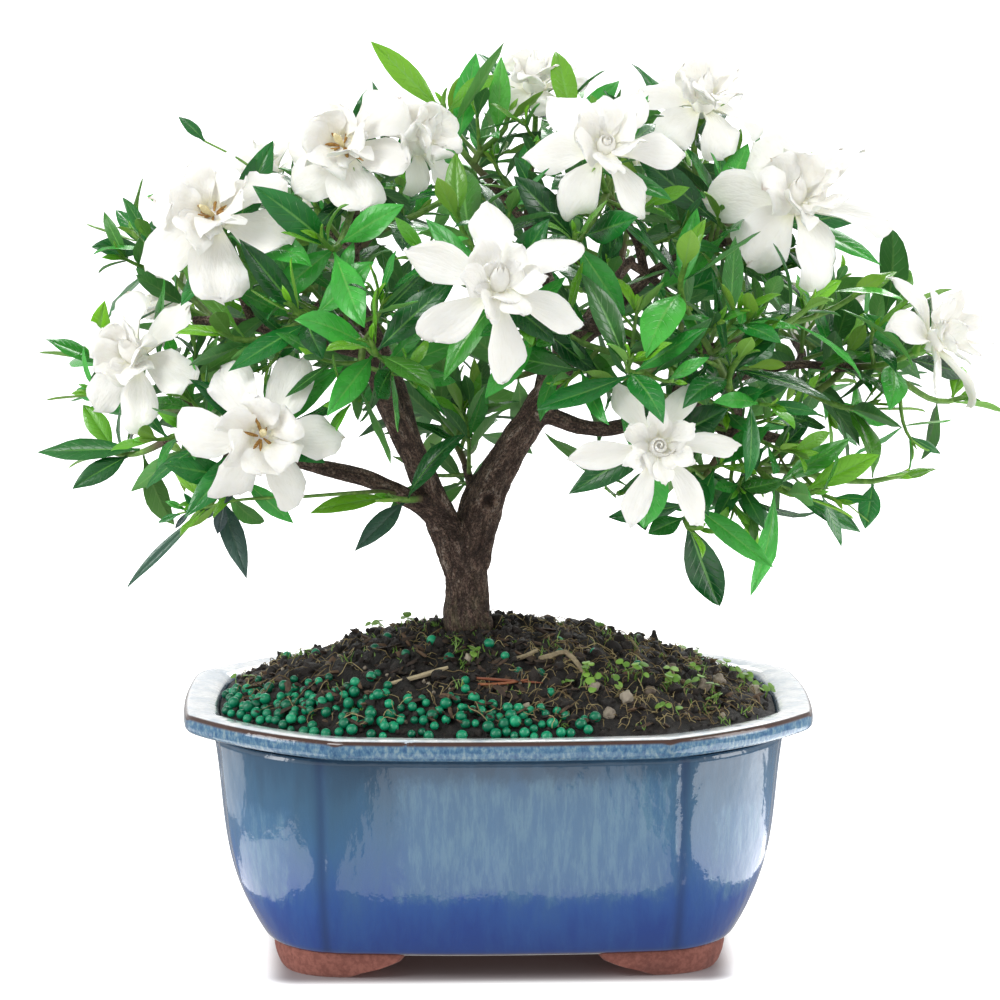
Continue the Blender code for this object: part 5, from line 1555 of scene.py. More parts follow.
def petal_grid(blade, rng, habit, curl):
    """A petal on its blade's arc: clawed at the foot, cupped in the middle, its tip rolled back by curl."""
    breadth, square, steep, ruffle, cup, _ = PETAL_HABITS[habit]
    u, v = PETAL_ALONG, PETAL_ACROSS
    centre, heading, normal = spine(blade, u, curl, 0.52)
    twist = rng.uniform(-0.55, 0.55)
    side, normal = rolled(heading, normal, blade["roll"] * smooth(u * 3) + twist * u ** 2)
    sway = rng.uniform(-0.11, 0.11) * blade["length"]
    centre = centre + side * (sway * u ** 2)[:, None]
    half = petal_halves(blade, rng, breadth, square, steep)
    depth = np.abs(v)
    middle = cup * rng.uniform(0.6, 1.4)
    tip = rng.uniform(-1.1, 0.25)
    bend = np.interp(u, (0, 0.3, 0.7, 1), (1.7, middle, 0.3 * middle + 0.4 * tip, tip))[:, None]
    bend = np.where(np.abs(bend) < 0.05, 0.05, bend)
    out = half * np.sin(bend * v) / bend
    lift = half * (1 - np.cos(bend * v)) / bend
    phase = rng.uniform(0, math.tau)
    wave = np.sin(math.tau * (rng.uniform(0.9, 1.7) * u[:, None] + 0.3 * v) + phase)
    fine = np.sin(math.tau * (rng.uniform(2.4, 3.4) * u[:, None] - 0.4 * v) + phase * 2)
    edge = depth ** 2.2 * smooth(u * 1.7)[:, None]
    lift = lift + half * ruffle * (wave + 0.45 * fine) * edge
    pleats = np.sin(v * rng.uniform(5, 8) + phase) * smooth((u - 0.3) * 1.6)[:, None]
    lift = lift + half * 0.045 * pleats
    rolled_edge = rng.uniform(0.0, 0.45) * np.clip(v * rng.choice((-1, 1)) - 0.45, 0, 1) ** 1.5
    lift = lift - half * rolled_edge * 2.2 * smooth((u - 0.15) * 2)[:, None]
    tattered = {"torn": 1.6, "ruffled": 1.0}.get(habit, 0.35)
    ragged = np.array([rng.uniform(-1, 1) for _ in v]) * 0.035 * blade["length"] * tattered
    if habit == "torn":
        ragged = ragged + v * rng.uniform(-0.09, 0.09) * blade["length"]
    push = ragged * (u ** 5)[:, None]
    if habit in ("star", "pointed", "slim"):
        push = push - 0.10 * blade["length"] * (depth ** 2) * (u ** 6)[:, None]
    return (
        centre[:, None, :] + side[:, None, :] * out[:, :, None] + normal[:, None, :] * lift[:, :, None]
        + heading[:, None, :] * push[:, :, None]
    )


def add_petal(model, blade, rng, habit, low_curl=-0.2, high_curl=0.55):
    """A petal with its tip curled back by a random amount, or now and then rolled right back."""
    curl = rng.uniform(low_curl, high_curl)
    if rng.random() < PETAL_HABITS[habit][-1]:
        curl = rng.uniform(0.9, 1.9)
    grid = petal_grid(blade, rng, habit, curl)
    spotted = float(rng.random() < 0.2)
    model.add_sheet(grid, PETAL_FINE_THICK, (0, 0), PETAL_ACROSS, rng.uniform(0, 9), spotted)


def add_furl(model, heart, axis, across, rng, size=1.0, closing=0.85):
    """The unopened middle: petals rolled into a bud, each turn over the next, and the outer one flaring."""
    s = np.linspace(0, 1, FURL_ROWS)[:, None]
    t = np.linspace(0, 1, FURL_COLUMNS)[None, :]
    other = np.array(axis.cross(across))
    turn = rng.uniform(0, math.tau) + t * math.tau * FURL_TURNS
    radius = (0.25 + 3.3 * t ** 0.8) * (0.72 + 0.28 * np.sin(math.pi * s ** 0.9))
    radius = np.maximum(radius - closing * smooth((s - 0.55) / 0.45) * np.clip(t * 6, 0, 1), 0.12)
    radius = radius + (2.3 + 2.0 * (0.85 - closing)) * smooth((t - 0.86) / 0.14) * s ** 2
    tall = FURL_TALL if closing > 0.5 else FURL_SQUAT
    height = -0.5 + s * (tall - 0.29 * tall * t ** 0.8 + 0.6 * np.sin(turn * 1.5))
    grid = (
        np.array(heart) + np.array(axis) * (height * size)[:, :, None]
        + np.array(across) * (radius * size * np.cos(turn))[:, :, None]
        + other * (radius * size * np.sin(turn))[:, :, None]
    )
    model.add_sheet(grid, FURL_THICK, (0, 0), np.linspace(-1, 1, FURL_COLUMNS), rng.uniform(0, 9))


def heart_petals(heart, axis, across, reach, rng, count, length, opening, breadth):
    """A ring of small petals round the middle of a flower."""
    first = rng.uniform(0, 360)
    found = []
    for k in range(count):
        out = around(axis, across, math.radians(first + 360 * k / count + rng.uniform(-9, 9)))
        tilt = math.radians(opening + rng.uniform(-8, 8))
        found.append({
            "root": heart + out * 2.2 + axis * 2.0, "way": axis * math.cos(tilt) + out * math.sin(tilt),
            "up": axis, "length": reach * length * rng.uniform(0.9, 1.1),
            "width": reach * breadth * rng.uniform(0.9, 1.1), "bend": -0.35 * rng.uniform(0.4, 1.4),
            "roll": 0.35,
        })
    return found


def add_stamens(model, heart, axis, across, rng):
    """A club-headed style and the curled brown anthers round it."""
    other = axis.cross(across)
    lean = across * rng.uniform(-0.2, 0.2) + other * rng.uniform(-0.2, 0.2)
    club = [heart + (axis + lean) * step for step in (1.0, 4.5, 7.5, 10.5)]
    model.add_tube(club, [0.7, 0.8, 1.25, 0.5], 8, 2, 1.0)
    for k in range(ANTHERS):
        out = around(axis, across, math.tau * k / ANTHERS + rng.uniform(-0.55, 0.55))
        curl = across * rng.uniform(-0.7, 0.7) + other * rng.uniform(-0.7, 0.7)
        curl = curl + axis * rng.uniform(-0.2, 0.8)
        long = rng.uniform(0.65, 1.3)
        path = [
            heart + axis * (2.5 + 3.2 * s) + out * (1.0 + 6.5 * s * long) + curl * 4 * s * s
            for s in (0, 0.25, 0.5, 0.75, 1)
        ]
        model.add_tube(path, [0.3, 0.55, 0.62, 0.5, 0.14], 6, 2)


def add_heart(model, name, heart, axis, across, rng):
    """A flower's middle: open on its stamens, or furled round a bud that faces as it does or turns up."""
    _, _, reach, _, _, breadth = bloom_facts(name)
    lifted = (axis + UP * 0.45).normalized()
    turned_up = side_of(lifted, across)
    if name in OPEN_HEARTED:
        petals = heart_petals(heart, axis, across, reach, rng, 5, 0.46, 52, breadth * 0.5)
        add_stamens(model, heart, axis, across, rng)
    elif name in HEAD_ON:
        petals = heart_petals(heart, axis, across, reach, rng, 6, 0.38, 50, 0.30)
        add_furl(model, heart + axis * 0.5, axis, across, rng, 1.0, 0.1)
    elif BLOOM_HABITS[name] == "slim":
        petals = heart_petals(heart, axis, across, reach, rng, 6, 0.36, 52, 0.28)
        add_furl(model, heart + axis * 0.5, lifted, turned_up, rng, 0.72)
    else:
        petals = heart_petals(heart, axis, across, reach, rng, 4, 0.36, 38, 0.28)
        add_furl(model, heart + axis * 1.0, lifted, turned_up, rng, 0.9)
    for blade in petals:
        add_petal(model, blade, rng, "pointed", 0.1, 1.2)


def add_calyx(model, heart, axis, across, rng):
    """The flower's foot: the swollen middle under the petals, a green cup and six narrow sepals."""
    core = [heart + axis * step for step in (-8, -5, -2.5, 0.0, 2.2)]
    model.add_tube(core, [1.5, 1.9, 3.0, 4.0, 3.2], 14)
    model.add_tube([heart + axis * step for step in (-8.2, -6.2, -4.0)], [1.6, 2.3, 2.2], 10, 1)
    for k in range(6):
        out = around(axis, across, math.tau * (k + 0.5) / 6)
        sepal = {
            "root": heart - axis * 5.0 + out * 2.0, "way": (axis + out * 0.75).normalized(), "up": axis,
            "length": rng.uniform(*SEPAL_LENGTHS), "bend": 0.5, "fold": 0.3,
        }
        half = SEPAL_WIDTH / 2 * (1 - np.linspace(0, 1, 6)) ** 0.7 + 0.05
        model.add_folded(sepal, half, np.linspace(-1, 1, 3), 0.5, 1)


def make_bloom(name, blades, finishes):
    """A flower: the two whorls of its solid, its heart and its calyx."""
    rng = random.Random(name)
    heart, turned, *_ = bloom_facts(name)
    axis = facing(*turned)
    across = side_of(axis, UP)
    model = Model()
    habit = BLOOM_HABITS[name]
    for blade in blades:
        if blade["kind"] == "outer":
            add_petal(model, blade, rng, habit)
        else:
            wider = dict(blade, width=blade["width"] * (0.95 if habit in ("star", "slim") else 1.1))
            add_petal(model, wider, rng, habit, -0.1, 0.9)
    add_heart(model, name, heart, axis, across, rng)
    add_calyx(model, heart, axis, across, rng)
    model.build(name.replace("bloom", "flower"), "petal", finishes, name)


# Wood

WOOD_VOXEL = 0.68
LIMB_SIDES = 20
FINE_STEP = 2.5  # spacing of the points along a limb's smoothed line, and along a twig
TWIG_STEP = 5
LIMB_RUN = 40.0  # how far apart in the bark's grain two limbs start
TWIG_FINE_SIDES = 9
# A knot under the fork: its middle, its radius, its raised lip and the hollow inside
KNOT = Vector((-2.8, -8.0, 145.3))
KNOT_RADIUS = 3.1
KNOT_LIP = 1.3
KNOT_HOLLOW = 1.8
LIP_TONE = 0.6  # how much the lip's height lightens it
# The bark's ridges and lumps: how fine they are and how high, in full from a limb of this radius up
RIDGE_SCALE = 0.42
RIDGE_HEIGHT = 0.7
LUMP_SCALE = 0.09
LUMP_HEIGHT = 0.75
ROUGHEST_RADIUS = 6.5


def smoothed(line):
    """A limb's centre line and radii, rounded through its own points."""
    points = np.array(line, float)
    padded = np.vstack((2 * points[0] - points[1], points, 2 * points[-1] - points[-2]))
    found = []
    for k in range(1, len(padded) - 2):
        a, b, c, d = padded[k - 1:k + 3]
        steps = max(2, round(float(np.linalg.norm((c - b)[:3])) / FINE_STEP))
        for n in range(steps):
            t = n / steps
            found.append(
                b + (c - a) * 0.5 * t + (a - 2.5 * b + 2 * c - 0.5 * d) * t * t
                + (-0.5 * a + 1.5 * b - 1.5 * c + 0.5 * d) * t ** 3
            )
    found.append(points[-1])
    return [Vector(p[:3]) for p in found], [float(p[3]) for p in found]


def wood_mesh(limbs):
    """One skin round the overlapping limbs, as arrays of points, normals and faces."""
    points, faces = [], []
    for path, radii in limbs:
        some, sides = loft(tube(path, radii, LIMB_SIDES))
        faces += [tuple(k + len(points) for k in face) for face in sides]
        points += some
    body = new_object("limbs", [p * MM for p in points], faces)
    skin = body.modifiers.new("skin", "REMESH")
    skin.mode = "VOXEL"
    skin.voxel_size = WOOD_VOXEL * MM
    body.modifiers.new("relax", "SMOOTH").iterations = 3
    found = modified_mesh(body)
    bpy.data.objects.remove(body)
    return found


def grain_samples(limbs):
    """Points along the limbs with a frame and the distance run, so that bark follows the wood."""
    samples = []
    for number, (path, radii) in enumerate(limbs):
        side = side_of((path[1] - path[0]).normalized(), Vector((1, 0.2, 0)))
        run = LIMB_RUN * number
        for k, point in enumerate(path):
            way = (path[min(k + 1, len(path) - 1)] - path[max(k - 1, 0)]).normalized()
            side = side_of(way, side)
            samples.append((point, side, way.cross(side), way, run, radii[k]))
            run += FINE_STEP
    tree = KDTree(len(samples))
    for k, sample in enumerate(samples):
        tree.insert(sample[0], k)
    tree.balance()
    return samples, tree


def make_wood(twigs, finish):
    """The trunk and limbs in one rough skin, and the thin twigs on them."""
    limbs = [smoothed(line) for _, line in WOOD.values()]
    points, normals, quads = wood_mesh(limbs)
    samples, tree = grain_samples(limbs)
    values = np.zeros((len(points), 4))
    for k, (point, normal) in enumerate(zip(points, normals)):
        near, side, other, way, run, radius = samples[tree.find(point)[1]]
        gap = Vector(point) - near
        grain = Vector((gap.dot(side), gap.dot(other), (run + gap.dot(way)) * 0.3))
        ridge = noise.fractal(grain * RIDGE_SCALE, 1.0, 2.1, 3)
        lump = noise.noise(Vector(point) * LUMP_SCALE)
        knot = math.hypot(point[0] - KNOT.x, point[2] - KNOT.z) / KNOT_RADIUS
        ring = KNOT_LIP * math.exp(-((knot - 1) / 0.35) ** 2) - KNOT_HOLLOW * math.exp(-(knot / 0.6) ** 2)
        ring *= point[1] < 0
        size = min(1.0, radius / ROUGHEST_RADIUS)
        points[k] += normal * (ridge * RIDGE_HEIGHT * size + lump * LUMP_HEIGHT * size + ring)
        values[k] = (*grain, ridge + (LIP_TONE if ring > 0 else 1.0) * ring)
    model = Model()
    model.add(points, quads, 0, values)
    for number, (path, radii) in enumerate(twigs):
        fine = resampled(path, TWIG_STEP)
        count = len(fine) - 1
        tapered = [radii[0] + (radii[-1] - radii[0]) * k / count for k in range(count + 1)]
        knobbly = [r * (1 + 0.13 * noise.noise(p * 0.21)) for p, r in zip(fine, tapered)]
        turns = [math.tau * n / TWIG_FINE_SIDES for n in range(TWIG_FINE_SIDES)]
        grain = [
            (r * math.cos(t), r * math.sin(t), k * 1.5 + number * 9, 0)
            for k, r in enumerate(knobbly) for t in turns
        ]
        model.add(*loft(tube(fine, knobbly, len(turns))), 0, grain)
    model.build("bark_and_twigs", "bark", [finish], "trunk", sharp=80)


# Pot

CROWDING = 0.72  # how far the outline's points draw together at the creases


def crowded(count):
    """Shares along a panel, closest together at its ends."""
    return [k / count - CROWDING * math.sin(math.tau * k / count) / math.tau for k in range(count)]


FINE_STEPS = [crowded(count) for count in (36, 24, 18)]  # along a front, a corner and a side panel
CREASE_DEPTH = 0.9  # how deep a crease is sunk, and how widely
CREASE_REACH = 1.7
FOOT_ROUND = 2.6  # radius of the wall's rounded foot
# Height and inset from the wall's top plan, round the neck under the rim
NECK_LEVELS = ((71.8, 0.1), (72.8, 0.7), (73.3, 0.9), (73.6, 0.2), (73.8, -1.8))
# Height and inset from the rim's plan, from its underside over the top to the inner edge
RIM_LEVELS = (
    (74.0, 5.0), (74.15, 3.2), (74.45, 1.7), (75.0, 0.75), (75.8, 0.2), (76.8, 0.0), (78.4, 0.0),
    (79.5, 0.12), (80.3, 0.5), (80.8, 1.2), (81.0, 2.1), (80.95, 4.0), (80.75, 6.0), (80.5, 8.0),
    (80.15, 9.4), (79.6, 10.4), (78.8, 11.1), (77.5, 11.5), (75.5, 12.0),
)
# Down inside: the heights of the rings, and the wall's thickness at four heights
INNER_HEIGHTS = (72, 67, 62, 54, 46, 38, 30, 22, 16)
WALL_HEIGHTS = (14, 30, 62, 72)
WALL_THICK = (8, 6, 6, 7)
FLOOR_INSETS = (9.5, 32)
FOOT_LEVELS = 13
FOOT_STEPS = 14  # along a foot's bevelled corner
FOOT_BEVEL = 1.2
FOOT_SPLAY = 0.7  # how far a foot spreads where it stands, and how quickly that fades
FOOT_SPLAY_HEIGHT = 0.5
DRILL_SIDES = 32
# Where the glaze has run thin on the rim: how far in, how widely, and only above this height
WORN_INSET = 0.7
WORN_SPREAD = 0.62
WORN_ABOVE = 79.3
SAG_SCALE = 0.035  # how fine the wall's slow waves are, and how high
SAG = 0.22
# The painted reflection, a pale field on each panel: middle and half breadth along it, lowest and highest
# place
PAINTED_REFLECTIONS = {
    "front": (11.0, 45.0, 27.0, 69.0), "back": (-11.0, 45.0, 27.0, 69.0), "side": (0.0, 24.0, 27.0, 69.0),
    "corner": (0.0, 10.0, 24.0, 56.0),
}
REFLECTION_EDGE = 16  # over how much the pale field fades


def bowed(start, end, bow, shares):
    """Points at shares of the way from start to end, on an arc that swells bow to the right of the way."""
    chord = Vector(end) - Vector(start)
    out = Vector((chord.y, -chord.x)).normalized()
    return [Vector(start) + chord * t + out * bow * 4 * t * (1 - t) for t in shares]


def creases(plan, inset=0.0):
    """Where an outline's creases are: x and y of its side and front lines, and of the creases along them."""
    length, depth, crease_x, crease_y = plan
    x, y = length - BOW[2] - inset, depth - BOW[0] - inset
    return x, y, crease_x - inset * 0.42, crease_y - inset * 0.42


def outline(plan, inset=0.0):
    """The eight-panelled plan outline, anticlockwise from the front left crease."""
    x, y, cx, cy = creases(plan, inset)
    corners = [(-cx, -y), (cx, -y), (x, -cy), (x, cy), (cx, y), (-cx, y), (-x, cy), (-x, -cy)]
    found = []
    for k, kind in enumerate((0, 1, 2, 1, 0, 1, 2, 1)):
        found += bowed(corners[k], corners[(k + 1) % 8], BOW[kind], FINE_STEPS[kind])
    return found


def wall_share(z):
    """How far up the wall a height is, as a share."""
    return (z - BODY_BOTTOM) / (BODY_TOP - BODY_BOTTOM)


def wall_plan(z):
    """The wall's plan at a height, from its flare."""
    u = min(max(wall_share(z), 0), 1)
    for (a, share_a), (b, share_b) in zip(WALL_PROFILE, WALL_PROFILE[1:]):
        if u <= b:
            share = share_a + (share_b - share_a) * (u - a) / (b - a)
            return mixed(BODY_FOOT_PLAN, BODY_TOP_PLAN, share)
    return BODY_TOP_PLAN


def flared_plan(z):
    """The wall's plan at a height, smoothly opening from its foot plan to its top plan."""
    heights, shares = zip(*WALL_PROFILE)
    u = min(max(wall_share(z), 0.0), 1.0)
    return mixed(BODY_FOOT_PLAN, BODY_TOP_PLAN, float(np.polyval(np.polyfit(heights, shares, 4), u)))


def crease_places(plan, inset=0.0):
    """Where the eight creases of an outline are."""
    x, y, cx, cy = creases(plan, inset)
    return np.array([(sx * a, sy * b) for a, b in ((cx, y), (x, cy)) for sx in (-1, 1) for sy in (-1, 1)])


def fine_ring(plan, z, inset, groove=0.0):
    """One level of the pot, with its creases softened and sunk by groove."""
    ring = np.array([tuple(p) for p in outline(plan, inset)])
    corners = crease_places(plan, inset)
    gap = np.min(np.linalg.norm(ring[:, None, :] - corners[None, :, :], axis=2), axis=1)
    for _ in range(2):
        ring = (np.roll(ring, 1, 0) + 2 * ring + np.roll(ring, -1, 0)) / 4
    inward = -ring / np.linalg.norm(ring, axis=1, keepdims=True)
    ring = ring + inward * (groove * np.exp(-(gap / CREASE_REACH) ** 2))[:, None]
    return [Vector((x, y, z)) for x, y in ring]


def pot_levels():
    """Rings from the middle of the underside, up the outside, over the rim and down inside to the floor."""
    rings = [fine_ring(BODY_FOOT_PLAN, BODY_BOTTOM, 30), fine_ring(BODY_FOOT_PLAN, BODY_BOTTOM, 4)]
    for turn in (25, 50, 75):
        t = math.radians(turn)
        z = BODY_BOTTOM + FOOT_ROUND * (1 - math.cos(t))
        rings.append(fine_ring(flared_plan(z), z, FOOT_ROUND * (1 - math.sin(t)), 0.4))
    for z in np.arange(BODY_BOTTOM + 3.0, BODY_TOP - 1.5, 2.0):
        rings.append(fine_ring(flared_plan(z), z, 0.0, CREASE_DEPTH * (0.5 + 0.5 * wall_share(z))))
    rings += [fine_ring(BODY_TOP_PLAN, z, inset, CREASE_DEPTH) for z, inset in NECK_LEVELS]
    rings += [fine_ring(RIM_PLAN, z, inset, 0.3) for z, inset in RIM_LEVELS]
    for z in INNER_HEIGHTS:
        inset = float(np.interp(z, WALL_HEIGHTS, WALL_THICK))
        rings.append(fine_ring(wall_plan(z), z, inset))
    return rings + [fine_ring(wall_plan(FLOOR_TOP), FLOOR_TOP, inset) for inset in FLOOR_INSETS]


def drilled(points, faces):
    """The pot's points and faces with its two drain holes cut through the floor."""
    body = new_object("pot_body", [Vector(p) * MM for p in points], faces)
    turns = [math.tau * k / DRILL_SIDES for k in range(DRILL_SIDES)]
    drills = []
    for x in (-DRAIN_X, DRAIN_X):
        rings = [
            [Vector((x + DRAIN_RADIUS * math.cos(t), DRAIN_RADIUS * math.sin(t), z)) for t in turns]
            for z in (0, FLOOR_TOP + 10)
        ]
        drill_points, drill_faces = loft(rings)
        drills.append(new_object("drill", [p * MM for p in drill_points], drill_faces))
    for drill in drills:
        cut = body.modifiers.new("drain", "BOOLEAN")
        cut.operation = "DIFFERENCE"
        cut.object = drill
        cut.solver = "EXACT"
    places, _, kept = modified_mesh(body)
    for used in (body, *drills):
        bpy.data.objects.remove(used)
    return places, kept


def foot_rings(sign_x, sign_y):
    """A scalloped clay foot that wraps a corner, its top sunk into the pot's underside."""
    _, _, crease_x, crease_y = BODY_FOOT_PLAN
    heights = [stage[0] for stage in FEET]
    rings = []
    for z in np.linspace(0, heights[-1], FOOT_LEVELS):
        front_x, side_y, inset = (float(np.interp(z, heights, [s[k] for s in FEET])) for k in (1, 2, 3))
        splay = FOOT_SPLAY * math.exp(-z / FOOT_SPLAY_HEIGHT)
        front_x += splay
        x, y, *_ = creases(BODY_FOOT_PLAN, inset + splay)
        t = (crease_x - front_x) / (2 * crease_x)
        swell = BOW[0] * 4 * t * (1 - t)
        side_x = x + BOW[2] * 0.6
        ring = [
            Vector((front_x, -y - swell + FOOT_BEVEL)), Vector((front_x + FOOT_BEVEL, -y - swell)),
            *bowed((crease_x, -y), (x, -crease_y), BOW[1], [k / FOOT_STEPS for k in range(FOOT_STEPS)]),
            Vector((x, -crease_y)), Vector((side_x, -side_y - FOOT_BEVEL)),
            Vector((side_x - FOOT_BEVEL, -side_y)),
            Vector((x - FOOT_THICK, -side_y)), Vector((x - FOOT_THICK, -crease_y + 2)),
            Vector((crease_x - 7, -y + FOOT_THICK)), Vector((front_x, -y + FOOT_THICK)),
        ]
        ring = [Vector((p.x * sign_x, p.y * -sign_y, z)) for p in ring]
        rings.append(ring if sign_x * sign_y < 0 else ring[::-1])
    return rings


def polar(ring, middle=(0, 0)):
    """An outline as sorted angles and reaches from a middle."""
    gaps = [(p[0] - middle[0], p[1] - middle[1]) for p in ring]
    pairs = sorted((math.atan2(y, x), math.hypot(x, y)) for x, y in gaps)
    return [a for a, _ in pairs], [r for _, r in pairs]


def reach_of(edge, x, y):
    """How far an outline is from its middle, towards x and y."""
    return np.interp(math.atan2(y, x), *edge, period=math.tau)


def panel_reflection(x, y, z):
    """How far a point lies inside the painted reflection, a pale ragged field on its panel of the pot, about
    0.5 at its edge.
    """
    length, depth, crease_x, crease_y = BODY_TOP_PLAN
    if abs(x) < crease_x and abs(y) > crease_y:
        place, kind = x, "front" if y < 0 else "back"
    elif abs(y) < crease_y:
        place, kind = y, "side"
    else:
        place = ((abs(x) - crease_x) / (length - crease_x) - (abs(y) - crease_y) / (depth - crease_y)) * 20
        kind = "corner"
    centre, half, low, high = PAINTED_REFLECTIONS[kind]
    inside = min(half - abs(place - centre), z - low, high - z)
    return min(max(0.5 + inside / REFLECTION_EDGE, 0.0), 1.0)


def make_pot(glaze, clay):
    """The glazed pot on its four clay feet."""
    points, faces = drilled(*loft(pot_levels()))
    rim_edge = polar(outline(RIM_PLAN))
    values = np.zeros((len(points), 4))
    for k, (x, y, z) in enumerate(points):
        plan = RIM_PLAN if z > BODY_TOP + 0.7 else flared_plan(z)
        near = np.min(np.linalg.norm(crease_places(plan) - np.array((x, y)), axis=1))
        inset = reach_of(rim_edge, x, y) - math.hypot(x, y)
        worn = math.exp(-((inset - WORN_INSET) / WORN_SPREAD) ** 2) if z > WORN_ABOVE else 0.0
        # Painted shade along the creases, weaker over the rim
        crease_shade = math.exp(-(near / CREASE_REACH) ** 2) * (0.3 if z > BODY_TOP else 1.0)
        values[k] = (crease_shade, worn, panel_reflection(x, y, z), 0)
        sag = noise.noise(Vector((x, y, z)) * SAG_SCALE) * SAG
        points[k] += np.array((x, y, 0)) / (math.hypot(x, y) + 1) * sag
    model = Model()
    model.add(points, faces, 0, values)
    for sign_x in (-1, 1):
        for sign_y in (-1, 1):
            model.add(*loft(foot_rings(sign_x, sign_y)), 1)
    model.build("glazed_pot", "blue_glaze", [glaze, clay], "pot", sharp=50)


# Soil, beads and what lies on them

SOIL_REACH_X = 92  # the soil lies within this of the pot's middle
SOIL_REACH_Y = 68
SOIL_ROUND = 300  # points round the mound
SOIL_SHARES = np.concatenate((np.linspace(0.985, 0.9, 8), np.linspace(0.885, 0.04, 58)))
WALL_CLEAR = 0.6  # between the soil and the pot's wall, and at the pot's mouth
MOUTH_CLEAR = 0.4
ROUGH_SCALE = 0.13  # how fine the soil's roughness is, and how high
ROUGH_HEIGHT = 1.9
CRUMBS = 2600
CRUMB_SIZES = (0.35, 0.45, 0.6, 0.8, 1.1)
CLODS = 220
HEAPED = 170
HEAP_BY_TRUNK = (3.0, -7.0)
HEAP_HEIGHT = 5.0
CHIPS = 430
GRITS = 90
FIBRES = 1100
TUFTS_BY_TRUNK = 60
TUFTS_STREWN = 120
BEAD_TRIES = 5200
BEAD_SIZES = (1.3, 1.4, 1.5, 1.6, 1.7, 1.85)  # radii
BEAD_SIDES = 12
LOOSE_BEAD_SIZES = (1.35, 1.8)  # least and greatest radius
BANK_RIGHT = 29.5  # where the bank of beads ends
BANK_FRINGE = 8  # how far behind its back edge beads are still strewn
THIN_PATCH = -0.05  # below this a patch has few beads
THICK_PATCH = 0.15  # above this they lie on each other
ON_BEADS = 2.4  # how high above the soil a thing lies that lies on the beads
LOOSE_BEADS = (
    (-21.5, -14), (-4, 9), (-3, -17), (18, 12), (20, -10), (20, -19), (6, -32), (13, -33), (31, -19),
    (45, -21), (-16, -24), (-52, 6), (-40, -8), (-36, 4), (2, -24), (-30, -22), (62, -6), (-60, 16),
    (-12, 30), (48, 22), (-44, 34), (24, 34), (70, 20), (-70, 30),
)
# How far back the beads lie at each x
BEAD_LIMIT = (
    (-92, 4), (-84, 2), (-74, -10), (-62, -22), (-52, -33), (-41, -38), (-34, -43), (-22, -41),
    (-10, -41), (-2, -45), (8, -49), (18, -48), (29, -50),
)
# Place and radius
PEBBLES = (
    (56, -16, 2.8), (72, -10, 2.6), (66, -27, 2.3), (40, -44, 2.4), (34, -52, 2.6), (84, -8, 2.3),
    (30, -40, 1.9), (70, 16, 2.4), (-10, -24, 1.7), (48, -36, 1.9), (8, -51, 1.5), (60, 28, 2.2),
)
# Place and how many leaves
WEEDS = (
    (26, -36, 5), (29, -38, 3), (56, -29, 5), (59, -26, 3), (66, -17, 3), (84, 4, 5), (87, -6, 4),
    (80, 12, 3), (-9, -24, 3), (-16, -23, 3), (-30, 14, 4), (45, -30, 3), (38, -34, 3), (70, -34, 4),
    (52, -46, 3), (-62, 12, 3), (-82, 6, 3), (34, 24, 5), (-40, 36, 4), (66, 32, 4), (12, 40, 4),
)
WEED_SPREAD = 1.9
# Lines over the soil: places and their heights above it
TWIG = ((-35.5, -38.0, 1.1), (-26.0, -34.0, 1.1), (-16.5, -31.0, 1.1))
TWIG_RADII = (0.5, 0.72, 0.8, 0.78, 0.82, 0.88, 0.85, 0.8, 0.5)
SHORT_ROOT = ((5.5, -26.5, 0.6), (8.5, -25.0, 1.6), (12.5, -23.5, 0.8))
ARCHED_ROOT = (
    (13.0, -27.0, 0.8), (17.0, -26.0, 2.6), (21.5, -27.0, 3.0), (25.5, -29.5, 2.0), (27.0, -34.0, 0.3),
)
NEEDLE = (
    ((-7.5, -39.5, 1.1), (4.0, -37.5, 1.1), (13.5, -40.0, 1.1)),
    ((-7.0, -41.6, 1.1), (1.0, -39.4, 1.1), (9.0, -39.2, 1.1)),
)
NEEDLE_RADII = (0.40, 0.48, 0.5, 0.5, 0.48, 0.45, 0.4, 0.32, 0.15)
GRIT_LOOKS = (  # name, dark and pale colour, and roughness where it isn't the usual one
    ("bark_chip", (0.022, 0.013, 0.009), (0.12, 0.07, 0.04)),
    ("pebble", (0.09, 0.065, 0.045), (0.36, 0.31, 0.24), 0.65),
    ("dry_root", (0.13, 0.085, 0.035), (0.42, 0.34, 0.16)),
    ("dry_needle", (0.20, 0.05, 0.02), (0.36, 0.13, 0.05), 0.55),
    ("tan_twig", (0.10, 0.07, 0.035), (0.46, 0.38, 0.24)),
)


def soil_height(x, y, share):
    """Height of the mound, where share is 0 at its middle and 1 at the pot's wall."""
    mound = SOIL_EDGE + (SOIL_PEAK - SOIL_EDGE) * (1 - share ** SOIL_SHARPNESS)
    clods = math.sin(x * 0.31 + 1.3) * math.sin(y * 0.37 + 0.4) + 0.7 * math.sin(x * 0.83 + y * 0.61)
    return mound + clods * (1 - share ** 6)


def mouth(clearance):
    """The soil's outline inside the pot's mouth, a clearance away from its slanted inner face."""
    low_z, inset = INSIDE[0]
    low = outline(wall_plan(low_z), inset + clearance)
    high = outline(RIM_PLAN, RIM_INNER_INSET + clearance)
    share = (SOIL_EDGE - low_z) / (RIM_INNER_Z - low_z)
    return [a.lerp(b, share) for a, b in zip(low, high)]


MOUTH = polar(mouth(MOUTH_CLEAR), SOIL_CENTRE)


def soil_share(x, y):
    """0 at the mound's middle and 1 at the pot's wall."""
    dx, dy = x - SOIL_CENTRE[0], y - SOIL_CENTRE[1]
    return math.hypot(dx, dy) / float(reach_of(MOUTH, dx, dy))


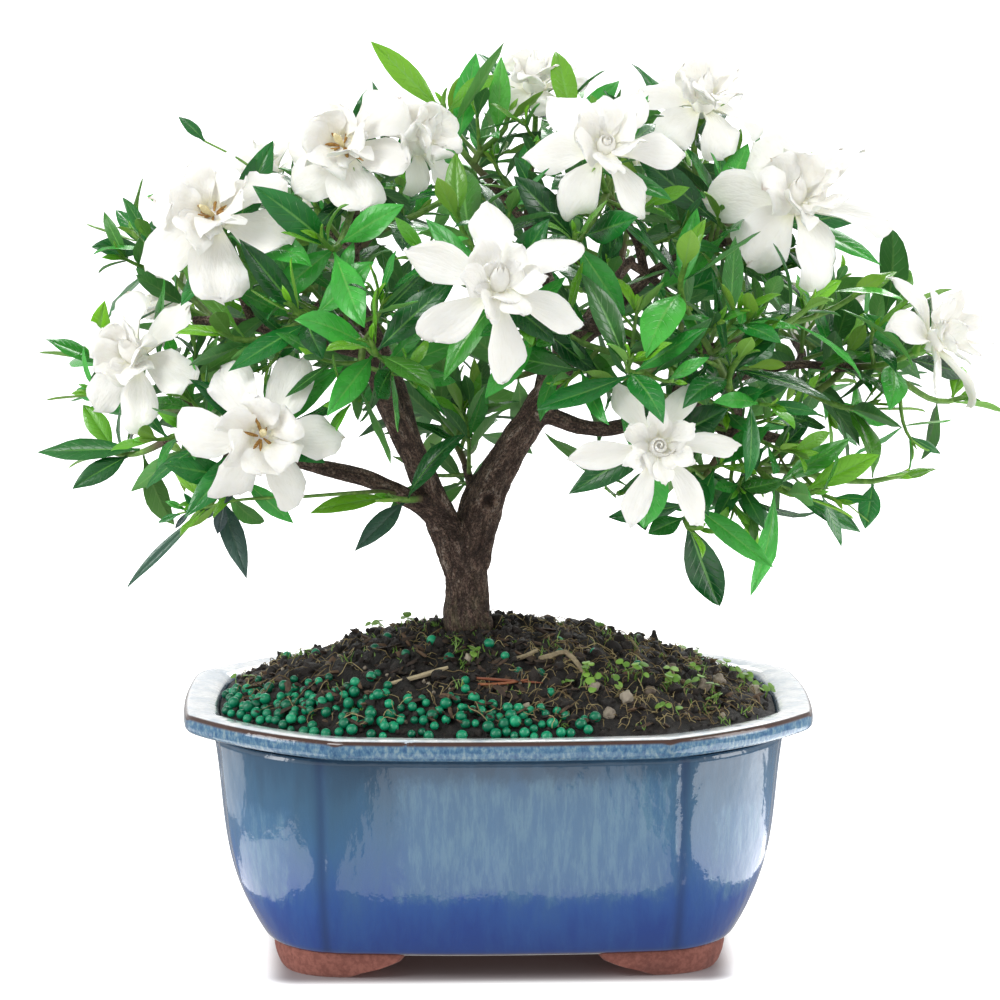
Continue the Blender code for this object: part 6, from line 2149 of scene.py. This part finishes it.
def ground(x, y):
    """Height of the rough soil."""
    share = min(soil_share(x, y), 1.0)
    rough = noise.fractal(Vector((x, y, 3.0)) * ROUGH_SCALE, 0.9, 2.2, 5)
    return soil_height(x, y, share) + rough * ROUGH_HEIGHT * (1 - 0.7 * share ** 8)


def make_soil(finish):
    """The mound of peat, down to the pot's floor."""
    angles = np.linspace(-math.pi, math.pi, SOIL_ROUND, endpoint=False)
    ways = [(math.cos(a), math.sin(a)) for a in angles]
    cx, cy = SOIL_CENTRE
    rings = []
    for z, inset in INSIDE[::-1]:
        wall = polar(outline(wall_plan(z), inset + WALL_CLEAR), SOIL_CENTRE)
        reach = np.interp(angles, *wall, period=math.tau)
        lift = GAP if z == FLOOR_TOP else 0
        rings.append([(cx + r * c, cy + r * s, z + lift) for (c, s), r in zip(ways, reach)])
    edge = np.interp(angles, *MOUTH, period=math.tau)
    for share in (1.0, *SOIL_SHARES):
        places = [(cx + share * r * c, cy + share * r * s) for (c, s), r in zip(ways, edge)]
        rings.append([(x, y, ground(x, y)) for x, y in places])
    model = Model()
    model.add(*loft(rings))
    model.build("peat_mound", "potting_soil", [finish], "soil", sharp=70)


def icosphere(level):
    """Unit points and faces of a round body."""
    gold = (1 + math.sqrt(5)) / 2
    points = []
    for a in (-1, 1):
        for b in (-gold, gold):
            points += [Vector((0, a, b)), Vector((a, b, 0)), Vector((b, 0, a))]
    points = [p.normalized() for p in points]
    near = min((p - q).length for p in points for q in points if p is not q) * 1.1
    faces = []
    for i in range(12):
        for j in range(i + 1, 12):
            for k in range(j + 1, 12):
                trio = (points[i], points[j], points[k])
                if max((trio[m] - trio[(m + 1) % 3]).length for m in range(3)) < near:
                    out = (trio[1] - trio[0]).cross(trio[2] - trio[0]).dot(trio[0]) > 0
                    faces.append((i, j, k) if out else (i, k, j))
    for _ in range(level):
        middle, finer = {}, []

        def between(a, b):
            key = (min(a, b), max(a, b))
            if key not in middle:
                middle[key] = len(points)
                points.append((points[a] + points[b]).normalized())
            return middle[key]

        for a, b, c in faces:
            ab, bc, ca = between(a, b), between(b, c), between(c, a)
            finer += [(a, ab, ca), (b, bc, ab), (c, ca, bc), (ab, bc, ca)]
        faces = finer
    return np.array([tuple(p) for p in points]), faces


LUMPS = [icosphere(level) for level in (0, 1, 2)]


def add_lump(model, rng, centre, size, level, slot=0, roughness=0.4):
    """A rough crumb or pebble of three half sizes."""
    points, faces = LUMPS[level]
    offset = Vector((rng.uniform(0, 90), rng.uniform(0, 90), 0))
    swell = np.array([1 + roughness * noise.noise(Vector(p) * 1.6 + offset) for p in points])
    turn = rng.uniform(0, math.tau)
    lean = rng.uniform(-0.5, 0.5)
    c, s = math.cos(turn), math.sin(turn)
    spun = points * swell[:, None] * np.array(size) @ np.array(((c, s, 0), (-s, c, 0), (0, 0, 1)))
    c, s = math.cos(lean), math.sin(lean)
    tipped = spun @ np.array(((1, 0, 0), (0, c, s), (0, -s, c)))
    model.add(tipped + np.array(centre), faces, slot, (0, 0, rng.random(), 0))


def uneven(rng, radius, least, most):
    """Three half sizes about a radius."""
    return [radius * rng.uniform(least, most) for _ in range(3)]


def soil_spot(rng, limit=0.96):
    """A random place on the soil, even over its area."""
    while True:
        x, y = rng.uniform(-SOIL_REACH_X, SOIL_REACH_X), rng.uniform(-SOIL_REACH_Y, SOIL_REACH_Y)
        if soil_share(x, y) < limit:
            return x, y


def round_the_trunk(rng, nearest, spread):
    """A random place by the trunk, seldom farther from it than twice the spread."""
    angle = rng.uniform(0, math.tau)
    reach = nearest + abs(rng.gauss(0, spread))
    return TRUNK_FOOT[0] + reach * math.cos(angle), reach * math.sin(angle)


def make_crumbs(finish):
    """Peat crumbs and clods strewn over the mound, with a small heap by the trunk."""
    rng = random.Random(SEED + 1)
    model = Model()
    for k in range(CRUMBS):
        x, y = soil_spot(rng, 0.975)
        if k % 5 == 0:
            x, y = round_the_trunk(rng, 8, 9)
        radius = rng.choice(CRUMB_SIZES)
        size = uneven(rng, radius, 0.6, 1.5)
        add_lump(model, rng, (x, y, ground(x, y) + radius * 0.35), size, 0, 0, 0.6)
    for _ in range(CLODS):
        x, y = soil_spot(rng, 0.9)
        radius = rng.uniform(1.0, 2.3)
        size = uneven(rng, radius, 0.6, 1.4)
        add_lump(model, rng, (x, y, ground(x, y) + radius * 0.2), size, 1, 0, 0.8)
    for _ in range(HEAPED):
        x, y = HEAP_BY_TRUNK[0] + rng.gauss(0, 3.2), HEAP_BY_TRUNK[1] + rng.gauss(0, 3.0)
        off = math.hypot(x - HEAP_BY_TRUNK[0], y - HEAP_BY_TRUNK[1])
        lift = rng.uniform(0, 1) * max(0.0, HEAP_HEIGHT - 0.9 * off)
        radius = rng.uniform(0.5, 1.3)
        add_lump(model, rng, (x, y, ground(x, y) + lift), [radius * rng.uniform(0.7, 1.3)] * 3, 1, 0, 0.7)
    model.build("peat_crumbs", "potting_soil", [finish], sharp=70)


def bead_mesh():
    """A round bead's unit points and faces."""
    rows = BEAD_SIDES // 2 + 2
    turns = [-math.tau * n / BEAD_SIDES for n in range(BEAD_SIDES)]
    rings = []
    for t in [math.pi * k / rows for k in range(1, rows)]:
        s, c = math.sin(t), math.cos(t)
        rings.append([Vector((s * math.cos(a), s * math.sin(a), c)) for a in turns])
    points, faces = loft(rings)
    top, bottom = len(points), len(points) + 1
    last = len(points) - BEAD_SIDES
    faces = faces[:-2]
    faces += [(k, top, (k + 1) % BEAD_SIDES) for k in range(BEAD_SIDES)]
    faces += [(last + k, last + (k + 1) % BEAD_SIDES, bottom) for k in range(BEAD_SIDES)]
    return np.array([tuple(p) for p in (*points, UP, -UP)]), faces


def settled(x, y, radius, placed):
    """Where a bead comes to rest on the soil or on the beads below it."""
    z = ground(x, y) + radius * 0.72
    for ox, oy, oz, other in placed:
        gap = (x - ox) ** 2 + (y - oy) ** 2
        reach = (radius + other) ** 2
        if gap < reach:
            z = max(z, oz + math.sqrt(reach - gap))
    return z


def before_bank_end(x, y):
    """How far a place lies in front of the bank's back edge."""
    return float(np.interp(x, *zip(*BEAD_LIMIT))) - y


def over_beads(x, y):
    """True where what lies on the soil lies on the bank of beads."""
    return x < BANK_RIGHT - 0.5 and before_bank_end(x, y) > 2


def make_beads(finish):
    """A bank of beads over the front left of the soil, and a few that rolled away."""
    rng = random.Random(SEED + 2)
    placed = []
    for _ in range(BEAD_TRIES):
        x, y = rng.uniform(-SOIL_REACH_X, 32), rng.uniform(-SOIL_REACH_Y, 16)
        radius = rng.choice(BEAD_SIZES)
        ahead = before_bank_end(x, y)
        if soil_share(x, y) > 0.985 or x > BANK_RIGHT or ahead < -BANK_FRINGE:
            continue
        chance = min(0.8, 0.035 + max(0.0, ahead) / 11)
        patch = noise.noise(Vector((x, y, 5.0)) * 0.11)
        if patch < THIN_PATCH:
            chance *= 0.2
        if rng.random() > chance:
            continue
        z = settled(x, y, radius, placed)
        if z - ground(x, y) < radius * (1.7 if patch > THICK_PATCH else 1.1):
            placed.append((x, y, z, radius))
    bank = len(placed)
    for x, y in LOOSE_BEADS:
        radius = rng.uniform(*LOOSE_BEAD_SIZES)
        placed.append((x, y, ground(x, y) + radius * 0.7, radius))
    points, faces = bead_mesh()
    model, loose = Model(), Model()
    for k, (x, y, z, radius) in enumerate(placed):
        squash = np.array(uneven(rng, radius, 0.94, 1.05))
        target = model if k < bank else loose
        target.add(points * squash + np.array((x, y, z)), faces, 0, (0, 0, rng.uniform(0.1, 0.9), 0))
    model.build("bead_bank", "green_prills", [finish], "fertiliser_beads")
    loose.build("loose_beads", "green_prills", [finish])


def lying_path(rng, x, y, length, steps, wander, lift):
    """A crooked line that runs over the soil or the beads."""
    heading = rng.uniform(0, math.tau)
    foot = ON_BEADS if over_beads(x, y) else 0.2
    path = []
    for k in range(steps + 1):
        hump = math.sin(math.pi * k / steps) * lift
        path.append(Vector((x, y, ground(x, y) + foot + hump)))
        heading += rng.uniform(-wander, wander)
        x += math.cos(heading) * length / steps
        y += math.sin(heading) * length / steps
    return path


def raised(line):
    """Points over the soil, from places and their heights above it."""
    return [Vector((x, y, ground(x, y) + height)) for x, y, height in line]


def resting_path(line):
    """A smooth line of nine points along a raised one."""
    points = raised(line)
    ways = [(b - a).normalized() for a, b in (points[:2], points[-2:])]
    return bend_curve(points[0], ways[0], points[-1], ways[1], 8)


def add_chip(model, rng, x, y):
    """A ragged flake of bark, lying at a slant."""
    length, width = rng.uniform(1.4, 6.0), rng.uniform(0.7, 2.6)
    heading = rng.uniform(0, math.tau)
    tip = rng.uniform(-0.6, 0.6)
    way = np.array((math.cos(heading) * math.cos(tip), math.sin(heading) * math.cos(tip), math.sin(tip)))
    side = np.array((-math.sin(heading), math.cos(heading), rng.uniform(-0.5, 0.5)))
    base = np.array((x, y, ground(x, y) + (2.6 if over_beads(x, y) else 0.8)))
    grid = np.zeros((5, 4, 3))
    for i, u in enumerate(np.linspace(-0.5, 0.5, 5)):
        for j, v in enumerate(np.linspace(-0.5, 0.5, 4)):
            ragged = 1 + rng.uniform(-0.25, 0.25)
            grid[i, j] = base + way * u * length * ragged + side * v * width * ragged
    model.add_sheet(grid, rng.uniform(0.5, 1.3), (0, 0), np.linspace(-1, 1, 4), rng.random() ** 2)


def make_litter(finishes):
    """Bark chips, pebbles, pale roots, a dry needle and a tan twig."""
    rng = random.Random(SEED + 3)
    model = Model()
    for k in range(CHIPS):
        x, y = soil_spot(rng, 0.95)
        if k % 5 == 0:
            x, y = rng.uniform(-84, 28), rng.uniform(-60, -4)
        if soil_share(x, y) <= 0.95:
            add_chip(model, rng, x, y)
    for x, y, radius in PEBBLES:
        size = uneven(rng, radius, 0.7, 1.15)
        add_lump(model, rng, (x, y, ground(x, y) + radius * 0.35), size, 2, 1)
    for _ in range(GRITS):
        x, y = soil_spot(rng, 0.97)
        radius = rng.uniform(0.35, 0.9)
        add_lump(model, rng, (x, y, ground(x, y) + radius * 0.4), [radius] * 3, 1, 1)
    for k in range(FIBRES):
        x, y = soil_spot(rng)
        if k % 2:
            x, y = rng.uniform(10, 92), rng.uniform(-58, 45)
        path = lying_path(rng, x, y, rng.uniform(2.5, 11), 6, 0.9, rng.uniform(0.0, 2.4))
        if all(soil_share(p.x, p.y) < 0.97 for p in path):
            radius = rng.uniform(0.07, 0.15)
            model.add_tube(path, [radius] * 6 + [radius * 0.4], 4, 2, rng.random() ** 1.5)
    for line in NEEDLE:
        model.add_tube(resting_path(line), NEEDLE_RADII, 6, 3, rng.random())
    model.add_tube(resting_path(TWIG), TWIG_RADII, 7, 4, 0.9)
    for line, radius in ((ARCHED_ROOT, 1.1), (SHORT_ROOT, 0.9)):
        points = raised(line)
        path, sizes = smoothed([(*p, radius * (1 - 0.35 * k / len(points))) for k, p in enumerate(points)])
        model.add_tube(path, sizes, 7, 4, 0.35)
    model.build("soil_litter", "potting_soil", finishes, sharp=50)


def add_round_leaf(model, root, way, up, radius, tint):
    """A small round seedling leaf at the end of a stalk."""
    blade = {"root": root, "way": way, "up": up, "length": radius * 2, "bend": 0.25, "fold": 0.15}
    half = radius * np.sqrt(np.clip(1 - (2 * np.linspace(0, 1, 7) - 1) ** 2, 0.004, 1))
    model.add_folded(blade, half, np.linspace(-1, 1, 5), 0.35, 0, tint)


def add_sprigs(model, rng, x, y, count, spread, height):
    """A tuft of short upright green threads."""
    for _ in range(count):
        foot = Vector((x + rng.gauss(0, spread), y + rng.gauss(0, spread), 0))
        foot.z = ground(foot.x, foot.y) - 0.2
        way = (UP + unit(rng) * 0.8).normalized()
        bent = (way + unit(rng) * 0.5).normalized()
        middle = foot + way * height * 0.5
        path = [foot, middle, middle + bent * height * rng.uniform(0.3, 0.7)]
        model.add_tube(path, [0.2, 0.18, 0.05], 4, 0, rng.uniform(0.1, 1.0))


def make_weeds(finish):
    """Seedlings with round leaves, and moss near the trunk, at the right and among the beads."""
    rng = random.Random(SEED + 4)
    model = Model()
    for x, y, leaves in WEEDS:
        for _ in range(leaves):
            wx, wy = x + rng.gauss(0, WEED_SPREAD), y + rng.gauss(0, WEED_SPREAD)
            foot = Vector((wx, wy, ground(wx, wy) - 0.3))
            top = foot + Vector((rng.uniform(-1.5, 1.5), rng.uniform(-1.5, 1.5), rng.uniform(1.6, 5.0)))
            middle = foot.lerp(top, 0.5) + Vector((rng.uniform(-0.5, 0.5), rng.uniform(-0.5, 0.5), 0))
            model.add_tube([foot, middle, top], [0.2, 0.17, 0.14], 4, 0, 0.8)
            angle = rng.uniform(0, math.tau)
            up = (UP + Vector((rng.uniform(-0.6, 0.6), rng.uniform(-1.0, 0.5), 0))).normalized()
            way = side_of(up, Vector((math.cos(angle), math.sin(angle), 0)))
            for sign in (-1, 1) if rng.random() < 0.5 else (1,):
                add_round_leaf(model, top, way * sign, up, rng.uniform(0.9, 1.6), rng.uniform(0.2, 1.0))
    for _ in range(TUFTS_BY_TRUNK):
        add_sprigs(model, rng, *round_the_trunk(rng, 8.4, 3.5), 9, 0.8, 1.4)
    for k in range(TUFTS_STREWN):
        x, y = soil_spot(rng, 0.97)
        if k % 3 == 0:
            x, y = rng.uniform(38, 90), rng.uniform(-40, 30)
        if soil_share(x, y) < 0.97:
            add_sprigs(model, rng, x, y, rng.choice((3, 5, 8)), 1.3, rng.uniform(1.6, 3.6))
    model.build("seedlings_and_moss", "leaf", [finish])


# Stage

CAMERA_DISTANCE = 1098.87
CAMERA_HEIGHT = 315.51
CAMERA_AZIMUTH = -1.59
TARGET = Vector((1.03, 0.0, 144.36))
FOCAL_PIXELS = 3402.93
IMAGE_WIDTH = 1000
SENSOR = 36.0  # width in millimetres
FLOOR_HALF = 40.0  # metres
FLOOR_TILES = 8
# How bright the room is from straight below, at 0, to straight above, at 1
ROOM_GREYS = ((0.0, 0.52), (0.46, 0.52), (0.5, 0.68), (0.53, 1.0), (0.60, 1.0), (0.70, 0.76), (1.0, 0.70))
LIGHTS = (  # name, place, aim, width, height, power in watts
    ("key", (-800, -900, 1150), (0, 0, 150), 600, 600, 9.5),
    ("side", (1150, -250, 500), (0, 0, 90), 420, 900, 6),
    ("left", (-1050, -350, 330), (0, 0, 60), 300, 600, 4),
    ("back", (200, 900, 900), (0, 0, 150), 700, 500, 8),
    ("table_front", (10, -205, 4), (10, -205, 100), 150, 190, 0.105),
    ("table_left", (-150, -62, 4), (-150, -62, 100), 78, 130, 0.060),
    ("table_far_left", (-262, 60, 4), (-262, 60, 100), 120, 120, 0.05),
    ("table_right", (215, -70, 4), (215, -70, 100), 180, 230, 0.39),
)


def in_frame(point):
    """A point from millimetres off the pot's middle to metres in the frame."""
    return Vector(tuple(np.array(tuple(point)) * MM + SHIFT))


def make_camera():
    """The photo's own view of the pot."""
    turn = math.radians(CAMERA_AZIMUTH)
    eye = Vector((
        TARGET.x + CAMERA_DISTANCE * math.sin(turn), -CAMERA_DISTANCE * math.cos(turn), CAMERA_HEIGHT,
    ))
    camera = bpy.data.objects.new("camera", bpy.data.cameras.new("camera"))
    bpy.context.scene.collection.objects.link(camera)
    camera.location = in_frame(eye)
    camera.rotation_euler = (TARGET - eye).to_track_quat("-Z", "Y").to_euler()
    camera.data.sensor_width = SENSOR
    camera.data.lens = FOCAL_PIXELS * SENSOR / IMAGE_WIDTH
    bpy.context.scene.camera = camera


def add_light(name, place, aim, width, height, power):
    """A soft box at a place, in millimetres, turned to face its aim."""
    light = bpy.data.lights.new(name, "AREA")
    light.shape = "RECTANGLE"
    light.size, light.size_y = width * MM, height * MM
    light.energy = power
    box = bpy.data.objects.new(name, light)
    bpy.context.scene.collection.objects.link(box)
    box.location = in_frame(place)
    box.rotation_euler = (Vector(aim) - Vector(place)).to_track_quat("-Z", "Y").to_euler()
    box.visible_camera = False


def make_floor():
    """A wide white table that glows, as over a light box, but not under the pot, where a painted shadow
    darkens it.
    """
    ticks = np.linspace(-FLOOR_HALF, FLOOR_HALF, FLOOR_TILES + 1)
    wide = len(ticks)
    faces = [
        (j * wide + i, j * wide + i + 1, (j + 1) * wide + i + 1, (j + 1) * wide + i)
        for j in range(FLOOR_TILES) for i in range(FLOOR_TILES)
    ]
    floor = new_object("white_table", [(x, y, 0.0) for y in ticks for x in ticks], faces)
    paint = Paint("white_table")
    sockets = {0: paint.place(), 1: tuple(SHIFT)}
    from_pot = paint.node("ShaderNodeVectorMath", sockets, operation="SUBTRACT").outputs[0]
    x, y, _ = paint.parts(from_pot)
    # The pot's footprint, where the painted shadow lies
    shadow_x = paint.span(paint.maths("ABSOLUTE", x), 0.064, 0.086, 1.0, 0.0)
    shadow_y = paint.span(paint.maths("ABSOLUTE", y), 0.054, 0.072, 1.0, 0.0)
    under = paint.times(shadow_x, shadow_y)
    colour = paint.mix(paint.grain(3.0, 2.0), (0.84, 0.84, 0.85), (0.88, 0.88, 0.88))
    # Painted shadow: the table's colour darkened under the pot
    colour = paint.mix(paint.span(under, 0.3, 1.0), colour, (0.30, 0.27, 0.28))
    floor.data.materials.append(paint.finish(
        Base_Color=colour, Roughness=0.6, Emission_Color=(1.0, 1.0, 1.0),
        # The glow fades out under the pot, deepening the painted shadow
        Emission_Strength=paint.span(under, 0.0, 1.0, 0.9, 0.0),
    ))
    floor.visible_diffuse = False
    floor.visible_glossy = False


def make_world():
    """A pale room, brightest just above the horizon."""
    paint = Paint("studio", bpy.data.worlds, "Background")
    up = paint.parts(paint.node("ShaderNodeTexCoord").outputs["Generated"])[2]
    height = paint.node("ShaderNodeMapRange", {0: up, 1: -1.0}).outputs[0]
    room = paint.ramp(height, *((at, (grey, grey, grey)) for at, grey in ROOM_GREYS))
    bpy.context.scene.world = paint.finish(Color=room)


def make_stage():
    """The camera, the table, the room and the lights."""
    scene = bpy.context.scene
    scene.view_settings.view_transform = "Standard"
    scene.view_settings.look = "None"
    make_camera()
    make_floor()
    make_world()
    for light in LIGHTS:
        add_light(*light)


# Putting it all together


def main():
    """Grows the plant and builds every piece over its solid."""
    garden, blooms, sprays, twigs = grow()
    shoots = grow_fillers(garden, sprays, twigs)
    foliage = [paint_leaf("leaf_face"), paint_leaf("leaf_back"), paint_stem()]
    for name, stems in sprays.items():
        make_foliage(name, stems, shoots[name], foliage)
    make_thin_shoots(foliage)
    flower = [paint_petal(), paint_sepal(), paint_anther()]
    for name, blades in blooms.items():
        make_bloom(name, blades, flower)
    make_wood(twigs, paint_bark())
    make_pot(paint_glaze(), paint_clay())
    peat = paint_peat()
    make_soil(peat)
    make_crumbs(peat)
    make_beads(paint_bead())
    make_litter([paint_grit(*look) for look in GRIT_LOOKS])
    make_weeds(paint_weed())
    plastic = paint_mesh_plastic()
    for name in ("drain_screen_left", "drain_screen_right"):
        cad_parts[name].data.materials.clear()
        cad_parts[name].data.materials.append(plastic)
    make_stage()


main()
